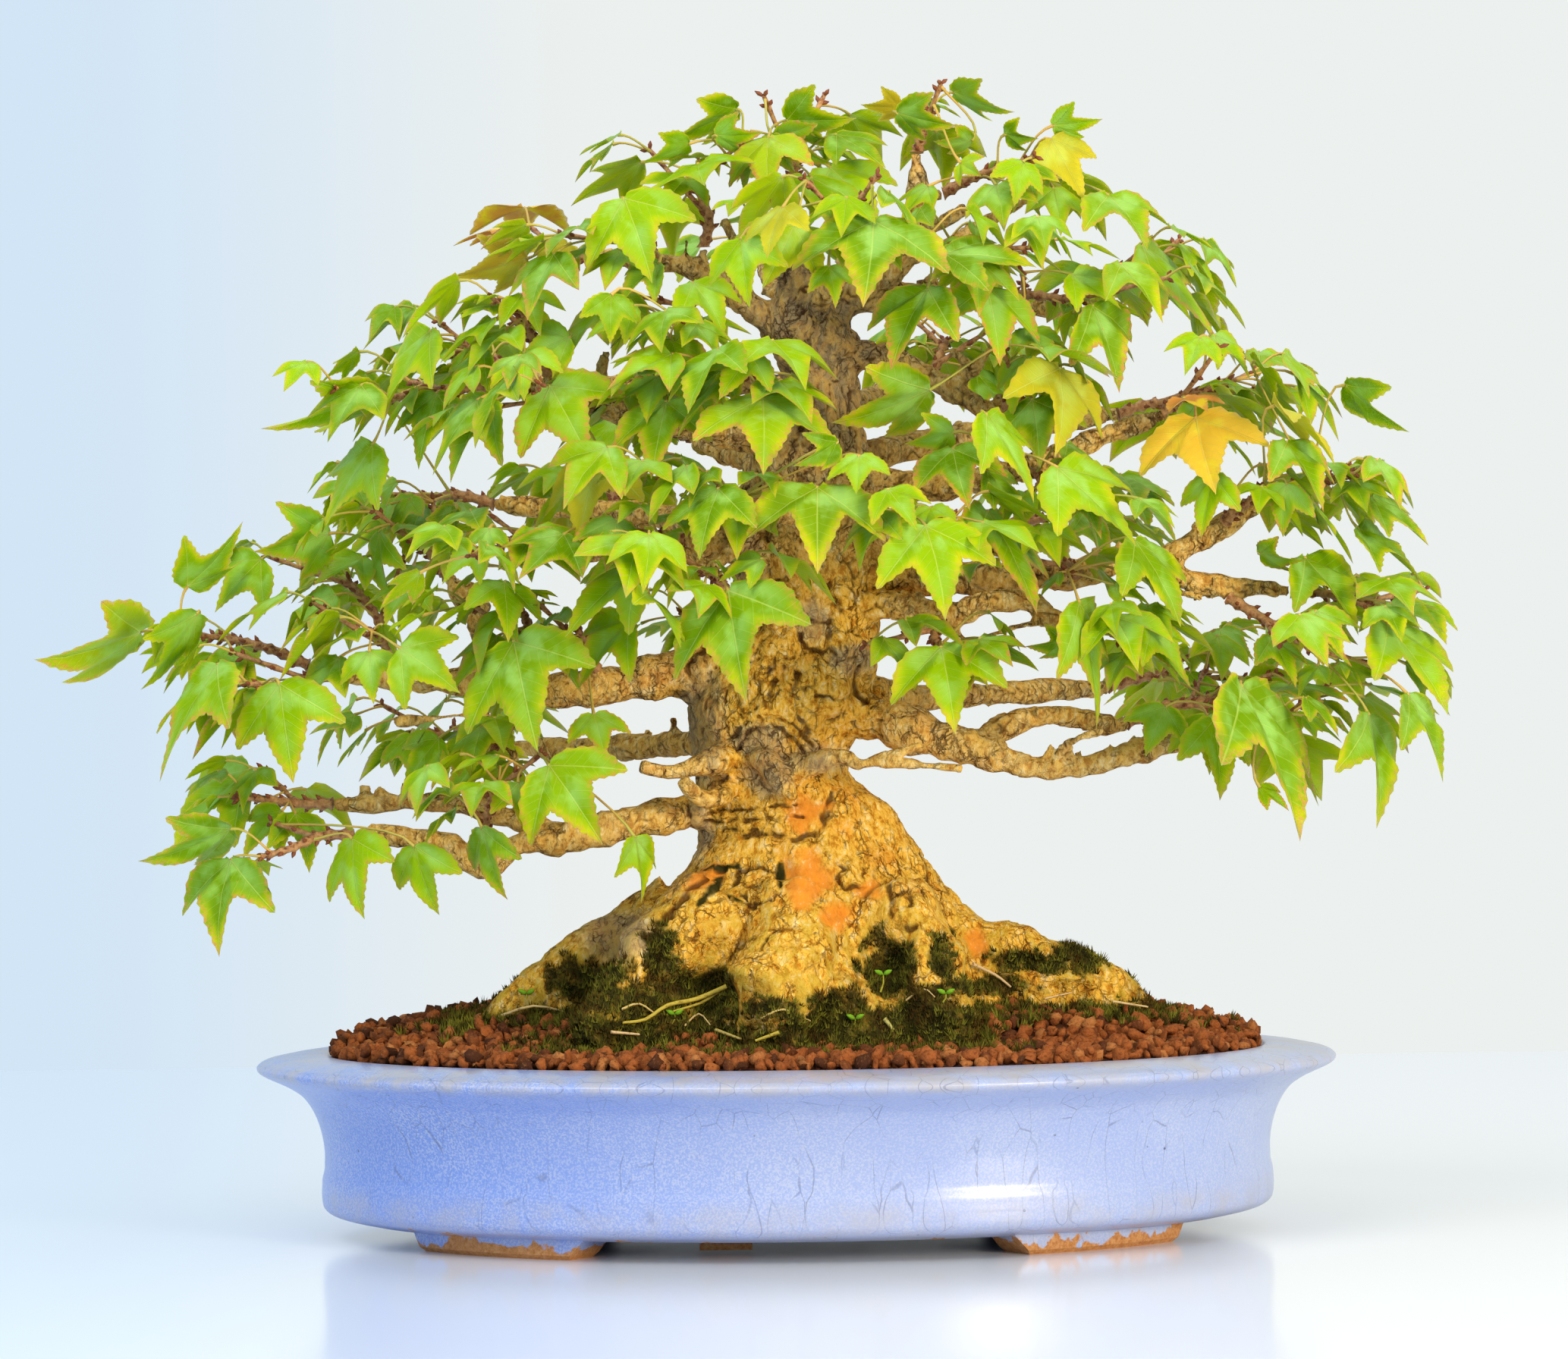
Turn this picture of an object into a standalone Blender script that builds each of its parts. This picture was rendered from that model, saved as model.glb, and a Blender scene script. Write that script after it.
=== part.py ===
"""Trident maple bonsai: an oval glazed pot, its soil, the tree, and one solid for each leafy spray.

The tables are in millimetres. Blender's units are metres, and +Z is up.
Limb, twig and leaf places in the tables are given as the front view shows them: x and z on the plane
through the trunk, with a depth y behind it, and seen() moves each one to its true place.
"""
import math
import random

import bmesh
import bpy
from mathutils import Matrix, Vector
from mathutils.bvhtree import BVHTree

MM = 0.001
GAP = 0.3

# Oval pot, measured from its middle
POT_X = 16.6
RIM_HALF_WIDTH = 190.5
RIM_HALF_DEPTH = 141.0
POT_STEPS = 36
# How far each ring lies inside the rim's outer edge, and its height, down the outside
POT_OUTSIDE = ((1.4, 62.4), (0.0, 60.8), (1.8, 58.6), (11.0, 54.2), (17.0, 49.6), (21.4, 41.5), (23.6, 30.0),
               (22.4, 15.5), (25.0, 9.6), (36.0, 6.5))
# The same from the rim's top down to the floor inside
POT_INSIDE = ((24.2, 65.3), (27.0, 62.5), (31.5, 44.0), (34.0, 19.0), (39.0, 14.0))
FLOOR = 14.0
FOOT_TOP = 7.2
FOOT_OUTER = (149.0, 109.0)
FOOT_INNER = (131.0, 91.0)
FOOT_SPAN = (26.0, 61.0)
FOOT_SLANT = 3.0
FOOT_STEPS = 5
NUB = (-25.0, -68.0, 9.0, 5.0)
DRAIN_X = 62.0
DRAIN_RADIUS = 13.0
SCREEN_CELLS = (0.0, 4.0, 15.5, 18.5, 30.0, 34.0)
SCREEN_THICK = 0.8

# Soil mound
SOIL_RINGS = (0.92, 0.82, 0.71, 0.59, 0.45, 0.27)
SOIL_EDGE = 64.2
MOUND_RISE = 19.0
MOUND_HALF_WIDTH = 168.0
MOUND_FRONT = 82.0
MOUND_BACK = 104.0
MOUND_MIDDLE_Y = 18.0
GRAIN_RELIEF = 0.9
HOLLOW_TOP = 104.0
ROOT_GAP = 0.5

# The front view's eye, for seen()
EYE = Vector((12.4, -2200.0, 213.0))

# Trunk sections: height, middle x and y, half width and half depth
TRUNK = ((50.0, 4.0, 0.0, 88.0, 64.0), (74.0, 4.0, 0.0, 79.0, 58.0), (90.0, 3.0, 0.0, 68.0, 52.0),
         (104.0, 1.0, 0.0, 60.0, 46.0), (116.0, 0.0, 0.0, 54.0, 42.0), (126.0, 5.0, 0.0, 45.0, 37.0),
         (136.0, 3.0, 0.0, 39.0, 33.0), (148.0, -0.5, 0.0, 34.5, 30.0), (162.0, -7.0, 0.0, 27.5, 27.0),
         (175.0, -6.0, -1.0, 28.5, 27.5), (187.0, -3.0, -2.0, 31.0, 29.0), (200.0, 0.0, -3.0, 31.0, 28.0),
         (213.0, 4.0, -4.0, 28.0, 26.0), (228.0, 7.0, -5.0, 27.0, 25.0), (245.0, 8.0, -6.0, 26.0, 24.0),
         (262.0, 7.0, -7.0, 23.0, 22.0), (276.0, 8.0, -8.0, 20.0, 19.0), (290.0, 10.5, -9.0, 15.5, 15.5),
         (302.0, 11.0, -9.0, 14.0, 14.0), (313.0, 9.0, -9.0, 17.0, 16.0), (322.0, 6.0, -9.0, 15.0, 14.0),
         (333.0, 5.0, -9.0, 9.0, 9.0), (346.0, 4.0, -10.0, 6.0, 6.0), (360.0, 2.0, -10.0, 3.6, 3.6))
TRUNK_SIDES = 28
TRUNK_VOXEL = 1.8
TRUNK_SHARE = 0.0058
ROOT_WEIGHT = 0.2
ROOT_DROPS = (0.0, 6.0, 12.0, 18.0, 24.0)

# Limbs and surface roots: x, z, depth and radius along each one
LIMBS = {
    "root_left": ((-40, 112, -4, 17), (-58, 103, -6, 13), (-74, 96, -8, 11), (-88, 88, -8, 10), (-100, 78, -8, 9),
                  (-110, 68, -6, 7)),
    "root_left_front": ((-30, 110, -26, 18), (-46, 98, -38, 14), (-60, 84, -48, 11), (-72, 70, -56, 9)),
    "root_front": ((4, 112, -30, 20), (-2, 96, -44, 16), (-6, 82, -54, 14), (-8, 69, -62, 12)),
    "root_front_right": ((34, 112, -26, 17), (44, 98, -38, 13), (50, 84, -48, 11), (58, 70, -56, 9)),
    "root_right": ((46, 110, -2, 15), (62, 99, -4, 11), (78, 97, -6, 10), (93, 92, -6, 9), (107, 87, -4, 8),
                   (118, 78, -2, 7), (126, 69, 0, 6)),
    "root_back_left": ((-30, 106, 24, 17), (-48, 94, 40, 13), (-64, 84, 54, 10), (-76, 74, 64, 8)),
    "root_back": ((6, 106, 30, 18), (12, 92, 48, 14), (16, 82, 62, 11), (18, 74, 74, 8)),
    "root_back_right": ((34, 106, 24, 17), (54, 94, 38, 13), (70, 84, 50, 10), (84, 75, 60, 8)),
    "left_main": ((-12, 196, -4, 13), (-34, 198, -6, 9.6), (-50, 196.5, -8, 7.8), (-65, 193.5, -10, 6.8),
                  (-80, 192, -12, 6.2), (-95, 193, -12, 5.6), (-115, 195.5, -10, 4.9), (-135, 196, -6, 4.3),
                  (-152, 199, -2, 3.8), (-166, 201, 2, 3.4)),
    "left_riser": ((-100, 194, -10, 4.4), (-107, 205, -4, 3.9), (-112, 218, 2, 3.5), (-118, 230, 6, 3.2)),
    "left_low": ((-14, 150, -6, 11), (-36, 148.5, -14, 7.0), (-55, 146, -20, 6.0), (-70, 142.5, -25, 5.4),
                 (-84, 139.5, -28, 5.0), (-97, 138.5, -30, 4.5), (-106, 132, -32, 4.1), (-113, 131, -33, 3.9),
                 (-121, 138.5, -32, 3.7), (-135, 141, -30, 3.5), (-150, 143, -28, 3.2)),
    "left_low_fork": ((-80, 141, -27, 4.8), (-92, 143.5, -22, 4.3), (-102, 148, -16, 4.1), (-113, 152, -10, 3.8),
                      (-128, 153.5, -6, 3.6), (-145, 153.5, -4, 3.4), (-158, 153, -2, 3.2)),
    "left_mid": ((0, 240, -12, 11), (-22, 243, -22, 6.5), (-40, 243, -30, 5.2), (-58, 243, -36, 4.4),
                 (-74, 240.5, -40, 3.6)),
    "left_back": ((-5, 250, 8, 10), (-28, 250, 24, 6), (-50, 254, 40, 4.8), (-75, 256, 55, 4), (-100, 258, 66, 3.3)),
    "left_upper": ((2, 284, -8, 9), (-16, 282, -12, 6.2), (-34, 285.5, -16, 5.2), (-52, 288, -20, 4.6),
                   (-68, 293, -22, 4.1), (-85, 299, -22, 3.7), (-102, 301, -20, 3.3)),
    "left_upper_back": ((5, 300, 0, 7), (-14, 300, 10, 4.8), (-40, 300, 22, 4.2), (-65, 300, 34, 3.7),
                        (-88, 303, 42, 3.3)),
    "left_shoulder": ((4, 318, -9, 9), (-10, 325, -13, 5.8), (-22, 335, -16, 4.8), (-36, 342, -18, 4.2),
                      (-50, 344, -18, 3.7), (-64, 345, -16, 3.3)),
    "right_crown": ((8, 320, -9, 9), (22, 330, -11, 6.2), (36, 339, -12, 5.4), (44, 350, -12, 4.8),
                    (47, 364, -12, 4.0), (46, 376, -11, 3.4)),
    "right_shoulder": ((24, 331, -11, 5.6), (46, 330, -4, 4.4), (70, 328, 2, 3.8), (95, 325, 4, 3.3)),
    "right_upper": ((12, 306, -9, 9), (27, 309, -14, 4.8), (40, 307, -18, 4.3), (52, 300, -21, 4.0),
                    (63, 294, -22, 3.7), (73, 287, -22, 3.4)),
    "right_third": ((12, 266, -8, 12), (34, 264, -14, 6), (52, 263, -18, 5), (70, 265, -20, 4.5),
                    (85, 270, -20, 4.2), (100, 276, -18, 4.0), (115, 281, -16, 3.7), (128, 286, -14, 3.3)),
    "right_main": ((10, 236, -8, 14), (35, 234, -12, 9.5), (52, 231, -15, 7.2), (68, 230, -17, 6.0),
                   (85, 231, -18, 5.2), (102, 231.5, -18, 4.8), (117, 236, -17, 4.8), (128, 233, -15, 4.5),
                   (142, 228, -12, 4.4), (156, 226, -9, 4.6), (172, 225, -6, 3.4)),
    "right_riser": ((126, 234, -15, 4.4), (140, 240, -10, 4.0), (152, 247, -6, 3.8), (166, 256, -2, 3.4)),
    "right_second": ((12, 222, -10, 10), (34, 221, -22, 6), (48, 218, -28, 5), (58, 217, -31, 4.8),
                     (68, 221, -33, 4.0), (82, 222, -34, 3.6), (94, 216, -34, 3.3)),
    "right_low": ((5, 186, -6, 14), (28, 182, -14, 8.5), (44, 176, -19, 7.2), (58, 172, -22, 7.0),
                  (66, 169, -23, 6.8), (76, 165.5, -24, 4.8), (90, 163, -24, 4.3), (104, 164, -22, 4.3),
                  (118, 167, -20, 4.5), (130, 169.5, -17, 3.8), (142, 171, -14, 3.4)),
    "right_low_fork": ((66, 171, -22, 5), (80, 180, -14, 3.7), (98, 181, -8, 3.4), (114, 177, -4, 3.2)),
    "front_mid": ((8, 252, -8, 12), (6, 252, -32, 5.2), (0, 254, -50, 4.2), (-8, 256, -62, 3.4)),
    "front_low": ((4, 216, -8, 12), (-6, 219, -34, 5.2), (-14, 222, -52, 4.2), (-22, 226, -66, 3.4)),
    "front_right": ((16, 246, -8, 10), (28, 246, -30, 4.8), (38, 246, -46, 4.0), (48, 246, -58, 3.3)),
    "front_upper": ((10, 290, -9, 9), (6, 291, -28, 4.6), (0, 294, -44, 3.8), (-6, 298, -56, 3.2)),
    "front_crown": ((9, 320, -9, 9), (12, 328, -26, 4.6), (18, 336, -38, 3.8), (24, 344, -48, 3.2)),
    "back_low": ((5, 210, 6, 14), (8, 212, 34, 7), (4, 211, 58, 5.5), (-6, 210, 82, 4.5), (-14, 209, 96, 3.6)),
    "back_right": ((8, 243, 0, 12), (24, 246, 28, 6.4), (38, 246, 52, 5), (54, 247, 74, 4.2), (68, 248, 92, 3.4)),
    "back_left": ((0, 262, 2, 11), (-12, 272, 30, 5.6), (-22, 276, 54, 4.6), (-32, 280, 76, 3.6)),
    "back_upper": ((10, 288, -5, 9), (24, 292, 22, 5), (34, 296, 46, 4.2), (44, 300, 66, 3.4)),
    "back_crown": ((6, 318, -6, 9), (0, 328, 18, 4.8), (-4, 336, 38, 3.9), (-8, 340, 54, 3.3)),
    "back_low_right": ((10, 190, 4, 14), (34, 189, 28, 6.6), (60, 189, 48, 5), (86, 190, 66, 4.2),
                       (108, 191, 80, 3.4)),
    "back_low_left": ((-6, 178, 4, 14), (-30, 174, 30, 6.2), (-54, 172, 50, 4.8), (-78, 172, 68, 4.0),
                      (-98, 172, 80, 3.4)),
    "back_third_right": ((12, 268, -2, 10), (38, 276, 14, 5.4), (64, 280, 28, 4.4), (90, 284, 42, 3.8),
                         (112, 287, 54, 3.3)),
}

# Each spray: the limb that carries it, how far along, the far end of its twig, side twigs and filling leaves
SPRAYS = {
    "left_low_tip": ("left_low", 1.0, (-188, 135, -32), 1, 1),
    "left_low_fork_tip": ("left_low_fork", 1.0, (-196, 156, 4), 2, 2),
    "left_low_front": ("left_low", 0.66, (-104, 160, -46), 2, 0),
    "left_low_riser": ("left_low_fork", 0.42, (-108, 184, -6), 2, 2),
    "left_main_tip": ("left_main", 1.0, (-204, 213, 6), 2, 2),
    "left_main_front": ("left_main", 0.88, (-192, 196, -34), 1, 0),
    "left_main_star": ("left_main", 0.74, (-148, 214, -34), 1, 0),
    "left_main_rise": ("left_main", 0.8, (-156, 232, 24), 2, 1),
    "left_riser_tip": ("left_riser", 1.0, (-134, 246, 14), 2, 2),
    "left_main_inner": ("left_main", 0.5, (-96, 222, -44), 1, 1),
    "left_main_near": ("left_main", 0.34, (-76, 214, -36), 1, 0),
    "left_mid_tip": ("left_mid", 1.0, (-104, 243, -50), 2, 1),
    "left_mid_front": ("left_mid", 0.45, (-46, 246, -62), 1, 1),
    "left_back_tip": ("left_back", 1.0, (-136, 262, 74), 3, 6),
    "left_back_inner": ("left_back", 0.6, (-62, 264, 82), 2, 5),
    "left_upper_tip": ("left_upper", 1.0, (-140, 296, -14), 2, 1),
    "left_upper_front": ("left_upper", 0.62, (-92, 298, -52), 2, 0),
    "left_upper_rise": ("left_upper", 0.8, (-94, 327, -44), 1, 1),
    "left_upper_inner": ("left_upper", 0.3, (-46, 298, -48), 1, 0),
    "left_upper_back_tip": ("left_upper_back", 1.0, (-118, 312, 58), 3, 6),
    "left_shoulder_tip": ("left_shoulder", 1.0, (-92, 350, -12), 2, 2),
    "left_shoulder_front": ("left_shoulder", 0.7, (-58, 352, -46), 1, 0),
    "left_shoulder_rise": ("left_shoulder", 0.5, (-30, 374, -20), 2, 1),
    "left_shoulder_low": ("left_shoulder", 0.4, (-44, 322, -48), 2, 0),
    "crown_top": ("trunk", 1.0, (4, 384, -12), 2, 2),
    "crown_front": ("front_crown", 1.0, (22, 360, -66), 2, 0),
    "front_upper_tip": ("front_upper", 1.0, (-14, 304, -74), 1, 1),
    "crown_right_top": ("right_crown", 1.0, (48, 396, -10), 2, 1),
    "crown_right_side": ("right_crown", 0.8, (84, 374, -14), 2, 1),
    "crown_right_front": ("right_crown", 0.55, (66, 346, -50), 2, 0),
    "right_shoulder_tip": ("right_shoulder", 1.0, (128, 338, 4), 2, 3),
    "right_shoulder_front": ("right_shoulder", 0.62, (104, 328, -40), 2, 0),
    "right_upper_tip": ("right_upper", 1.0, (92, 300, -46), 1, 0),
    "right_third_tip": ("right_third", 1.0, (150, 296, -20), 2, 1),
    "right_third_front": ("right_third", 0.55, (88, 262, -56), 2, 0),
    "right_riser_tip": ("right_riser", 1.0, (198, 266, 2), 3, 4),
    "right_riser_front": ("right_riser", 0.6, (168, 262, -32), 1, 0),
    "right_main_tip": ("right_main", 1.0, (206, 220, -8), 2, 2),
    "right_main_low": ("right_main", 0.84, (186, 202, -30), 2, 1),
    "right_main_front": ("right_main", 0.5, (98, 232, -52), 1, 0),
    "right_second_tip": ("right_second", 1.0, (118, 206, -46), 1, 1),
    "right_second_front": ("right_second", 0.4, (54, 206, -58), 1, 0),
    "right_low_tip": ("right_low", 1.0, (176, 180, -22), 2, 2),
    "right_low_fork_tip": ("right_low_fork", 1.0, (150, 188, 12), 3, 4),
    "front_mid_tip": ("front_mid", 1.0, (-26, 262, -84), 1, 0),
    "front_right_tip": ("front_right", 1.0, (58, 252, -80), 1, 1),
    "front_low_tip": ("front_low", 1.0, (-30, 234, -84), 1, 0),
    "back_low_tip": ("back_low", 1.0, (-26, 208, 124), 3, 8),
    "back_right_tip": ("back_right", 1.0, (96, 252, 112), 3, 8),
    "back_left_tip": ("back_left", 1.0, (-54, 292, 104), 3, 8),
    "back_upper_tip": ("back_upper", 1.0, (56, 314, 98), 3, 8),
    "back_crown_tip": ("back_crown", 1.0, (-12, 358, 84), 3, 8),
    "back_low_right_tip": ("back_low_right", 1.0, (146, 194, 100), 3, 8),
    "back_low_left_tip": ("back_low_left", 1.0, (-136, 176, 98), 3, 8),
    "back_third_right_tip": ("back_third_right", 1.0, (148, 292, 66), 3, 8),
}

# Leaves placed by hand. Each spray's depth, then for each leaf the x and z of its base, of its long tip and
# of its two side tips
HAND_LEAVES = {
    "left_main_tip": (-6, ((-230, 215, -261, 199, -254, 199, -237, 227), (-213, 231, -189, 249, -206, 247, -190, 241),
                           (-210, 221, -225, 192, -222, 214, -212, 205))),
    "left_main_front": (-46, ((-203, 203, -228, 167, -236, 178, -207, 180), (-181, 196, -177, 162, -200, 181, -163, 190))),
    "left_main_rise": (4, ((-187, 240, -205, 224, -208, 238, -190, 222), (-163, 249, -187, 239, -184, 252, -178, 226),
                           (-161, 227, -180, 215, -178, 229, -168, 217))),
    "left_low_tip": (-36, ((-199, 134, -209, 104, -223, 120, -190, 122), (-199, 145, -229, 129, -216, 145, -210, 128),
                           (-156, 141, -156, 114, -168, 119, -144, 133), (-134, 138, -129, 113, -143, 117, -120, 123))),
    "left_low_fork_tip": (-8, ((-192, 166, -224, 142, -216, 166, -200, 150), (-181, 151, -197, 137, -195, 149, -182, 137),
                               (-176, 150, -168, 132, -180, 140, -160, 139))),
    "left_low_front": (-62, ((-86, 166, -67, 141, -91, 141, -58, 165), (-97, 160, -92, 143, -104, 150, -84, 150),
                             (-56, 140, -50, 118, -61, 128, -47, 130), (-110, 144, -106, 118, -119, 127, -103, 132))),
    "left_low_riser": (-16, ((-108, 171, -122, 157, -126, 169, -100, 158), (-125, 176, -140, 160, -136, 174, -121, 161))),
    "left_main_inner": (-56, ((-98, 210, -91, 175, -119, 185, -75, 207), (-101, 231, -99, 213, -115, 225, -89, 220))),
    "left_main_near": (-46, ((-57, 217, -79, 198, -74, 220, -58, 205), (-70, 184, -66, 170, -79, 177, -58, 180))),
    "left_main_star": (-46, ((-149, 207, -148, 190, -161, 199, -139, 202), (-138, 208, -117, 194, -141, 193, -123, 217))),
    "left_riser_tip": (6, ((-145, 249, -146, 222, -153, 230, -142, 232), (-134, 231, -145, 219, -146, 230, -123, 229),
                           (-118, 257, -126, 241, -124, 252, -117, 245))),
    "left_mid_tip": (-54, ((-110, 243, -124, 234, -122, 244, -108, 234), (-106, 250, -108, 238, -114, 246, -99, 245),
                           (-53, 236, -83, 217, -78, 236, -62, 220))),
    "left_back_tip": (50, ((-130, 258, -160, 243, -157, 255, -138, 243), (-150, 300, -168, 290, -166, 300, -152, 289))),
    "left_upper_tip": (-18, ((-126, 320, -147, 291, -146, 314, -127, 306), (-124, 298, -133, 273, -143, 290, -117, 288),
                             (-146, 299, -183, 280, -161, 303, -163, 287), (-147, 280, -168, 251, -165, 273, -146, 263))),
    "left_upper_front": (-58, ((-84, 300, -70, 276, -100, 281, -65, 302), (-104, 295, -125, 271, -123, 292, -105, 280),
                               (-67, 275, -76, 246, -88, 263, -54, 267))),
    "left_upper_rise": (-44, ((-107, 313, -122, 296, -125, 307, -111, 300), (-93, 312, -93, 298, -110, 303, -86, 309),
                              (-77, 317, -96, 312, -92, 324, -84, 306))),
    "left_upper_inner": (-60, ((-43, 294, -48, 270, -60, 286, -27, 288), (-46, 303, -50, 289, -60, 296, -34, 298),
                               (-22, 307, -36, 292, -34, 304, -14, 296))),
    "left_shoulder_tip": (-22, ((-92, 345, -118, 337, -108, 350, -104, 332), (-77, 350, -92, 338, -92, 350, -76, 338),
                                (-62, 371, -84, 362, -76, 376, -72, 362))),
    "left_shoulder_front": (-58, ((-57, 366, -46, 338, -75, 351, -39, 367), (-45, 343, -62, 331, -58, 342, -47, 331))),
    "left_shoulder_rise": (-26, ((-17, 397, -39, 384, -29, 400, -27, 386), (-34, 385, -50, 377, -44, 386, -42, 375),
                                 (-24, 388, -8, 386, -17, 392, -15, 380))),
    "left_shoulder_low": (-62, ((-33, 336, -19, 320, -46, 327, -24, 335), (-41, 316, -34, 299, -52, 302, -32, 307),
                                (-54, 328, -72, 318, -68, 328, -58, 316), (-62, 332, -63, 315, -72, 324, -53, 322))),
    "front_upper_tip": (-88, ((-9, 295, -7, 273, -29, 291, 18, 290), (-13, 310, -24, 297, -27, 305, -4, 299))),
    "crown_top": (-22, ((1, 393, 24, 391, 11, 401, 17, 382), (-4, 387, 16, 375, 8, 390, 0, 374),
                        (16, 376, 33, 359, 8, 360, 37, 372), (-4, 378, -20, 372, -17, 381, -14, 368))),
    "crown_front": (-78, ((31, 357, 30, 331, 4, 350, 56, 349), (3, 356, -7, 334, -16, 349, 12, 335),
                          (-1, 362, -9, 346, -16, 357, 5, 360), (-16, 351, -14, 328, -33, 334, -7, 340),
                          (15, 341, 19, 327, 12, 333, 28, 335))),
    "crown_right_top": (-16, ((60, 402, 79, 391, 67, 405, 72, 394), (41, 397, 27, 397, 34, 403, 33, 393),
                              (40, 395, 60, 388, 51, 397, 49, 383), (66, 385, 53, 382, 60, 388, 58, 379),
                              (62, 377, 68, 372, 70, 380, 62, 370))),
    "crown_right_side": (-22, ((94, 385, 107, 364, 88, 370, 109, 381), (114, 365, 130, 349, 103, 366, 133, 366),
                               (78, 387, 88, 384, 82, 391, 85, 380), (95, 390, 112, 390, 104, 394, 108, 383),
                               (84, 377, 80, 362, 76, 372, 94, 366))),
    "crown_right_front": (-64, ((71, 333, 75, 309, 56, 331, 90, 325), (50, 333, 33, 308, 28, 323, 57, 319),
                                (56, 345, 88, 345, 70, 352, 66, 334))),
    "right_shoulder_tip": (-6, ((100, 355, 132, 329, 108, 360, 111, 342), (126, 347, 157, 314, 148, 317, 165, 329))),
    "right_shoulder_front": (-54, ((108, 326, 121, 297, 101, 307, 125, 317), (101, 337, 118, 326, 104, 326, 118, 338),
                                   (86, 318, 93, 306, 80, 313, 99, 314))),
    "right_upper_tip": (-62, ((96, 304, 100, 276, 82, 296, 114, 281), (50, 297, 18, 281, 33, 308, 41, 284),
                              (84, 308, 76, 288, 71, 302, 87, 300))),
    "right_third_tip": (-34, ((144, 286, 145, 262, 122, 273, 165, 280), (140, 293, 148, 291, 130, 292, 149, 296),
                              (150, 266, 144, 244, 143, 256, 161, 254), (151, 315, 166, 302, 153, 306, 164, 312))),
    "right_third_front": (-72, ((95, 269, 123, 244, 102, 250, 130, 267), (70, 288, 91, 260, 74, 272, 92, 278),
                                (58, 276, 60, 257, 42, 269, 73, 275), (58, 282, 42, 276, 46, 288, 50, 272),
                                (70, 268, 86, 254, 72, 257, 82, 267))),
    "right_riser_tip": (-10, ((197, 297, 215, 277, 207, 297, 203, 285), (206, 257, 227, 242, 222, 252, 212, 244),
                              (201, 246, 226, 230, 222, 240, 211, 232), (165, 306, 180, 294, 169, 308, 176, 298))),
    "right_riser_front": (-44, ((176, 277, 191, 256, 175, 262, 200, 262), (172, 290, 196, 273, 186, 292, 196, 282),
                                (176, 262, 172, 244, 165, 254, 184, 250), (128, 304, 150, 300, 138, 310, 140, 296))),
    "right_main_tip": (-20, ((182, 236, 203, 214, 187, 223, 213, 229), (211, 212, 233, 185, 215, 191, 244, 192),
                             (166, 238, 180, 232, 170, 241, 176, 229))),
    "right_main_low": (-42, ((218, 187, 235, 160, 219, 177, 236, 180), (204, 180, 213, 143, 199, 165, 221, 160),
                             (170, 208, 178, 192, 164, 201, 183, 200))),
    "right_main_front": (-66, ((102, 221, 114, 178, 102, 197, 123, 202), (70, 254, 91, 221, 72, 240, 100, 231),
                               (122, 243, 141, 216, 126, 233, 148, 236))),
    "right_second_tip": (-60, ((96, 208, 84, 204, 92, 211, 91, 199), (127, 212, 140, 196, 124, 201, 142, 208))),
    "right_second_front": (-78, ((53, 206, 58, 180, 39, 186, 78, 192),)),
    "right_low_tip": (-38, ((159, 191, 186, 141, 164, 163, 201, 159), (149, 179, 153, 152, 138, 169, 165, 167),
                            (132, 184, 124, 168, 116, 180, 137, 172), (165, 155, 176, 148, 168, 150, 174, 156))),
    "front_right_tip": (-96, ((48, 249, 58, 219, 26, 241, 66, 248), (35, 262, 44, 250, 30, 256, 50, 262))),
    "front_mid_tip": (-98, ((10, 263, 9, 238, -15, 254, 31, 251), (-25, 263, -35, 240, -45, 257, -14, 258),
                            (17, 279, 3, 269, 8, 284, 14, 272), (25, 274, 24, 262, 14, 269, 35, 270))),
    "front_low_tip": (-100, ((-22, 227, -18, 191, -45, 208, 2, 225), (-50, 226, -36, 212, -46, 238, -30, 222),
                             (-10, 238, -26, 232, -20, 240, -14, 230))),
}

# Leaf outline for a leaf 1 long: along the long lobe and to the side of it, from base to tip
LEAF_OUTLINES = {"large": ((0.05, 0.23), (0.50, 0.60), (0.42, 0.23), (0.66, 0.19), (1.0, 0.0)),
                 "middle": ((0.06, 0.24), (0.50, 0.60), (0.47, 0.22), (1.0, 0.0)),
                 "small": ((0.50, 0.58), (0.47, 0.22), (1.0, 0.0))}
LEAF_SIZES = (35.0, 25.0)
SIDE_TIP = 0.60
LEAF_ARCH = 0.16
LEAF_CAMBER = 0.28
BLADE_THICK = 0.7
PETIOLE_RADIUS = 0.65
PETIOLE_BEND = 3.5
PETIOLE_END = 0.4

TWIG_RADIUS = (2.3, 1.2)
SIDE_TWIG_RADIUS = (1.2, 0.8)
TWIG_WOBBLE = 3.0
STUB_REACH = 4.6
STUB_RADIUS = 2.7
SEED = 1729
CLEARANCE = 0.5
LIMB_CLEARANCE = 1.2
FILL_TRIES = 26
HAND_SHIFTS = (0, -7, 7, -14, 14, -21, 21, -28, 28, 36)

# Outline of the whole crown that filling leaves keep inside
CROWN_MIDDLE_Z = 182.0
CROWN_HALF = (240.0, 146.0, 214.0)
BACK_LIMIT = 141.0
CROWN_FLOOR = 138.0
CROWN_HOLLOW = 78.0


def seen(x, z, y):
    """The true place of a point at depth y that the front view shows at x, z."""
    k = (y - EYE.y) / -EYE.y
    return Vector((EYE.x + (x + POT_X - EYE.x) * k, y, EYE.z + (z - EYE.z) * k))


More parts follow.
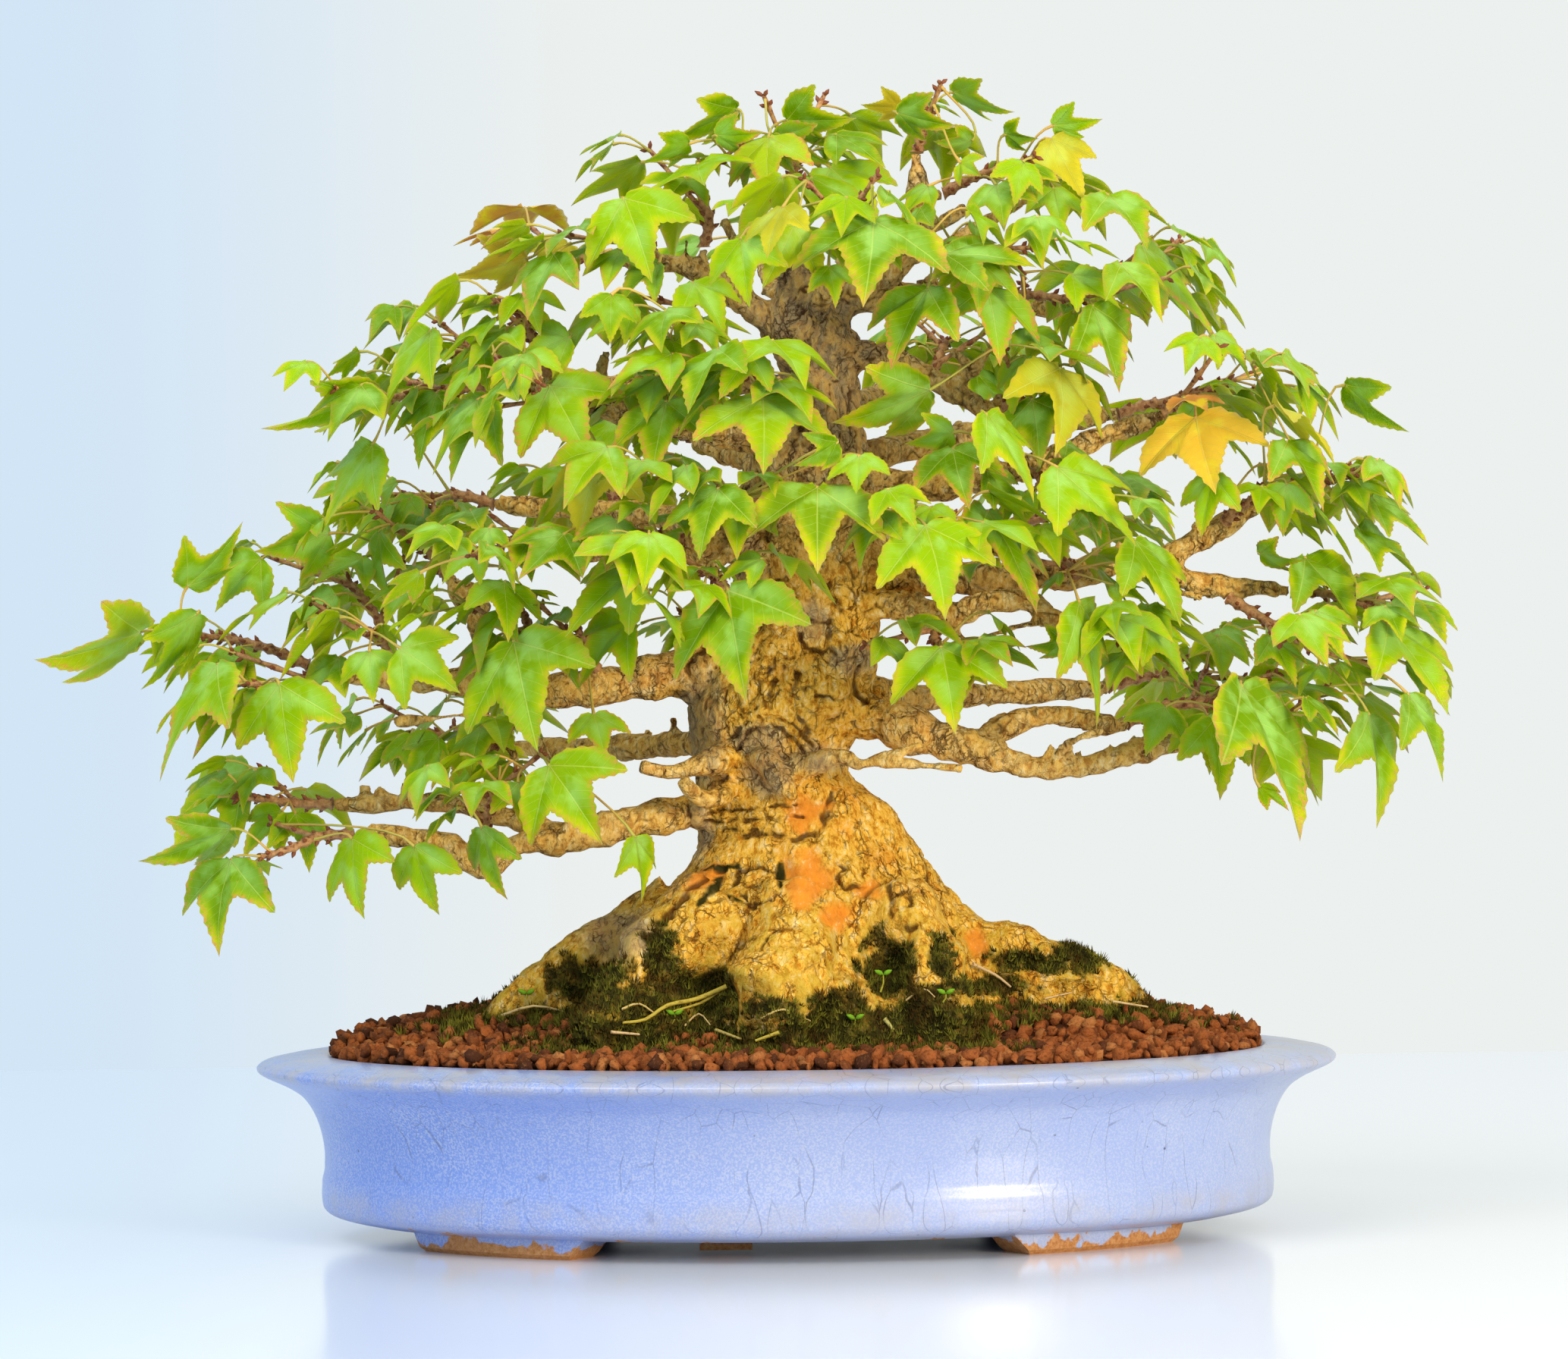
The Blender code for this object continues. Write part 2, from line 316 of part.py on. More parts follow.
def smooth_path(rows, steps):
    """Rows of numbers on a Catmull-Rom curve through the given rows."""
    out = []
    last = len(rows) - 1
    for i in range(last):
        p0, p1, p2, p3 = rows[max(i - 1, 0)], rows[i], rows[i + 1], rows[min(i + 2, last)]
        for s in range(steps):
            t = s / steps
            out.append(tuple(0.5 * (2 * b + (c - a) * t + (2 * a - 5 * b + 4 * c - d) * t * t
                                    + (3 * b - a - 3 * c + d) * t ** 3) for a, b, c, d in zip(p0, p1, p2, p3)))
    out.append(tuple(rows[last]))
    return out


def tube(points, radii, sides, first=None):
    """Points and faces of a closed tube along a path, which can start square to a given direction."""
    verts, faces = [], []
    ahead = (points[1] - points[0]).normalized()
    side = ahead.cross(Vector((0.13, 0.21, 0.97))).normalized()
    for i, point in enumerate(points):
        before, after = points[max(i - 1, 0)], points[min(i + 1, len(points) - 1)]
        ahead = first if first is not None and i == 0 else (after - before).normalized()
        side = (side - ahead * side.dot(ahead)).normalized()
        up = ahead.cross(side)
        for k in range(sides):
            turn = math.tau * k / sides
            verts.append(point + (side * math.cos(turn) + up * math.sin(turn)) * radii[i])
    for i in range(len(points) - 1):
        for k in range(sides):
            a, b = i * sides + k, i * sides + (k + 1) % sides
            faces.append((a, b, b + sides, a + sides))
    faces.append(tuple(range(sides - 1, -1, -1)))
    faces.append(tuple(range((len(points) - 1) * sides, len(points) * sides)))
    return verts, faces


def limb_points(name):
    """Middle line and radii of a limb, as true places."""
    if name == "trunk":
        rows = smooth_path(TRUNK, 3)
        return [Vector((r[1] + POT_X, r[2], r[0])) for r in rows], [min(r[3], r[4]) for r in rows]
    rows = smooth_path(LIMBS[name], 4)
    return [seen(r[0], r[1], r[2]) for r in rows], [r[3] for r in rows]


def add_mesh(name, verts, faces, scale=MM):
    """A new object in the scene from points in millimetres, with its faces pointing out."""
    mesh = bpy.data.meshes.new(name)
    mesh.from_pydata([tuple(Vector(v) * scale) for v in verts], [], faces)
    shape = bmesh.new()
    shape.from_mesh(mesh)
    bmesh.ops.remove_doubles(shape, verts=shape.verts, dist=1e-7)
    bmesh.ops.recalc_face_normals(shape, faces=shape.faces)
    bent = [face for face in shape.faces if any(abs((v.co - face.verts[0].co).dot(face.normal)) > 1e-8
                                                for v in face.verts)]
    bmesh.ops.triangulate(shape, faces=bent)
    shape.to_mesh(mesh)
    shape.free()
    obj = bpy.data.objects.new(name, mesh)
    bpy.context.scene.collection.objects.link(obj)
    return obj


def joined(shapes):
    """Several shapes' points and faces as one list."""
    verts, faces = [], []
    for more, more_faces in shapes:
        start = len(verts)
        verts += more
        faces += [tuple(start + i for i in face) for face in more_faces]
    return verts, faces


def apply_modifiers(obj):
    """Keeps the object's evaluated mesh and drops its modifiers."""
    bpy.context.view_layer.update()
    graph = bpy.context.evaluated_depsgraph_get()
    mesh = bpy.data.meshes.new_from_object(obj.evaluated_get(graph))
    obj.modifiers.clear()
    obj.data = mesh


def combine(obj, parts, operation="UNION", solver="EXACT"):
    """One Boolean of the object with all the parts, which are then removed."""
    tools = bpy.data.collections.new(obj.name + "_parts")
    for part in parts:
        tools.objects.link(part)
    cut = obj.modifiers.new("combine", "BOOLEAN")
    cut.operation = operation
    cut.solver = solver
    cut.use_self = operation == "DIFFERENCE"
    cut.operand_type = "COLLECTION"
    cut.collection = tools
    apply_modifiers(obj)
    for part in parts:
        bpy.data.objects.remove(part)
    bpy.data.collections.remove(tools)


def tidy_mesh(obj, distance=1e-6):
    """Merges points that a Boolean left on top of each other, and splits the faces in triangles.

    Flat neighbours are joined first. A way of splitting is only kept if every edge has two faces.
    """
    for flat, quads, others in ((0.4, "BEAUTY", "BEAUTY"), (0.4, "FIXED", "EAR_CLIP"), (0.1, "BEAUTY", "BEAUTY"),
                                (0.0, "BEAUTY", "BEAUTY"), (0.0, "FIXED", "EAR_CLIP"),
                                (0.0, "SHORT_EDGE", "BEAUTY"), (0.0, "LONG_EDGE", "EAR_CLIP")):
        shape = bmesh.new()
        shape.from_mesh(obj.data)
        bmesh.ops.remove_doubles(shape, verts=shape.verts, dist=distance)
        bmesh.ops.dissolve_degenerate(shape, edges=shape.edges, dist=distance)
        if flat:
            bmesh.ops.dissolve_limit(shape, angle_limit=math.radians(flat), verts=shape.verts, edges=shape.edges)
        bmesh.ops.triangulate(shape, faces=shape.faces, quad_method=quads, ngon_method=others)
        drop_crumbs(shape)
        if sound(shape):
            break
        shape.free()
        shape = None
    if shape is None:
        raise ValueError(obj.name + " has an edge without two faces")
    shape.to_mesh(obj.data)
    shape.free()


def drop_crumbs(shape):
    """Removes loose specks that a Boolean can leave, and keeps the one large body."""
    rest, bodies = set(shape.verts), []
    while rest:
        body, edge = set(), [rest.pop()]
        while edge:
            vert = edge.pop()
            body.add(vert)
            fresh = {link.other_vert(vert) for link in vert.link_edges} & rest
            rest -= fresh
            edge += fresh
        bodies.append(body)
    bodies.sort(key=len)
    for body in bodies[:-1]:
        if len(body) < 8:
            bmesh.ops.delete(shape, geom=list(body), context="VERTS")


def sound(shape):
    """Whether every edge has two faces and no face is a sliver without area."""
    return (all(len(edge.link_faces) == 2 for edge in shape.edges)
            and all(face.calc_area() > 1e-13 for face in shape.faces))


def paint(obj, name, color, roughness, metallic=0.0):
    """Gives an object a plain finish, shared by all pieces of that material."""
    material = bpy.data.materials.get(name)
    if material is None:
        material = bpy.data.materials.new(name)
        material.use_nodes = True
        shader = material.node_tree.nodes["Principled BSDF"]
        shader.inputs["Base Color"].default_value = (*color, 1.0)
        shader.inputs["Roughness"].default_value = roughness
        shader.inputs["Metallic"].default_value = metallic
    obj.data.materials.clear()
    obj.data.materials.append(material)


def oval_ring(inset, height, half_width=RIM_HALF_WIDTH, half_depth=RIM_HALF_DEPTH):
    """Points of one oval ring of the pot."""
    ring = []
    for k in range(POT_STEPS):
        turn = math.tau * k / POT_STEPS
        ring.append(Vector((POT_X + (half_width - inset) * math.cos(turn), (half_depth - inset) * math.sin(turn),
                            height)))
    return ring


def lofted(rings):
    """Closed shape through rings of equal count, capped at both ends."""
    count = len(rings[0])
    verts = [point for ring in rings for point in ring]
    faces = [tuple(range(count)), tuple(range(len(verts) - count, len(verts)))]
    for i in range(len(rings) - 1):
        for k in range(count):
            a, b = i * count + k, i * count + (k + 1) % count
            faces.append((a, b, b + count, a + count))
    return verts, faces


def foot_shape(mirror_x, mirror_y):
    """One bracket foot: a curved block under the pot with ends that slant in towards the table."""
    rings = []
    for step in range(FOOT_STEPS + 1):
        share = step / FOOT_STEPS
        ring = []
        for height, slant in ((FOOT_TOP, 0.0), (0.0, FOOT_SLANT)):
            start, stop = FOOT_SPAN[0] + slant, FOOT_SPAN[1] - slant
            turn = math.radians(start + (stop - start) * share)
            for half in (FOOT_OUTER, FOOT_INNER):
                ring.append(Vector((POT_X + mirror_x * half[0] * math.cos(turn), mirror_y * half[1] * math.sin(turn),
                                    height)))
        rings.append([ring[0], ring[1], ring[3], ring[2]])
    return lofted(rings)


def block(middle, half):
    """A rectangular block."""
    x, y, z = middle
    a, b, c = half
    rings = [[Vector((x + i * a, y + j * b, z + k * c)) for i, j in ((-1, -1), (1, -1), (1, 1), (-1, 1))]
             for k in (-1, 1)]
    return lofted(rings)


def round_post(x, y, low, high, radius, sides=12):
    """An upright round post."""
    rings = [[Vector((x + radius * math.cos(math.tau * k / sides), y + radius * math.sin(math.tau * k / sides), z))
              for k in range(sides)] for z in (low, high)]
    return lofted(rings)


def build_pot():
    """Stoneware pot with a broad lip, a belly above its foot line, four bracket feet and two drain holes."""
    rings = [oval_ring(inset, height) for inset, height in reversed(POT_OUTSIDE)]
    rings += [oval_ring(inset, height) for inset, height in POT_INSIDE]
    pot = add_mesh("pot", *lofted(rings))
    feet = [add_mesh("foot", *foot_shape(mx, my)) for mx in (-1, 1) for my in (-1, 1)]
    nub_x, nub_y, nub_half, nub_depth = NUB
    feet.append(add_mesh("nub", *block((POT_X + nub_x, nub_y, 4.0), (nub_half, nub_depth, 3.0))))
    combine(pot, feet)
    drains = [add_mesh("drain", *round_post(POT_X + side * DRAIN_X, 0.0, 0.0, FLOOR + 3.0, DRAIN_RADIUS))
              for side in (-1, 1)]
    combine(pot, drains, "DIFFERENCE")
    tidy_mesh(pot)
    paint(pot, "periwinkle_glaze", (0.35, 0.45, 0.78), 0.25)
    return pot


def screen_shape(x):
    """A square plastic screen over a drain hole, with square openings."""
    edges = SCREEN_CELLS
    half = edges[-1] / 2
    low, high = FLOOR + GAP, FLOOR + GAP + SCREEN_THICK
    last = len(edges) - 1

    def solid(i, j):
        return 0 <= i < last and 0 <= j < last and not (i % 2 == 1 and j % 2 == 1)

    verts, faces, index = [], [], {}

    def corner(i, j, z):
        key = (i, j, z)
        if key not in index:
            index[key] = len(verts)
            verts.append(Vector((POT_X + x + edges[i] - half, edges[j] - half, high if z else low)))
        return index[key]

    for i in range(last):
        for j in range(last):
            if not solid(i, j):
                continue
            for z in (0, 1):
                faces.append((corner(i, j, z), corner(i + 1, j, z), corner(i + 1, j + 1, z), corner(i, j + 1, z)))
            for di, dj, a, b in ((0, -1, (0, 0), (1, 0)), (0, 1, (0, 1), (1, 1)), (-1, 0, (0, 0), (0, 1)),
                                 (1, 0, (1, 0), (1, 1))):
                if not solid(i + di, j + dj):
                    p, q = (i + a[0], j + a[1]), (i + b[0], j + b[1])
                    faces.append((corner(*p, 0), corner(*q, 0), corner(*q, 1), corner(*p, 1)))
    return verts, faces


def build_screens():
    """The two screens that keep soil from falling through the drain holes."""
    screens = []
    for side, label in ((-1, "left"), (1, "right")):
        screen = add_mesh("drain_screen_" + label, *screen_shape(side * DRAIN_X))
        paint(screen, "black_plastic", (0.02, 0.02, 0.02), 0.5)
        screens.append(screen)
    return screens


def soil_height(x, y):
    """Height of the soil at x, y from the pot's middle."""
    reach = MOUND_FRONT if y < MOUND_MIDDLE_Y else MOUND_BACK
    rest = 1.0 - (x / MOUND_HALF_WIDTH) ** 2 - ((y - MOUND_MIDDLE_Y) / reach) ** 2
    return SOIL_EDGE + 1.6 + MOUND_RISE * max(rest, 0.0) ** 0.85


def root_hollow(trunk):
    """The foot of the tree, swollen evenly by a small gap."""
    shape = bmesh.new()
    shape.from_mesh(trunk.data)
    everything = list(shape.verts) + list(shape.edges) + list(shape.faces)
    cut = bmesh.ops.bisect_plane(shape, geom=everything, plane_co=(0, 0, HOLLOW_TOP * MM), plane_no=(0, 0, 1),
                                 clear_outer=True)
    bmesh.ops.holes_fill(shape, edges=[e for e in cut["geom_cut"] if isinstance(e, bmesh.types.BMEdge)])
    bmesh.ops.triangulate(shape, faces=shape.faces)
    shape.normal_update()
    moves = [even_normal(vert) * ROOT_GAP * MM for vert in shape.verts]
    for vert, move in zip(shape.verts, moves):
        vert.co += move
    hollow = bpy.data.objects.new("hollow", bpy.data.meshes.new("hollow"))
    shape.to_mesh(hollow.data)
    shape.free()
    bpy.context.scene.collection.objects.link(hollow)
    return hollow


def even_normal(vert):
    """A direction out of all of a vertex's faces, long enough to carry each of them out by one."""
    normals = [face.normal for face in vert.link_faces]
    way = vert.normal.copy()
    for _ in range(40):
        worst = min(normals, key=way.dot)
        if way.dot(worst) >= 1.0:
            break
        way += worst * (1.02 - way.dot(worst))
    return way if way.length < 4.0 else way.normalized() * 4.0


def build_soil(trunk):
    """Granular soil that fills the pot and mounds round the roots, with a hollow where the tree stands."""
    draw = random.Random(SEED)
    rings = [oval_ring(inset + GAP, height) for inset, height in reversed(POT_INSIDE[1:])]
    rings[0] = [point + Vector((0, 0, GAP)) for point in rings[0]]
    edge = oval_ring(POT_INSIDE[0][0] + 1.9, SOIL_EDGE)
    rings.append(edge)
    for share in SOIL_RINGS:
        ring = []
        for point in edge:
            x, y = (point.x - POT_X) * share, point.y * share
            lift = draw.uniform(-GRAIN_RELIEF, GRAIN_RELIEF)
            ring.append(Vector((POT_X + x, y, soil_height(x, y) + lift)))
        rings.append(ring)
    soil = add_mesh("soil", *lofted(rings))
    cutters = [root_hollow(trunk)]
    for side in (-1, 1):
        half = SCREEN_CELLS[-1] / 2 + GAP
        cutters.append(add_mesh("recess", *block((POT_X + side * DRAIN_X, 0.0, FLOOR + 0.4),
                                                 (half, half, SCREEN_THICK + GAP))))
    combine(soil, cutters, "DIFFERENCE", "MANIFOLD")
    tidy_mesh(soil)
    paint(soil, "akadama_soil", (0.16, 0.05, 0.025), 0.95)
    return soil


def trunk_shape():
    """The trunk's sections joined up, with the roots and the limbs that grow out of it."""
    rings = []
    for height, x, y, half_width, half_depth in smooth_path(TRUNK, 3):
        ring = []
        for k in range(TRUNK_SIDES):
            turn = math.tau * k / TRUNK_SIDES
            flute = 1.0 + 0.05 * math.sin(5 * turn + height * 0.02) * min(1.0, 110.0 / height)
            ring.append(Vector((POT_X + x + half_width * flute * math.cos(turn),
                                y + half_depth * flute * math.sin(turn), height)))
        rings.append(ring)
    shapes = [lofted(rings)]
    for name in LIMBS:
        points, radii = limb_points(name)
        for drop in ROOT_DROPS if name.startswith("root_") else (0.0,):
            shapes.append(tube([point - Vector((0, 0, drop)) for point in points], radii, 10))
    return joined(shapes)


def grow_together(obj):
    """Fuses overlapping shapes into one skin and thins it out, with more faces kept near the ground."""
    remesh = obj.modifiers.new("grow together", "REMESH")
    remesh.mode = "VOXEL"
    remesh.voxel_size = TRUNK_VOXEL * MM
    ease = obj.modifiers.new("ease", "SMOOTH")
    ease.factor = 0.5
    ease.iterations = 3
    apply_modifiers(obj)
    group = obj.vertex_groups.new(name="thin")
    for vert in obj.data.vertices:
        group.add([vert.index], ROOT_WEIGHT if vert.co.z < 120.0 * MM else 1.0, "REPLACE")
    thin = obj.modifiers.new("thin out", "DECIMATE")
    thin.ratio = TRUNK_SHARE
    thin.vertex_group = "thin"
    apply_modifiers(obj)


def build_trunk(stubs):
    """The tree's roots, trunk and main branches, grown together in one body."""
    trunk = add_mesh("trunk", *trunk_shape())
    grow_together(trunk)
    flat = add_mesh("ground", *block((POT_X, 0.0, 30.0), (200.0, 200.0, 28.5)))
    combine(trunk, [flat], "DIFFERENCE", "MANIFOLD")
    combine(trunk, [add_mesh("stub", *shape) for shape in stubs], "UNION", "MANIFOLD")
    tidy_mesh(trunk)
    paint(trunk, "maple_bark", (0.45, 0.27, 0.10), 0.85)
    return trunk


class Crown:
    """What has been placed so far, so that each new leaf can keep clear of it."""

    def __init__(self):
        self.items = []
        self.cores = []

    def add(self, spray, kind, shape):
        low, high = span(shape[0])
        self.items.append((spray, kind, low, high, BVHTree.FromPolygons(*shape)))

    def add_core(self, points, radii):
        self.cores += list(zip(points, radii))

    def blocked(self, spray, kind, shape):
        """Whether a shape meets anything but its own spray's stems."""
        low, high = span(shape[0])
        tree = None
        for owner, what, low2, high2, other in self.items:
            if owner == spray and kind == "stem" and what == "stem":
                continue
            if any(low[i] > high2[i] or high[i] < low2[i] for i in range(3)):
                continue
            if tree is None:
                tree = BVHTree.FromPolygons(*shape)
            if tree.overlap(other):
                return True
        if kind == "blade":
            for point in shape[0]:
                for middle, radius in self.cores:
                    if (point - middle).length_squared < (radius + LIMB_CLEARANCE) ** 2:
                        return True
        return False


def span(points):
    """Lowest and highest corner of some points."""
    return (tuple(min(p[i] for p in points) for i in range(3)), tuple(max(p[i] for p in points) for i in range(3)))


def blade_outline(size):
    """Outline from one side of the base round to the other, as shares of the leaf's length."""
    half = LEAF_OUTLINES[size]
    return list(half) + [(u, -v) for u, v in reversed(half[:-1])]


def blade(base, along, across, up, size, spare=0.0):
    """A thin three-lobed blade. along and across are as long as the leaf, and up is its upper side."""
    length = along.length
    width = PETIOLE_RADIUS + spare
    lift = up * spare
    drop = up * -(BLADE_THICK + spare)
    side = across.normalized()
    outline = blade_outline(size)
    edge = []
    for u, v in outline:
        edge.append(base + along * u + across * v - up * length * (LEAF_ARCH * u * u + LEAF_CAMBER * v * v))
    verts = [base + side * width + lift] + [p + lift for p in edge] + [base - side * width + lift]
    count = len(edge)
    under = len(verts)
    verts += [base + drop * 1.5] + [p + drop for p in edge]
    faces = []
    middle = count // 2 + 1
    last = count + 1
    for k in range(1, middle):
        faces.append((0, k, k + 1))
    for k in range(middle, count):
        faces.append((last, k, k + 1))
    faces.append((0, middle, last))
    for k in range(1, count):
        faces.append((under, under + k + 1, under + k))
        faces.append((k, under + k, under + k + 1))
        faces.append((k, under + k + 1, k + 1))
    faces += [(0, under, 1), (1, under, under + 1), (count, under + count, under), (count, under, last)]
    return verts, faces, (0, last, under)


def leaf(base, along, across, up, foot, size, spare=0.0):
    """A blade and its stalk down to the foot, and the stalk alone."""
    verts, faces, mouth = blade(base, along, across, up, size, spare)
    back = -along.normalized()
    way = (foot - base).normalized()
    middle = (verts[mouth[0]] + verts[mouth[1]] + verts[mouth[2]]) / 3
    spokes = [verts[i] - middle for i in mouth]
    stem_verts, stem_faces = [verts[i] for i in mouth], [(0, 1, 2)]
    ring, stem_ring = mouth, (0, 1, 2)
    stations = [(foot, (PETIOLE_END + spare) / (PETIOLE_RADIUS + spare))]
    if way.dot(back) < 0.62:
        bend = base + (back + way * 0.4).normalized() * min(PETIOLE_BEND, (foot - base).length * 0.35)
        turn = back.rotation_difference(((foot - bend).normalized() + back * 0.4).normalized())
        stations.insert(0, (bend, 1.0))
        spokes = [turn @ spoke for spoke in spokes]
    for place, share in stations:
        corners = [place + spoke * share for spoke in spokes]
        fresh = tuple(range(len(verts), len(verts) + 3))
        stem_fresh = tuple(range(len(stem_verts), len(stem_verts) + 3))
        verts += corners
        stem_verts += corners
        for a, b in ((0, 1), (1, 2), (2, 0)):
            faces.append((ring[a], ring[b], fresh[b], fresh[a]))
            stem_faces.append((stem_ring[a], stem_ring[b], stem_fresh[b], stem_fresh[a]))
        ring, stem_ring = fresh, stem_fresh
    faces.append(ring)
    stem_faces.append(stem_ring)
    return (verts, faces), (stem_verts, stem_faces)


def leaf_size(length):
    """Which outline a leaf of this length gets."""
    return "large" if length > LEAF_SIZES[0] else "middle" if length > LEAF_SIZES[1] else "small"


def hand_pose(row, y):
    """Base, length and side vectors and upper side of a leaf that the front view shows at the given places."""
    base, tip, one, two = (seen(row[i], row[i + 1], y) for i in (0, 2, 4, 6))
    along = tip - base
    across = (two - one) / (2 * SIDE_TIP)
    a, b, c = along.length_squared, across.length_squared, along.dot(across)
    root = math.sqrt((b - a) ** 2 + 4 * c * c)
    ahead = math.sqrt(max((b - a + root) / 2, 0.0))
    sideways = math.sqrt(max((a - b + root) / 2, 0.0))
    along.y = -ahead
    across.y = sideways if c > 0 else -sideways
    up = along.cross(across).normalized()
    if up.y > 0.2 or (abs(up.y) <= 0.2 and up.z < 0):
        up = -up
    return base, along, across, up


def grown_pose(foot, draw, outward):
    """A leaf that spreads out and down from a twig."""
    around = math.atan2(outward.y, outward.x) + draw.gauss(0.0, 0.75)
    rise = draw.uniform(-0.35, 0.75)
    way = Vector((math.cos(around), math.sin(around), rise)).normalized()
    base = foot + way * draw.uniform(8.0, 22.0)
    length = draw.uniform(15.0, 31.0)
    droop = draw.uniform(0.15, 1.1)
    along = Vector((math.cos(around), math.sin(around), -droop)).normalized()
    across = along.cross(Vector((0, 0, 1))).normalized()
    up = across.cross(along).normalized()
    if up.z < 0:
        up = -up
    across = (across + up * draw.uniform(-0.45, 0.45)).normalized()
    up = along.cross(across)
    if up.z < 0:
        up = -up
    return base, along * length, across * length * draw.uniform(0.85, 1.05), up.normalized()


def inside_crown(points):
    """Whether all points lie in the crown's outline, and off the bare trunk and the low middle."""
    for p in points:
        x, y, z = p.x - POT_X, p.y, p.z
        tall = CROWN_HALF[2] if z > CROWN_MIDDLE_Z else 60.0
        if (x / CROWN_HALF[0]) ** 2 + (y / CROWN_HALF[1]) ** 2 + ((z - CROWN_MIDDLE_Z) / tall) ** 2 > 1.0:
            return False
        if z < CROWN_FLOOR or (z < 176.0 and math.hypot(x, y) < CROWN_HOLLOW):
            return False
    return True


def twig_start(limb, share, end):
    """Where a spray's twig leaves its limb, with the limb's middle there."""
    points, radii = limb_points(limb)
    place = share * (len(points) - 1)
    index = min(int(place), len(points) - 2)
    middle = points[index].lerp(points[index + 1], place - index)
    way = (end - middle).normalized()
    reach = STUB_REACH if share == 1.0 else radii[index] + STUB_REACH
    if limb == "trunk":
        reach += 2.5
    root = [middle - way * radii[index] * 0.7] if share < 1.0 else [points[-5], middle]
    return root, middle + way * reach


def grow_twigs(draw):
    """Each spray's main twig, and the stub on the limb that it meets face to face."""
    twigs, stubs = {}, []
    for name, (limb, share, far, side_twigs, fill) in SPRAYS.items():
        end = seen(far[0], far[1], far[2])
        root, start = twig_start(limb, share, end)
        way = (end - start).normalized()
        begin = start + way * GAP
        across = way.cross(Vector((0, 0, 1))).normalized()
        points = [begin]
        for step in (0.36, 0.7):
            wander = across * draw.uniform(-TWIG_WOBBLE, TWIG_WOBBLE)
            lift = Vector((0, 0, draw.uniform(-0.5, 1.0) * TWIG_WOBBLE))
            points.append(begin.lerp(end, step) + wander + lift)
        points.append(end)
        radii = [TWIG_RADIUS[0] + (TWIG_RADIUS[1] - TWIG_RADIUS[0]) * k / (len(points) - 1)
                 for k in range(len(points))]
        stubs.append(tube(root + [start], [STUB_RADIUS] * (len(root) + 1), 4))
        twigs[name] = {"main": (points, radii), "way": way, "side": [], "across": across}
    return twigs, stubs


def place_everything():
    """Twigs and leaves of every spray, each clear of all the others."""
    draw = random.Random(SEED)
    crown = Crown()
    for name in ["trunk", *LIMBS]:
        points, radii = limb_points(name)
        if name != "trunk":
            crown.add("limb", "limb", tube(points, [r + LIMB_CLEARANCE for r in radii], 8))
        crown.add_core(points, radii)
    twigs, stubs = grow_twigs(draw)
    for shape in stubs:
        crown.add("limb", "limb", shape)
    for name, twig in twigs.items():
        points, radii = twig["main"]
        crown.add(name, "stem", tube(points, [r + CLEARANCE for r in radii], 4, twig["way"]))
    for name, (limb, share, far, side_twigs, fill) in SPRAYS.items():
        grow_side_twigs(name, twigs[name], side_twigs, crown, draw)
    leaves = {name: [] for name in SPRAYS}
    missing = 0
    for name, (depth, rows) in HAND_LEAVES.items():
        for row in rows:
            if not place_hand_leaf(name, depth, row, twigs, crown, leaves):
                missing += 1
    for name, (limb, share, far, side_twigs, fill) in SPRAYS.items():
        for _ in range(fill):
            place_fill_leaf(name, twigs[name], crown, leaves, draw)
    return twigs, stubs, leaves, missing


def grow_side_twigs(name, twig, count, crown, draw):
    """Side twigs that fan out from the main one, left and right in turn."""
    points, radii = twig["main"]
    for k in range(count):
        share = 1.1 + 1.6 * k / max(count - 1, 1)
        index = min(int(share), 2)
        start = points[index].lerp(points[index + 1], share - index)
        ahead = (points[index + 1] - points[index]).normalized()
        side = twig["across"] * (1 if k % 2 == 0 else -1)
        for length in (draw.uniform(20.0, 34.0), 16.0, 11.0):
            way = (ahead * 0.7 + side * 0.8 + Vector((0, 0, draw.uniform(-0.1, 0.5)))).normalized()
            path = [start, start + way * length]
            shape = tube([start + way * (TWIG_RADIUS[0] + 1.0), path[1]], [SIDE_TWIG_RADIUS[0] + CLEARANCE] * 2, 4)
            if not crown.blocked(name, "stem", shape):
                twig["side"].append(path)
                crown.add(name, "stem", shape)
                break


def feet_on(twig):
    """Places on a spray's twigs where stalks can start, from the far end back."""
    points, radii = twig["main"]
    places = []
    for index, share in ((2, 0.98), (2, 0.62), (2, 0.3), (1, 0.92), (1, 0.6), (1, 0.3)):
        places.append(points[index].lerp(points[index + 1], share))
    for start, end in twig["side"]:
        places += [start.lerp(end, 0.96), start.lerp(end, 0.6)]
    return places


def folds_over(shape):
    """Whether a shape passes through itself."""
    verts, faces = shape
    tree = BVHTree.FromPolygons(verts, faces)
    return any(not set(faces[a]) & set(faces[b]) for a, b in tree.overlap(tree))


def try_leaf(name, pose, foot, size, crown, leaves):
    """Places one leaf if it is clear of everything else."""
    base, along, across, up = pose
    if max(base.y + (along * u + across * v).y for u, v in blade_outline(size)) > BACK_LIMIT:
        return False
    if (foot - base).normalized().dot(along.normalized()) > 0.5:
        return False
    if folds_over(leaf(base, along, across, up, foot, size)[0]):
        return False
    wide_blade = blade(base, along, across, up, size, CLEARANCE)
    if crown.blocked(name, "blade", wide_blade[:2]):
        return False
    wide_stem = leaf(base, along, across, up, foot, size, CLEARANCE)[1]
    if crown.blocked(name, "stem", wide_stem):
        return False
    crown.add(name, "blade", wide_blade[:2])
    crown.add(name, "stem", wide_stem)
    leaves[name].append((base, along, across, up, foot, size))
    return True


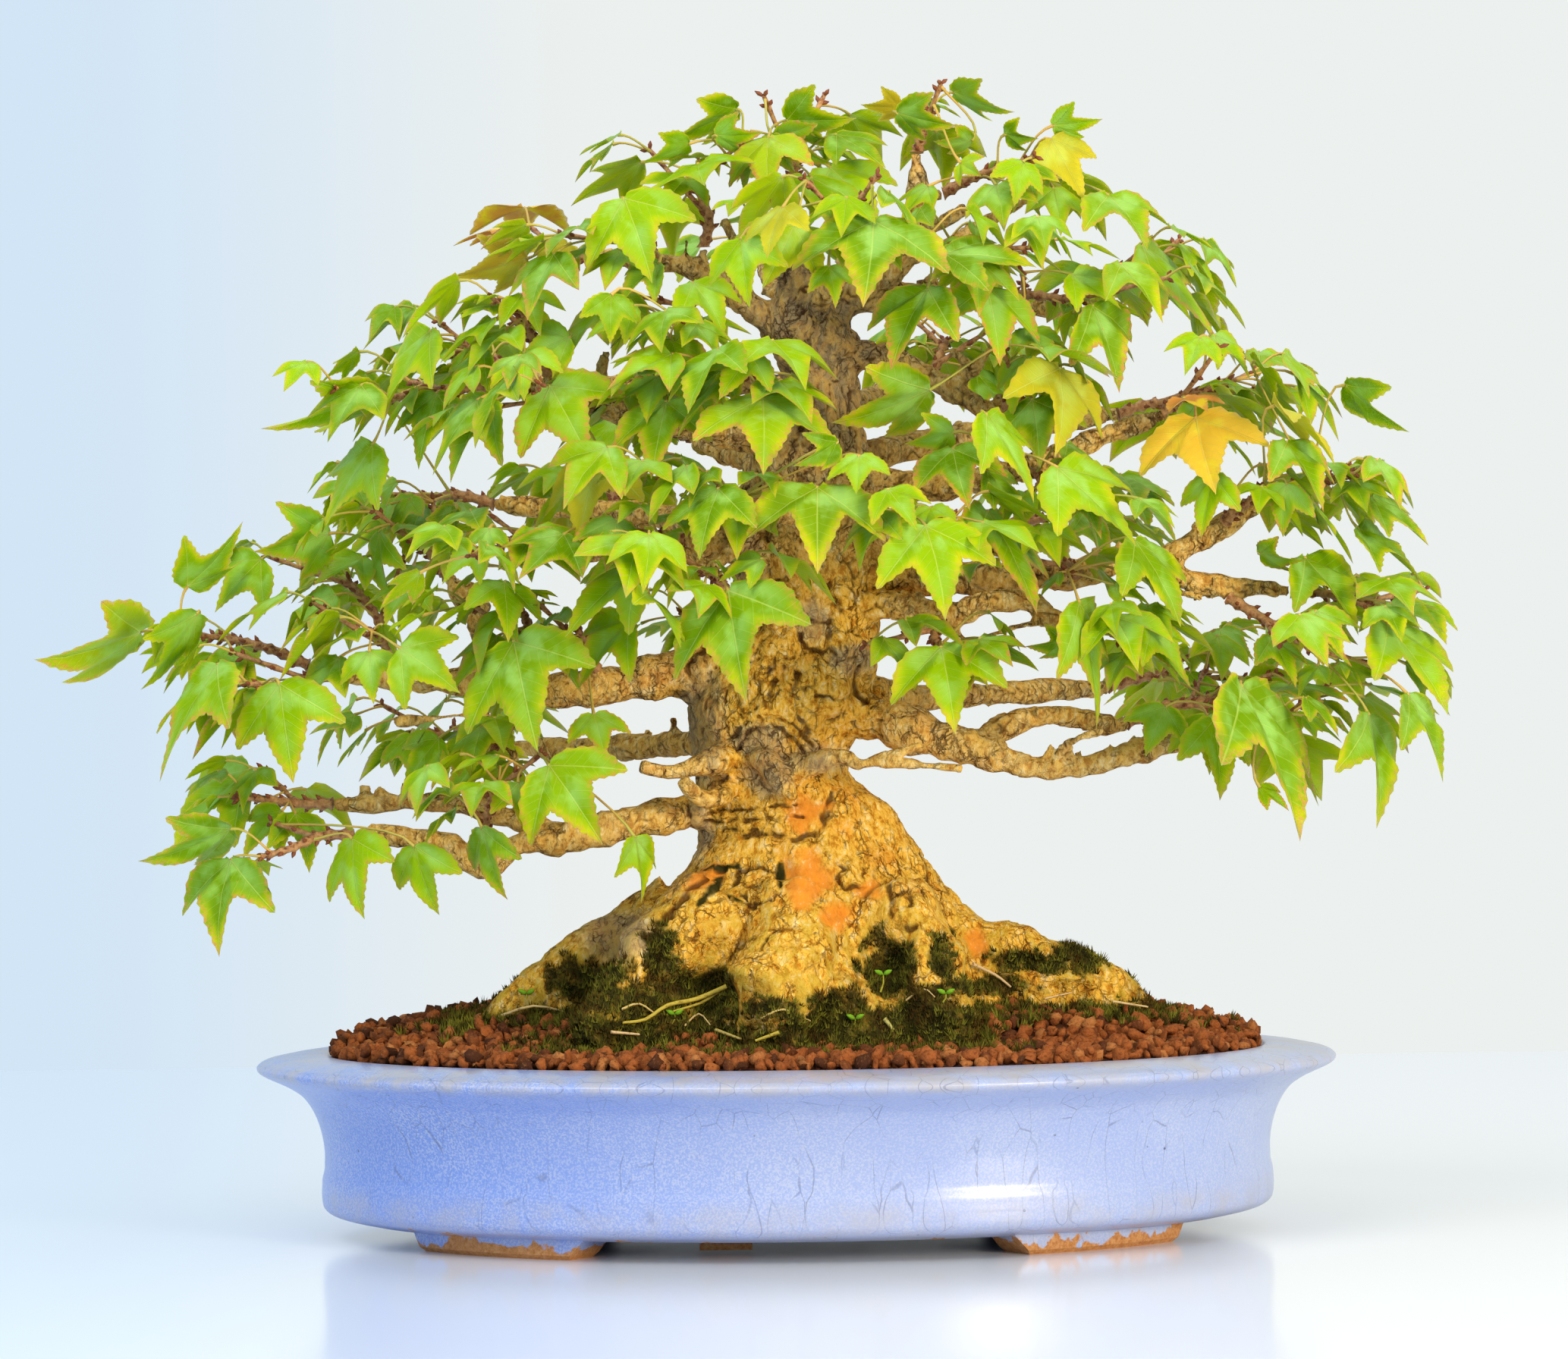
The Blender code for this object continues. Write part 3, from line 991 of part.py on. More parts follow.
def place_hand_leaf(name, depth, row, twigs, crown, leaves):
    """A leaf where the front view shows it, moved nearer or further until it is clear."""
    for shift in HAND_SHIFTS:
        pose = hand_pose(row, depth + shift)
        size = leaf_size(pose[1].length)
        back = -pose[1].normalized()
        places = sorted(feet_on(twigs[name]),
                        key=lambda p: (p - pose[0]).length * (1.6 - (p - pose[0]).normalized().dot(back)))
        for foot in places[:6]:
            if try_leaf(name, pose, foot, size, crown, leaves):
                return True
    return False


def place_fill_leaf(name, twig, crown, leaves, draw):
    """A leaf at a random place on the spray's twigs."""
    places = feet_on(twig)
    for _ in range(FILL_TRIES):
        foot = draw.choice(places)
        outward = Vector((foot.x - POT_X, foot.y * 1.4, 0.0))
        pose = grown_pose(foot, draw, outward)
        tip = pose[0] + pose[1]
        if not inside_crown((pose[0], tip)):
            continue
        if try_leaf(name, pose, foot, "small", crown, leaves):
            return True
    return False


def build_spray(name, twig, leaves):
    """One spray: its twigs, leaf stalks and leaves in one body."""
    points, radii = twig["main"]
    spray = add_mesh("spray_" + name, *tube(points, radii, 4, twig["way"]))
    parts = []
    for path in twig["side"]:
        parts.append(add_mesh("twig", *tube(path, list(SIDE_TWIG_RADIUS), 3)))
    for placed in leaves:
        parts.append(add_mesh("leaf", *leaf(*placed)[0]))
    if parts:
        combine(spray, parts)
    tidy_mesh(spray)
    paint(spray, "maple_leaf", (0.16, 0.38, 0.03), 0.5)
    return spray


def main():
    for obj in list(bpy.data.objects):
        bpy.data.objects.remove(obj)
    twigs, stubs, leaves, missing = place_everything()
    print("leaves placed", sum(len(rows) for rows in leaves.values()), "hand leaves without room", missing)
    build_pot()
    build_screens()
    trunk = build_trunk(stubs)
    build_soil(trunk)
    for name in SPRAYS:
        build_spray(name, twigs[name], leaves[name])


main()
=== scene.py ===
"""The looks of a trident maple bonsai in its oval glazed pot.

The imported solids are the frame, and finer pieces stand for them: the pot with its crackled glaze, the bark, the
leafy sprays, the soil's grains and the moss. The tables are in millimetres. Limb, twig and leaf places in them are
given as the front view shows them: x and z on the plane through the trunk, with a depth y behind it, and seen()
moves each one to its true place.
"""
import functools
import math
import random

import bmesh
import bpy
import numpy as np
from bpy.props import FloatProperty, FloatVectorProperty, IntProperty, PointerProperty
from mathutils import Matrix, Vector, noise
from mathutils.bvhtree import BVHTree


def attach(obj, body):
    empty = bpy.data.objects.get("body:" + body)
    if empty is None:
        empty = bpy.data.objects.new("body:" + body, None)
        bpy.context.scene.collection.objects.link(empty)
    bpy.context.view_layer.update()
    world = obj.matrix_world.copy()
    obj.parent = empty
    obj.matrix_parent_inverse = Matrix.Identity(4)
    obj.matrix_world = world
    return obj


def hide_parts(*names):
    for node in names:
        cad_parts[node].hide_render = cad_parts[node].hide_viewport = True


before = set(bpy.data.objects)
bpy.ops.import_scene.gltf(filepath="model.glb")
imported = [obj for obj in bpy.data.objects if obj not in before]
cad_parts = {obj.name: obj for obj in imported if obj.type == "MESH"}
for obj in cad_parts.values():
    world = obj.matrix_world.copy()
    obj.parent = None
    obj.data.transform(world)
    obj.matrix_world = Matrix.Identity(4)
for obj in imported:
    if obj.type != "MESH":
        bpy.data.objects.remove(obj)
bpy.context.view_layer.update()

bl_info = {
    "name": "Trident Maple Bonsai",
    "version": (1, 0, 0),
    "blender": (4, 5, 0),
    "location": "View3D > Sidebar > Bonsai",
    "description": "Dresses the solids of a bonsai with bark, leaves, glaze, soil and moss",
    "category": "Object",
}

MM = 0.001
GAP = 0.3

# Oval pot, measured from its middle
POT_X = 16.6
RIM_HALF_WIDTH = 190.5
RIM_HALF_DEPTH = 141.0
# How far each ring lies inside the rim's outer edge, and its height, down the outside
POT_OUTSIDE = ((1.4, 62.4), (0.0, 60.8), (1.8, 58.6), (11.0, 54.2), (17.0, 49.6), (21.4, 41.5), (23.6, 30.0),
               (22.4, 15.5), (25.0, 9.6), (36.0, 6.5))
# The same from the rim's top down to the floor inside
POT_INSIDE = ((24.2, 65.3), (27.0, 62.5), (31.5, 44.0), (34.0, 19.0), (39.0, 14.0))
# Rounded top of the lip, between the two
POT_LIP = ((3.0, 63.1), (9.0, 64.3), (16.0, 65.2), (21.5, 65.5))
FLOOR = 14.0
# Bracket feet: their top, the half width and depth of the ovals outside and inside them, where round the oval each
# one starts and stops in degrees, and how far its ends slant
FOOT_TOP = 7.2
FOOT_OUTER = (149.0, 109.0)
FOOT_INNER = (131.0, 91.0)
FOOT_SPAN = (26.0, 61.0)
FOOT_SLANT = 3.0
# Small nub under the front: middle x and y, half its width and half its depth
NUB = (-25.0, -68.0, 9.0, 5.0)
DRAIN_X = 62.0
DRAIN_RADIUS = 13.0

# Soil mound: its edge, how far the grains stand over it, its rise, half width and reach to the front and the back
SOIL_EDGE = 64.2
SOIL_OVER = 1.6
MOUND_RISE = 19.0
MOUND_HALF_WIDTH = 168.0
MOUND_FRONT = 82.0
MOUND_BACK = 104.0
MOUND_MIDDLE_Y = 18.0

# The front view's eye, for seen()
EYE = Vector((12.4, -2200.0, 213.0))

# Trunk sections: height, middle x and y, half width and half depth
TRUNK = ((50.0, 4.0, 0.0, 88.0, 64.0), (74.0, 4.0, 0.0, 79.0, 58.0), (90.0, 3.0, 0.0, 68.0, 52.0),
         (104.0, 1.0, 0.0, 60.0, 46.0), (116.0, 0.0, 0.0, 54.0, 42.0), (126.0, 5.0, 0.0, 45.0, 37.0),
         (136.0, 3.0, 0.0, 39.0, 33.0), (148.0, -0.5, 0.0, 34.5, 30.0), (162.0, -7.0, 0.0, 27.5, 27.0),
         (175.0, -6.0, -1.0, 28.5, 27.5), (187.0, -3.0, -2.0, 31.0, 29.0), (200.0, 0.0, -3.0, 31.0, 28.0),
         (213.0, 4.0, -4.0, 28.0, 26.0), (228.0, 7.0, -5.0, 27.0, 25.0), (245.0, 8.0, -6.0, 26.0, 24.0),
         (262.0, 7.0, -7.0, 23.0, 22.0), (276.0, 8.0, -8.0, 20.0, 19.0), (290.0, 10.5, -9.0, 15.5, 15.5),
         (302.0, 11.0, -9.0, 14.0, 14.0), (313.0, 9.0, -9.0, 17.0, 16.0), (322.0, 6.0, -9.0, 15.0, 14.0),
         (333.0, 5.0, -9.0, 9.0, 9.0), (346.0, 4.0, -10.0, 6.0, 6.0), (360.0, 2.0, -10.0, 3.6, 3.6))
ROOT_DROPS = (0.0, 6.0, 12.0, 18.0, 24.0)

# Limbs and surface roots: x, z, depth and radius along each one
LIMBS = {
    "root_left": ((-40, 112, -4, 17), (-58, 103, -6, 13), (-74, 96, -8, 11), (-88, 88, -8, 10), (-100, 78, -8, 9),
                  (-110, 68, -6, 7)),
    "root_left_front": ((-30, 110, -26, 18), (-46, 98, -38, 14), (-60, 84, -48, 11), (-72, 70, -56, 9)),
    "root_front": ((4, 112, -30, 20), (-2, 96, -44, 16), (-6, 82, -54, 14), (-8, 69, -62, 12)),
    "root_front_right": ((34, 112, -26, 17), (44, 98, -38, 13), (50, 84, -48, 11), (58, 70, -56, 9)),
    "root_right": ((46, 110, -2, 15), (62, 99, -4, 11), (78, 97, -6, 10), (93, 92, -6, 9), (107, 87, -4, 8),
                   (118, 78, -2, 7), (126, 69, 0, 6)),
    "root_back_left": ((-30, 106, 24, 17), (-48, 94, 40, 13), (-64, 84, 54, 10), (-76, 74, 64, 8)),
    "root_back": ((6, 106, 30, 18), (12, 92, 48, 14), (16, 82, 62, 11), (18, 74, 74, 8)),
    "root_back_right": ((34, 106, 24, 17), (54, 94, 38, 13), (70, 84, 50, 10), (84, 75, 60, 8)),
    "left_main": ((-12, 196, -4, 13), (-34, 198, -6, 9.6), (-50, 196.5, -8, 7.8), (-65, 193.5, -10, 6.8),
                  (-80, 192, -12, 6.2), (-95, 193, -12, 5.6), (-115, 195.5, -10, 4.9), (-135, 196, -6, 4.3),
                  (-152, 199, -2, 3.8), (-166, 201, 2, 3.4)),
    "left_riser": ((-100, 194, -10, 4.4), (-107, 205, -4, 3.9), (-112, 218, 2, 3.5), (-118, 230, 6, 3.2)),
    "left_low": ((-14, 150, -6, 11), (-36, 148.5, -14, 7.0), (-55, 146, -20, 6.0), (-70, 142.5, -25, 5.4),
                 (-84, 139.5, -28, 5.0), (-97, 138.5, -30, 4.5), (-106, 132, -32, 4.1), (-113, 131, -33, 3.9),
                 (-121, 138.5, -32, 3.7), (-135, 141, -30, 3.5), (-150, 143, -28, 3.2)),
    "left_low_fork": ((-80, 141, -27, 4.8), (-92, 143.5, -22, 4.3), (-102, 148, -16, 4.1), (-113, 152, -10, 3.8),
                      (-128, 153.5, -6, 3.6), (-145, 153.5, -4, 3.4), (-158, 153, -2, 3.2)),
    "left_mid": ((0, 240, -12, 11), (-22, 243, -22, 6.5), (-40, 243, -30, 5.2), (-58, 243, -36, 4.4),
                 (-74, 240.5, -40, 3.6)),
    "left_back": ((-5, 250, 8, 10), (-28, 250, 24, 6), (-50, 254, 40, 4.8), (-75, 256, 55, 4), (-100, 258, 66, 3.3)),
    "left_upper": ((2, 284, -8, 9), (-16, 282, -12, 6.2), (-34, 285.5, -16, 5.2), (-52, 288, -20, 4.6),
                   (-68, 293, -22, 4.1), (-85, 299, -22, 3.7), (-102, 301, -20, 3.3)),
    "left_upper_back": ((5, 300, 0, 7), (-14, 300, 10, 4.8), (-40, 300, 22, 4.2), (-65, 300, 34, 3.7),
                        (-88, 303, 42, 3.3)),
    "left_shoulder": ((4, 318, -9, 9), (-10, 325, -13, 5.8), (-22, 335, -16, 4.8), (-36, 342, -18, 4.2),
                      (-50, 344, -18, 3.7), (-64, 345, -16, 3.3)),
    "right_crown": ((8, 320, -9, 9), (22, 330, -11, 6.2), (36, 339, -12, 5.4), (44, 350, -12, 4.8),
                    (47, 364, -12, 4.0), (46, 376, -11, 3.4)),
    "right_shoulder": ((24, 331, -11, 5.6), (46, 330, -4, 4.4), (70, 328, 2, 3.8), (95, 325, 4, 3.3)),
    "right_upper": ((12, 306, -9, 9), (27, 309, -14, 4.8), (40, 307, -18, 4.3), (52, 300, -21, 4.0),
                    (63, 294, -22, 3.7), (73, 287, -22, 3.4)),
    "right_third": ((12, 266, -8, 12), (34, 264, -14, 6), (52, 263, -18, 5), (70, 265, -20, 4.5),
                    (85, 270, -20, 4.2), (100, 276, -18, 4.0), (115, 281, -16, 3.7), (128, 286, -14, 3.3)),
    "right_main": ((10, 236, -8, 14), (35, 234, -12, 9.5), (52, 231, -15, 7.2), (68, 230, -17, 6.0),
                   (85, 231, -18, 5.2), (102, 231.5, -18, 4.8), (117, 236, -17, 4.8), (128, 233, -15, 4.5),
                   (142, 228, -12, 4.4), (156, 226, -9, 4.6), (172, 225, -6, 3.4)),
    "right_riser": ((126, 234, -15, 4.4), (140, 240, -10, 4.0), (152, 247, -6, 3.8), (166, 256, -2, 3.4)),
    "right_second": ((12, 222, -10, 10), (34, 221, -22, 6), (48, 218, -28, 5), (58, 217, -31, 4.8),
                     (68, 221, -33, 4.0), (82, 222, -34, 3.6), (94, 216, -34, 3.3)),
    "right_low": ((5, 186, -6, 14), (28, 182, -14, 8.5), (44, 176, -19, 7.2), (58, 172, -22, 7.0),
                  (66, 169, -23, 6.8), (76, 165.5, -24, 4.8), (90, 163, -24, 4.3), (104, 164, -22, 4.3),
                  (118, 167, -20, 4.5), (130, 169.5, -17, 3.8), (142, 171, -14, 3.4)),
    "right_low_fork": ((66, 171, -22, 5), (80, 180, -14, 3.7), (98, 181, -8, 3.4), (114, 177, -4, 3.2)),
    "front_mid": ((8, 252, -8, 12), (6, 252, -32, 5.2), (0, 254, -50, 4.2), (-8, 256, -62, 3.4)),
    "front_low": ((4, 216, -8, 12), (-6, 219, -34, 5.2), (-14, 222, -52, 4.2), (-22, 226, -66, 3.4)),
    "front_right": ((16, 246, -8, 10), (28, 246, -30, 4.8), (38, 246, -46, 4.0), (48, 246, -58, 3.3)),
    "front_upper": ((10, 290, -9, 9), (6, 291, -28, 4.6), (0, 294, -44, 3.8), (-6, 298, -56, 3.2)),
    "front_crown": ((9, 320, -9, 9), (12, 328, -26, 4.6), (18, 336, -38, 3.8), (24, 344, -48, 3.2)),
    "back_low": ((5, 210, 6, 14), (8, 212, 34, 7), (4, 211, 58, 5.5), (-6, 210, 82, 4.5), (-14, 209, 96, 3.6)),
    "back_right": ((8, 243, 0, 12), (24, 246, 28, 6.4), (38, 246, 52, 5), (54, 247, 74, 4.2), (68, 248, 92, 3.4)),
    "back_left": ((0, 262, 2, 11), (-12, 272, 30, 5.6), (-22, 276, 54, 4.6), (-32, 280, 76, 3.6)),
    "back_upper": ((10, 288, -5, 9), (24, 292, 22, 5), (34, 296, 46, 4.2), (44, 300, 66, 3.4)),
    "back_crown": ((6, 318, -6, 9), (0, 328, 18, 4.8), (-4, 336, 38, 3.9), (-8, 340, 54, 3.3)),
    "back_low_right": ((10, 190, 4, 14), (34, 189, 28, 6.6), (60, 189, 48, 5), (86, 190, 66, 4.2),
                       (108, 191, 80, 3.4)),
    "back_low_left": ((-6, 178, 4, 14), (-30, 174, 30, 6.2), (-54, 172, 50, 4.8), (-78, 172, 68, 4.0),
                      (-98, 172, 80, 3.4)),
    "back_third_right": ((12, 268, -2, 10), (38, 276, 14, 5.4), (64, 280, 28, 4.4), (90, 284, 42, 3.8),
                         (112, 287, 54, 3.3)),
}

# Each spray: the limb that carries it, how far along, the far end of its twig, side twigs and filling leaves
SPRAYS = {
    "left_low_tip": ("left_low", 1.0, (-188, 135, -32), 1, 1),
    "left_low_fork_tip": ("left_low_fork", 1.0, (-196, 156, 4), 2, 2),
    "left_low_front": ("left_low", 0.66, (-104, 160, -46), 2, 0),
    "left_low_riser": ("left_low_fork", 0.42, (-108, 184, -6), 2, 2),
    "left_main_tip": ("left_main", 1.0, (-204, 213, 6), 2, 2),
    "left_main_front": ("left_main", 0.88, (-192, 196, -34), 1, 0),
    "left_main_star": ("left_main", 0.74, (-148, 214, -34), 1, 0),
    "left_main_rise": ("left_main", 0.8, (-156, 232, 24), 2, 1),
    "left_riser_tip": ("left_riser", 1.0, (-134, 246, 14), 2, 2),
    "left_main_inner": ("left_main", 0.5, (-96, 222, -44), 1, 1),
    "left_main_near": ("left_main", 0.34, (-76, 214, -36), 1, 0),
    "left_mid_tip": ("left_mid", 1.0, (-104, 243, -50), 2, 1),
    "left_mid_front": ("left_mid", 0.45, (-46, 246, -62), 1, 1),
    "left_back_tip": ("left_back", 1.0, (-136, 262, 74), 3, 6),
    "left_back_inner": ("left_back", 0.6, (-62, 264, 82), 2, 5),
    "left_upper_tip": ("left_upper", 1.0, (-140, 296, -14), 2, 1),
    "left_upper_front": ("left_upper", 0.62, (-92, 298, -52), 2, 0),
    "left_upper_rise": ("left_upper", 0.8, (-94, 327, -44), 1, 1),
    "left_upper_inner": ("left_upper", 0.3, (-46, 298, -48), 1, 0),
    "left_upper_back_tip": ("left_upper_back", 1.0, (-118, 312, 58), 3, 6),
    "left_shoulder_tip": ("left_shoulder", 1.0, (-92, 350, -12), 2, 2),
    "left_shoulder_front": ("left_shoulder", 0.7, (-58, 352, -46), 1, 0),
    "left_shoulder_rise": ("left_shoulder", 0.5, (-30, 374, -20), 2, 1),
    "left_shoulder_low": ("left_shoulder", 0.4, (-44, 322, -48), 2, 0),
    "crown_top": ("trunk", 1.0, (4, 384, -12), 2, 2),
    "crown_front": ("front_crown", 1.0, (22, 360, -66), 2, 0),
    "front_upper_tip": ("front_upper", 1.0, (-14, 304, -74), 1, 1),
    "crown_right_top": ("right_crown", 1.0, (48, 396, -10), 2, 1),
    "crown_right_side": ("right_crown", 0.8, (84, 374, -14), 2, 1),
    "crown_right_front": ("right_crown", 0.55, (66, 346, -50), 2, 0),
    "right_shoulder_tip": ("right_shoulder", 1.0, (128, 338, 4), 2, 3),
    "right_shoulder_front": ("right_shoulder", 0.62, (104, 328, -40), 2, 0),
    "right_upper_tip": ("right_upper", 1.0, (92, 300, -46), 1, 0),
    "right_third_tip": ("right_third", 1.0, (150, 296, -20), 2, 1),
    "right_third_front": ("right_third", 0.55, (88, 262, -56), 2, 0),
    "right_riser_tip": ("right_riser", 1.0, (198, 266, 2), 3, 4),
    "right_riser_front": ("right_riser", 0.6, (168, 262, -32), 1, 0),
    "right_main_tip": ("right_main", 1.0, (206, 220, -8), 2, 2),
    "right_main_low": ("right_main", 0.84, (186, 202, -30), 2, 1),
    "right_main_front": ("right_main", 0.5, (98, 232, -52), 1, 0),
    "right_second_tip": ("right_second", 1.0, (118, 206, -46), 1, 1),
    "right_second_front": ("right_second", 0.4, (54, 206, -58), 1, 0),
    "right_low_tip": ("right_low", 1.0, (176, 180, -22), 2, 2),
    "right_low_fork_tip": ("right_low_fork", 1.0, (150, 188, 12), 3, 4),
    "front_mid_tip": ("front_mid", 1.0, (-26, 262, -84), 1, 0),
    "front_right_tip": ("front_right", 1.0, (58, 252, -80), 1, 1),
    "front_low_tip": ("front_low", 1.0, (-30, 234, -84), 1, 0),
    "back_low_tip": ("back_low", 1.0, (-26, 208, 124), 3, 8),
    "back_right_tip": ("back_right", 1.0, (96, 252, 112), 3, 8),
    "back_left_tip": ("back_left", 1.0, (-54, 292, 104), 3, 8),
    "back_upper_tip": ("back_upper", 1.0, (56, 314, 98), 3, 8),
    "back_crown_tip": ("back_crown", 1.0, (-12, 358, 84), 3, 8),
    "back_low_right_tip": ("back_low_right", 1.0, (146, 194, 100), 3, 8),
    "back_low_left_tip": ("back_low_left", 1.0, (-136, 176, 98), 3, 8),
    "back_third_right_tip": ("back_third_right", 1.0, (148, 292, 66), 3, 8),
}

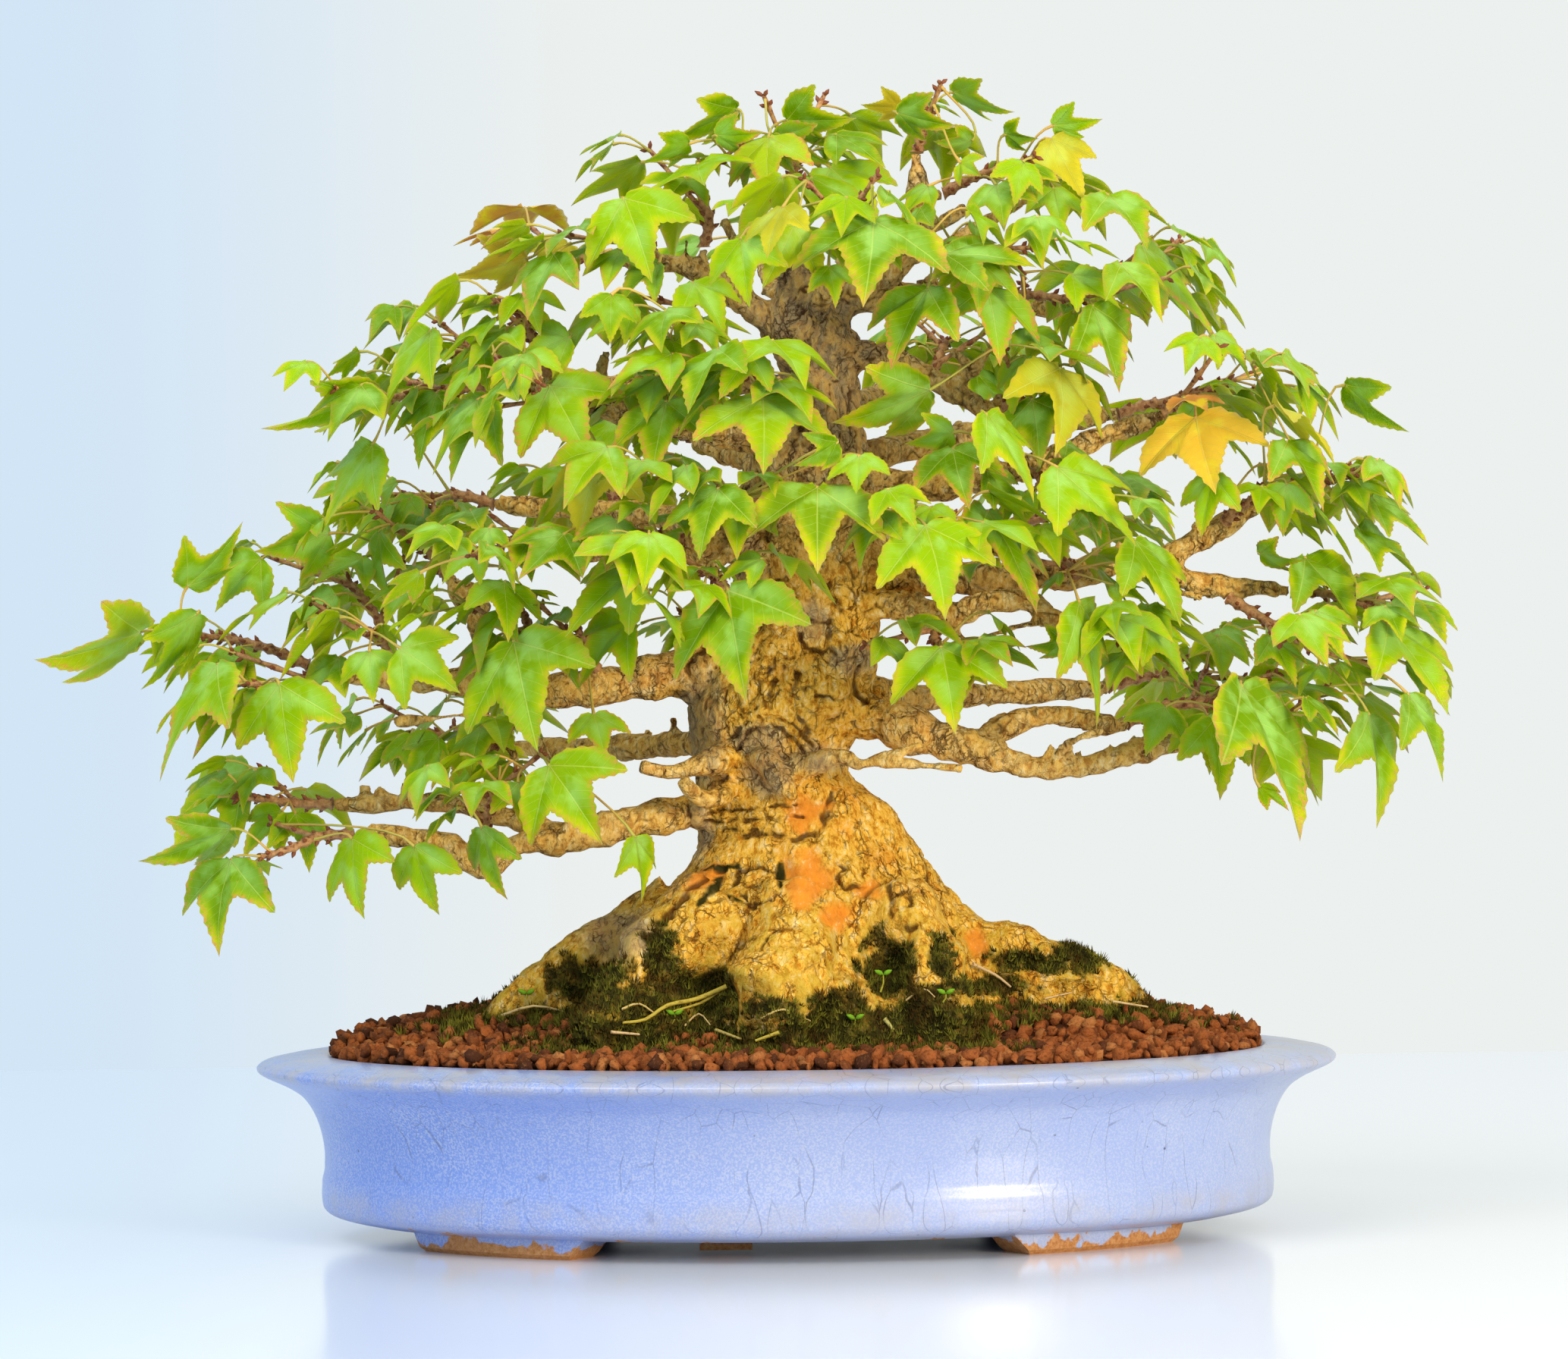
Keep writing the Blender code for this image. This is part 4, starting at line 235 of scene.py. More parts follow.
# Leaves placed one by one. Each spray's depth, then for each leaf the x and z of its base, of its long tip and
# of its two side tips
HAND_LEAVES = {
    "left_main_tip": (-6, ((-230, 215, -261, 199, -254, 199, -237, 227), (-213, 231, -189, 249, -206, 247, -190, 241),
                           (-210, 221, -225, 192, -222, 214, -212, 205))),
    "left_main_front": (-46, ((-203, 203, -228, 167, -236, 178, -207, 180),
                             (-181, 196, -177, 162, -200, 181, -163, 190))),
    "left_main_rise": (4, ((-187, 240, -205, 224, -208, 238, -190, 222), (-163, 249, -187, 239, -184, 252, -178, 226),
                           (-161, 227, -180, 215, -178, 229, -168, 217))),
    "left_low_tip": (-36, ((-199, 134, -209, 104, -223, 120, -190, 122), (-199, 145, -229, 129, -216, 145, -210, 128),
                           (-156, 141, -156, 114, -168, 119, -144, 133), (-134, 138, -129, 113, -143, 117, -120, 123))),
    "left_low_fork_tip": (-8, ((-192, 166, -224, 142, -216, 166, -200, 150),
                             (-181, 151, -197, 137, -195, 149, -182, 137),
                               (-176, 150, -168, 132, -180, 140, -160, 139))),
    "left_low_front": (-62, ((-86, 166, -67, 141, -91, 141, -58, 165), (-97, 160, -92, 143, -104, 150, -84, 150),
                             (-56, 140, -50, 118, -61, 128, -47, 130), (-110, 144, -106, 118, -119, 127, -103, 132))),
    "left_low_riser": (-16, ((-108, 171, -122, 157, -126, 169, -100, 158),
                             (-125, 176, -140, 160, -136, 174, -121, 161))),
    "left_main_inner": (-56, ((-98, 210, -91, 175, -119, 185, -75, 207), (-101, 231, -99, 213, -115, 225, -89, 220))),
    "left_main_near": (-46, ((-57, 217, -79, 198, -74, 220, -58, 205), (-70, 184, -66, 170, -79, 177, -58, 180))),
    "left_main_star": (-46, ((-149, 207, -148, 190, -161, 199, -139, 202),
                             (-138, 208, -117, 194, -141, 193, -123, 217))),
    "left_riser_tip": (6, ((-145, 249, -146, 222, -153, 230, -142, 232), (-134, 231, -145, 219, -146, 230, -123, 229),
                           (-118, 257, -126, 241, -124, 252, -117, 245))),
    "left_mid_tip": (-54, ((-110, 243, -124, 234, -122, 244, -108, 234), (-106, 250, -108, 238, -114, 246, -99, 245),
                           (-53, 236, -83, 217, -78, 236, -62, 220))),
    "left_back_tip": (50, ((-130, 258, -160, 243, -157, 255, -138, 243), (-150, 300, -168, 290, -166, 300, -152, 289))),
    "left_upper_tip": (-18, ((-126, 320, -147, 291, -146, 314, -127, 306), (-124, 298, -133, 273, -143, 290, -117, 288),
                             (-146, 299, -183, 280, -161, 303, -163, 287),
                             (-147, 280, -168, 251, -165, 273, -146, 263))),
    "left_upper_front": (-58, ((-84, 300, -70, 276, -100, 281, -65, 302), (-104, 295, -125, 271, -123, 292, -105, 280),
                               (-67, 275, -76, 246, -88, 263, -54, 267))),
    "left_upper_rise": (-44, ((-107, 313, -122, 296, -125, 307, -111, 300), (-93, 312, -93, 298, -110, 303, -86, 309),
                              (-77, 317, -96, 312, -92, 324, -84, 306))),
    "left_upper_inner": (-60, ((-43, 294, -48, 270, -60, 286, -27, 288), (-46, 303, -50, 289, -60, 296, -34, 298),
                               (-22, 307, -36, 292, -34, 304, -14, 296))),
    "left_shoulder_tip": (-22, ((-92, 345, -118, 337, -108, 350, -104, 332), (-77, 350, -92, 338, -92, 350, -76, 338),
                                (-62, 371, -84, 362, -76, 376, -72, 362))),
    "left_shoulder_front": (-58, ((-57, 366, -46, 338, -75, 351, -39, 367), (-45, 343, -62, 331, -58, 342, -47, 331))),
    "left_shoulder_rise": (-26, ((-17, 397, -39, 384, -29, 400, -27, 386), (-34, 385, -50, 377, -44, 386, -42, 375),
                                 (-24, 388, -8, 386, -17, 392, -15, 380))),
    "left_shoulder_low": (-62, ((-33, 336, -19, 320, -46, 327, -24, 335), (-41, 316, -34, 299, -52, 302, -32, 307),
                                (-54, 328, -72, 318, -68, 328, -58, 316), (-62, 332, -63, 315, -72, 324, -53, 322))),
    "front_upper_tip": (-88, ((-9, 295, -7, 273, -29, 291, 18, 290), (-13, 310, -24, 297, -27, 305, -4, 299))),
    "crown_top": (-22, ((1, 393, 24, 391, 11, 401, 17, 382), (-4, 387, 16, 375, 8, 390, 0, 374),
                        (16, 376, 33, 359, 8, 360, 37, 372), (-4, 378, -20, 372, -17, 381, -14, 368))),
    "crown_front": (-78, ((31, 357, 30, 331, 4, 350, 56, 349), (3, 356, -7, 334, -16, 349, 12, 335),
                          (-1, 362, -9, 346, -16, 357, 5, 360), (-16, 351, -14, 328, -33, 334, -7, 340),
                          (15, 341, 19, 327, 12, 333, 28, 335))),
    "crown_right_top": (-16, ((60, 402, 79, 391, 67, 405, 72, 394), (41, 397, 27, 397, 34, 403, 33, 393),
                              (40, 395, 60, 388, 51, 397, 49, 383), (66, 385, 53, 382, 60, 388, 58, 379),
                              (62, 377, 68, 372, 70, 380, 62, 370))),
    "crown_right_side": (-22, ((94, 385, 107, 364, 88, 370, 109, 381), (114, 365, 130, 349, 103, 366, 133, 366),
                               (78, 387, 88, 384, 82, 391, 85, 380), (95, 390, 112, 390, 104, 394, 108, 383),
                               (84, 377, 80, 362, 76, 372, 94, 366))),
    "crown_right_front": (-64, ((71, 333, 75, 309, 56, 331, 90, 325), (50, 333, 33, 308, 28, 323, 57, 319),
                                (56, 345, 88, 345, 70, 352, 66, 334))),
    "right_shoulder_tip": (-6, ((100, 355, 132, 329, 108, 360, 111, 342), (126, 347, 157, 314, 148, 317, 165, 329))),
    "right_shoulder_front": (-54, ((108, 326, 121, 297, 101, 307, 125, 317), (101, 337, 118, 326, 104, 326, 118, 338),
                                   (86, 318, 93, 306, 80, 313, 99, 314))),
    "right_upper_tip": (-62, ((96, 304, 100, 276, 82, 296, 114, 281), (50, 297, 18, 281, 33, 308, 41, 284),
                              (84, 308, 76, 288, 71, 302, 87, 300))),
    "right_third_tip": (-34, ((144, 286, 145, 262, 122, 273, 165, 280), (140, 293, 148, 291, 130, 292, 149, 296),
                              (150, 266, 144, 244, 143, 256, 161, 254), (151, 315, 166, 302, 153, 306, 164, 312))),
    "right_third_front": (-72, ((95, 269, 123, 244, 102, 250, 130, 267), (70, 288, 91, 260, 74, 272, 92, 278),
                                (58, 276, 60, 257, 42, 269, 73, 275), (58, 282, 42, 276, 46, 288, 50, 272),
                                (70, 268, 86, 254, 72, 257, 82, 267))),
    "right_riser_tip": (-10, ((197, 297, 215, 277, 207, 297, 203, 285), (206, 257, 227, 242, 222, 252, 212, 244),
                              (201, 246, 226, 230, 222, 240, 211, 232), (165, 306, 180, 294, 169, 308, 176, 298))),
    "right_riser_front": (-44, ((176, 277, 191, 256, 175, 262, 200, 262), (172, 290, 196, 273, 186, 292, 196, 282),
                                (176, 262, 172, 244, 165, 254, 184, 250), (128, 304, 150, 300, 138, 310, 140, 296))),
    "right_main_tip": (-20, ((182, 236, 203, 214, 187, 223, 213, 229), (211, 212, 233, 185, 215, 191, 244, 192),
                             (166, 238, 180, 232, 170, 241, 176, 229))),
    "right_main_low": (-42, ((218, 187, 235, 160, 219, 177, 236, 180), (204, 180, 213, 143, 199, 165, 221, 160),
                             (170, 208, 178, 192, 164, 201, 183, 200))),
    "right_main_front": (-66, ((102, 221, 114, 178, 102, 197, 123, 202), (70, 254, 91, 221, 72, 240, 100, 231),
                               (122, 243, 141, 216, 126, 233, 148, 236))),
    "right_second_tip": (-60, ((96, 208, 84, 204, 92, 211, 91, 199), (127, 212, 140, 196, 124, 201, 142, 208))),
    "right_second_front": (-78, ((53, 206, 58, 180, 39, 186, 78, 192),)),
    "right_low_tip": (-38, ((159, 191, 186, 141, 164, 163, 201, 159), (149, 179, 153, 152, 138, 169, 165, 167),
                            (132, 184, 124, 168, 116, 180, 137, 172), (165, 155, 176, 148, 168, 150, 174, 156))),
    "front_right_tip": (-96, ((48, 249, 58, 219, 26, 241, 66, 248), (35, 262, 44, 250, 30, 256, 50, 262))),
    "front_mid_tip": (-98, ((10, 263, 9, 238, -15, 254, 31, 251), (-25, 263, -35, 240, -45, 257, -14, 258),
                            (17, 279, 3, 269, 8, 284, 14, 272), (25, 274, 24, 262, 14, 269, 35, 270))),
    "front_low_tip": (-100, ((-22, 227, -18, 191, -45, 208, 2, 225), (-50, 226, -36, 212, -46, 238, -30, 222),
                             (-10, 238, -26, 232, -20, 240, -14, 230))),
}

# Leaf outline for a leaf 1 long: along the long lobe and to the side of it, from base to tip
LEAF_OUTLINES = {"large": ((0.05, 0.23), (0.50, 0.60), (0.42, 0.23), (0.66, 0.19), (1.0, 0.0)),
                 "middle": ((0.06, 0.24), (0.50, 0.60), (0.47, 0.22), (1.0, 0.0)),
                 "small": ((0.50, 0.58), (0.47, 0.22), (1.0, 0.0))}
# Shortest large and shortest middle leaf
LEAF_SIZES = (35.0, 25.0)
SIDE_TIP = 0.60
LEAF_ARCH = 0.16
LEAF_CAMBER = 0.28
BLADE_THICK = 0.7
PETIOLE_RADIUS = 0.65
PETIOLE_BEND = 3.5
PETIOLE_END = 0.4

# Twigs of the sprays, the stubs that carry them, and how far leaves keep from other pieces and from limbs
TWIG_RADIUS = (2.3, 1.2)
SIDE_TWIG_RADIUS = (1.2, 0.8)
TWIG_WOBBLE = 3.0
STUB_REACH = 4.6
STUB_RADIUS = 2.7
SEED = 1729
CLEARANCE = 0.5
LIMB_CLEARANCE = 1.2
FILL_TRIES = 26
HAND_SHIFTS = (0, -7, 7, -14, 14, -21, 21, -28, 28, 36)

# Outline of the whole crown that filling leaves keep inside
CROWN_MIDDLE_Z = 182.0
CROWN_HALF = (240.0, 146.0, 214.0)
BACK_LIMIT = 141.0
CROWN_FLOOR = 138.0
CROWN_HOLLOW = 78.0

# Short dead stubs and bare twigs on the limbs: x, z, depth and radius along each one
DEAD_WOOD = (
    ((-20, 158.5, -22, 4.0), (-25, 154.5, -30, 3.6), (-31, 153, -36, 3.4), (-36, 156, -40, 3.2), (-39, 160, -43, 3.0)),
    ((-18, 168, -18, 5.0), (-26, 167, -28, 4.4), (-34, 165, -33, 3.8), (-44, 163, -36, 3.0), (-54, 165, -38, 2.4)),
    ((-12, 168, -24, 5.5), (-8, 164, -32, 5.2), (-4, 159, -35, 3.6), (1, 153, -34, 1.8)),
    ((-2, 163, -28, 4.6), (8, 166, -33, 4.4), (17, 168, -35, 3.4), (24, 165, -38, 2.2), (34, 168, -40, 1.8),
     (46, 172, -42, 1.5)),
    ((28, 166, -38, 1.8), (40, 165, -41, 1.6), (60, 163, -44, 1.3)),
    ((-97, 150, -14, 1.8), (-98, 168, -16, 1.4), (-103, 177, -18, 1.2), (-108, 184, -20, 1.1), (-140, 182, -22, 0.8)),
    ((56, 217, -30, 1.8), (62, 208, -32, 1.6), (74, 211, -34, 1.5), (86, 214, -35, 1.3), (98, 211, -36, 1.0)),
    ((40, 350, -12, 2.8), (52, 354, -16, 2.6), (64, 361, -18, 2.4)),
    ((44, 344, -10, 3.0), (58, 349, -6, 2.6), (74, 358, -4, 2.2), (86, 364, -4, 1.8)),
    ((-56, 244, -34, 2.6), (-64, 248, -38, 2.2), (-72, 252, -40, 1.8)),
    ((-12, 342, -14, 2.6), (-18, 350, -18, 2.4), (-22, 358, -20, 2.2)),
    ((52, 300, -20, 2.4), (60, 298, -22, 2.2), (64, 305, -24, 2.0), (58, 311, -24, 1.6)),
    ((60, 300, -22, 2.0), (66, 304, -26, 1.8), (72, 312, -28, 1.4)),
    ((-60, 290, -20, 2.2), (-66, 302, -26, 1.8), (-64, 312, -30, 1.3)),
    ((126, 233, -15, 2.0), (134, 226, -22, 1.6), (146, 222, -26, 1.2)),
    ((92, 164, -24, 2.0), (98, 172, -30, 1.6), (110, 176, -34, 1.2)),
    ((-14, 248, -30, 3.4), (-26, 236, -38, 2.6), (-38, 240, -44, 2.4)),
)

# Swellings and hollows of trunk and roots, seen from the front: x, z, half width, half height, lean in degrees and
# how far each one stands out
SWELLS = (
    (-27, 107, 15, 11, 20, 5.0), (-31, 124, 15, 5, 32, 3.5), (-13, 122, 11, 9, 0, 2.5), (-13, 121, 5, 4, 0, -3.0),
    (-14, 119, 3.5, 2.5, 0, 2.6), (-57, 102, 6, 9, 0, 3.5), (-66, 100, 5, 8, 10, -3.0), (-48, 98, 5, 12, -8, -5.0),
    (-80, 99, 10, 7, 30, 2.5), (-33, 88, 14, 6, 5, -6.0), (-14, 90, 12, 8, -25, 6.5), (12, 85, 13, 9, 0, 4.5),
    (-1, 83, 5, 5, 0, -3.0), (32, 94, 9, 13, 0, -6.0), (44, 98, 4.5, 13, -6, 4.0), (52, 97, 4, 10, -5, -3.5),
    (62, 100, 9, 7, 0, 2.5), (92, 99, 20, 5, -15, 2.5), (82, 94, 18, 4, -8, -3.5), (95, 89, 12, 3, -8, 3.0),
    (74, 95, 6, 4, 0, 2.5), (-4, 128, 4, 20, 5, -1.5), (16, 140, 9, 20, 20, 2.0), (38, 113, 6, 9, 0, 1.8),
    (20, 127, 6, 6, 0, 1.5), (-28, 140, 10, 4, 0, -1.5), (-30, 186, 9, 20, 0, 1.5), (-5, 209, 8, 8, 0, 3.0),
    (7, 213, 5, 8, -10, -3.5), (18, 208, 6, 7, 0, 3.0), (-5, 199, 5, 5, 0, -3.5), (14, 190, 10, 10, 0, 2.0),
    (-10, 185, 8, 8, 0, 1.5), (24, 196, 5, 9, 0, -2.0), (8, 230, 6, 8, 0, -2.0), (20, 226, 6, 9, -20, 2.5),
    (-36, 148, 3, 14, 0, -1.2), (30, 150, 6, 14, 28, 1.2), (2, 98, 12, 9, 0, 2.0),
)

# Smooth bare patches, grey bark, and moss with painted shade in the root hollows on the trunk: x, z, half width, half
# height and lean
BARE_SPOTS = ((4, 148, 9, 8, 10), (5, 125, 10, 12, -8), (14, 112, 8, 6, 0), (26, 120, 6, 4, 0), (-30, 124, 11, 3.5, 32),
              (64, 101, 5, 6, 0))
GREY_SPOTS = ((-32, 180, 9, 24, 0), (-34, 143, 5, 12, 0), (22, 202, 9, 6, 0), (-12, 174, 10, 6, 0), (-8, 163, 9, 9, 0),
              (8, 216, 6, 8, 0), (10, 167, 12, 5, 0), (-62, 105, 14, 10, 0), (-28, 240, 20, 12, 0))
MOSS_AND_SHADE_SPOTS = ((-30, 119, 7, 1.6, 40), (-23, 128, 6, 1.4, 10), (-5, 126, 1.6, 5, 0), (-20, 116, 5, 1.5, -20),
              (-72, 91, 18, 8, 0), (-48, 96, 6, 13, 0), (-34, 87, 16, 7, 0), (32, 94, 10, 13, 0), (52, 96, 5, 10, 0),
              (84, 94, 20, 4, -8), (12, 80, 16, 5, 0), (-8, 78, 10, 5, 0), (100, 95, 12, 4, -15), (-60, 82, 20, 9, 0),
              (-30, 79, 16, 5, 0), (46, 80, 14, 8, 0), (70, 86, 16, 4, 0))

# Deep cracks seen from the front: half width, then x and z along each one
CRACKS = (
    (1.3, (13, 154), (11, 149), (11, 144), (8, 141)), (0.8, (8, 141), (0, 139), (-9, 141), (-18, 140)),
    (0.9, (14, 131), (18, 128), (15, 125), (18, 122), (24, 121)), (1.1, (34, 121), (34, 112), (37, 107), (43, 106)),
    (0.7, (36, 118), (40, 119), (41, 114), (38, 112)), (0.7, (-29, 149), (-14, 150), (1, 151)),
    (0.7, (-31, 145), (-12, 146), (4, 147)), (0.6, (-26, 142), (-8, 143)), (0.7, (-37, 152), (-36, 136)),
    (1.2, (-24, 128), (-36, 120), (-46, 111)), (0.9, (-21, 121), (-19, 127), (-12, 129), (-6, 126), (-5, 121)),
    (0.7, (-19, 119), (-14, 115), (-8, 117)), (0.8, (-19, 171), (-16, 176), (-10, 179), (-4, 178), (1, 174), (4, 170)),
    (0.7, (-22, 173), (-18, 179), (-10, 182), (-2, 181), (4, 176), (8, 171)), (1.0, (2, 197), (1, 189), (3, 182),
    (6, 176)),
    (0.8, (-6, 196), (-8, 189), (-13, 185)), (1.1, (-27, 207), (-33, 204), (-37, 200), (-34, 195)),
    (0.9, (3, 221), (7, 216), (14, 215)), (1.0, (3, 211), (6, 206), (12, 205)), (0.9, (14, 216), (13, 208), (16, 203)),
    (1.2, (25, 199), (24, 192), (27, 188)), (0.7, (8, 190), (16, 188), (24, 190)), (0.7, (-14, 104), (-24, 96)),
    (0.7, (-6, 108), (-12, 99)), (0.8, (9, 232), (14, 227), (18, 219)), (0.7, (45, 136), (48, 126), (50, 118)),
)

# Straws, thin roots and seedlings on the soil: radius, colour mix, then x and z along each one
LITTER = (
    (1.0, (1.0, 0.0), (-24, 85), (-36, 81), (-46, 79), (-54, 74), (-62, 73)),
    (0.7, (1.0, 0.0), (-26, 84), (-34, 80), (-44, 77)), (0.6, (0.0, 0.0), (-66, 70), (-56, 69)),
    (0.6, (0.3, 0.0), (-104, 76), (-92, 74), (-80, 77)), (0.7, (0.7, 0.0), (-28, 70), (-18, 67)),
    (0.8, (1.0, 0.0), (-6, 69), (-14, 66)), (0.5, (0.2, 0.0), (-72, 82), (-80, 79), (-84, 81)),
    (0.5, (0.5, 0.0), (-62, 78), (-56, 80), (-50, 76)), (0.7, (0.0, 0.0), (62, 92), (70, 88), (76, 84)),
    (0.5, (0.4, 0.0), (57, 91), (60, 86), (64, 83)), (0.6, (0.5, 0.3), (58, 76), (68, 79)),
    (0.9, (0.2, 0.4), (31, 73), (34, 69)), (0.5, (0.1, 0.0), (112, 73), (124, 71)),
    (0.4, (0.3, 0.0), (-40, 72), (-34, 76), (-30, 72)), (0.5, (0.6, 0.0), (-12, 74), (-4, 77), (4, 73)),
    (0.4, (0.0, 0.0), (88, 80), (97, 82)), (0.4, (0.3, 0.0), (40, 80), (46, 84), (50, 81)),
)
SEEDLINGS = ((30, 84, 6.0), (-44, 74, 3.0), (20, 72, 2.5), (-96, 82, 3.0), (52, 80, 3.0))
# Layers of grains: how far each lies above the soil, and how much wider its grains are spaced
GRAIN_LAYERS = ((0.4, 1.0), (1.6, 1.35), (3.0, 2.1))
# How deep the grains lie over the soil, and the longest step over which a straw can lie
GRAINS_DEEP = 6.5
LONGEST_STEP = 24.0

# Half of a leaf's outline for a leaf 1 long, from beside the stalk round to the long tip, and the place of its side tip
LEAF_HALF = ((-0.03, 0.05), (-0.025, 0.18), (0.025, 0.32), (0.10, 0.435), (0.19, 0.525), (0.30, 0.575), (0.41, 0.605),
             (0.52, 0.635), (0.50, 0.54), (0.475, 0.44), (0.44, 0.345), (0.425, 0.265), (0.475, 0.24), (0.55, 0.205),
             (0.64, 0.165), (0.73, 0.125), (0.82, 0.08), (0.91, 0.04), (1.0, 0.0))
SIDE_POINT = 7
# Steps between outline points, depth of the teeth and rings of points, for the leaves of the solids and for added ones
FINE_LEAF = (2, 0.02, (0.4, 0.75, 1.0))
PLAIN_LEAF = (1, 0.0, (0.5, 1.0))
SIDE_VEIN = math.atan2(0.635, 0.52)

# How far above its last leaf a twig is pruned
PRUNED = 4.0

# How often a leaf is tried at the end of each twig, and the spray that gets no more leaves, which would hide the
# turned ones
TIP_TRIES = 18
FULL = "left_shoulder_tip"

# Height of the low ridge round the belly of the pot
RIDGE = 21.5

# Bark plates: how wide they are, how wide and how deep the furrow between them is
BARK_PLATES = ((7.0, 0.055, 1.0), (2.6, 0.10, 0.6))

# Turn from one point to the next on a spiral that covers a ball evenly
GOLDEN_TURN = 2.39996

# Small leaves that crown and back sprays get on top of the others
FULLER = 5

# Leaves that have turned: how gold and how dry, by spray and by the leaf's place in its table
TURNED = {("right_third_tip", 0): (0.75, 0.2), ("right_third_tip", 1): (0.9, 0.9),
          ("left_shoulder_tip", 0): (0.5, 0.5), ("left_shoulder_tip", 1): (0.3, 0.3),
          ("left_shoulder_tip", 2): (0.9, 1.0), ("left_shoulder_tip", 3): (0.85, 0.8),
          ("crown_right_top", 1): (0.5, 0.2), ("crown_right_side", 0): (0.35, 0.1), ("right_upper_tip", 0): (0.3, 0.1),
          ("left_upper_front", 2): (0.3, 0.1), ("right_riser_front", 1): (0.4, 0.2), ("crown_front", 2): (0.3, 0.0)}

# The photograph's frame: its width and the lens in pixels, and how far the camera is pitched, yawed and rolled
PHOTO_WIDTH = 2067
LENS_PIXELS = 8206.0
CAMERA_TURNS = (0.46, 0.04, -0.72)
SENSOR = 36.0

# The pale table in metres: half its width, and its near and far edge
TABLE_HALF = 4.0
TABLE_EDGES = (-3.0, 0.87)

# Lights: name, place, where it points, width, tint, and the setting with its power
LIGHTS = (("above", (-0.6, -1.0, 1.5), (0.0, 0.0, 0.15), 1.2, "fff6e8", "key"),
          ("warm", (1.2, -1.6, 0.5), (0.03, 0.0, 0.16), 0.5, "ffecc8", "warm"))

# Angles over which an edge stays sharp
SHARP = math.radians(75)
POT_SHARP = math.radians(38)


def seen(x, z, y):
    """The true place of a point at depth y that the front view shows at x, z."""
    k = (y - EYE.y) / -EYE.y
    return Vector((EYE.x + (x + POT_X - EYE.x) * k, y, EYE.z + (z - EYE.z) * k))


def smooth_path(rows, steps):
    """Rows of numbers on a Catmull-Rom curve through the given rows."""
    out = []
    last = len(rows) - 1
    for i in range(last):
        p0, p1, p2, p3 = rows[max(i - 1, 0)], rows[i], rows[i + 1], rows[min(i + 2, last)]
        for s in range(steps):
            t = s / steps
            out.append(tuple(0.5 * (2 * b + (c - a) * t + (2 * a - 5 * b + 4 * c - d) * t * t
                                    + (3 * b - a - 3 * c + d) * t ** 3) for a, b, c, d in zip(p0, p1, p2, p3)))
    out.append(tuple(rows[last]))
    return out


def tube(points, radii, sides, first=None):
    """Points and faces of a closed tube along a path, which can start square to a given direction."""
    verts, faces = [], []
    ahead = (points[1] - points[0]).normalized()
    side = ahead.cross(Vector((0.13, 0.21, 0.97))).normalized()
    for i, point in enumerate(points):
        before, after = points[max(i - 1, 0)], points[min(i + 1, len(points) - 1)]
        ahead = first if first is not None and i == 0 else (after - before).normalized()
        side = (side - ahead * side.dot(ahead)).normalized()
        up = ahead.cross(side)
        for k in range(sides):
            turn = math.tau * k / sides
            verts.append(point + (side * math.cos(turn) + up * math.sin(turn)) * radii[i])
    for i in range(len(points) - 1):
        for k in range(sides):
            a, b = i * sides + k, i * sides + (k + 1) % sides
            faces.append((a, b, b + sides, a + sides))
    faces.append(tuple(range(sides - 1, -1, -1)))
    faces.append(tuple(range((len(points) - 1) * sides, len(points) * sides)))
    return verts, faces


def limb_points(name):
    """Middle line and radii of a limb, as true places."""
    if name == "trunk":
        rows = smooth_path(TRUNK, 3)
        return [Vector((r[1] + POT_X, r[2], r[0])) for r in rows], [min(r[3], r[4]) for r in rows]
    rows = smooth_path(LIMBS[name], 4)
    return [seen(r[0], r[1], r[2]) for r in rows], [r[3] for r in rows]


def joined(shapes):
    """Several shapes' points and faces as one list."""
    verts, faces = [], []
    for more, more_faces in shapes:
        start = len(verts)
        verts += more
        faces += [tuple(start + i for i in face) for face in more_faces]
    return verts, faces


def lofted(rings):
    """Closed shape through rings of equal count, capped at both ends."""
    count = len(rings[0])
    verts = [point for ring in rings for point in ring]
    faces = [tuple(range(count)), tuple(range(len(verts) - count, len(verts)))]
    for i in range(len(rings) - 1):
        for k in range(count):
            a, b = i * count + k, i * count + (k + 1) % count
            faces.append((a, b, b + count, a + count))
    return verts, faces


def block(middle, half):
    """A rectangular block."""
    x, y, z = middle
    a, b, c = half
    rings = [[Vector((x + i * a, y + j * b, z + k * c)) for i, j in ((-1, -1), (1, -1), (1, 1), (-1, 1))]
             for k in (-1, 1)]
    return lofted(rings)


def round_post(x, y, low, high, radius, sides=12):
    """An upright round post."""
    rings = [[Vector((x + radius * math.cos(math.tau * k / sides), y + radius * math.sin(math.tau * k / sides), z))
              for k in range(sides)] for z in (low, high)]
    return lofted(rings)


def soil_height(x, y):
    """Height of the soil at x, y from the pot's middle."""
    reach = MOUND_FRONT if y < MOUND_MIDDLE_Y else MOUND_BACK
    rest = 1.0 - (x / MOUND_HALF_WIDTH) ** 2 - ((y - MOUND_MIDDLE_Y) / reach) ** 2
    return SOIL_EDGE + SOIL_OVER + MOUND_RISE * max(rest, 0.0) ** 0.85


class Crown:
    """What has been placed so far, so that each new leaf can keep clear of it."""

    def __init__(self):
        self.items = []
        self.cores = []

    def add(self, spray, kind, shape):
        low, high = span(shape[0])
        self.items.append((spray, kind, low, high, BVHTree.FromPolygons(*shape)))

    def add_core(self, points, radii):
        self.cores += list(zip(points, radii))

    def blocked(self, spray, kind, shape):
        """Whether a shape meets anything but its own spray's stems."""
        low, high = span(shape[0])
        tree = None
        for owner, what, low2, high2, other in self.items:
            if owner == spray and kind == "stem" and what == "stem":
                continue
            if any(low[i] > high2[i] or high[i] < low2[i] for i in range(3)):
                continue
            if tree is None:
                tree = BVHTree.FromPolygons(*shape)
            if tree.overlap(other):
                return True
        if kind == "blade":
            for point in shape[0]:
                for middle, radius in self.cores:
                    if (point - middle).length_squared < (radius + LIMB_CLEARANCE) ** 2:
                        return True
        return False


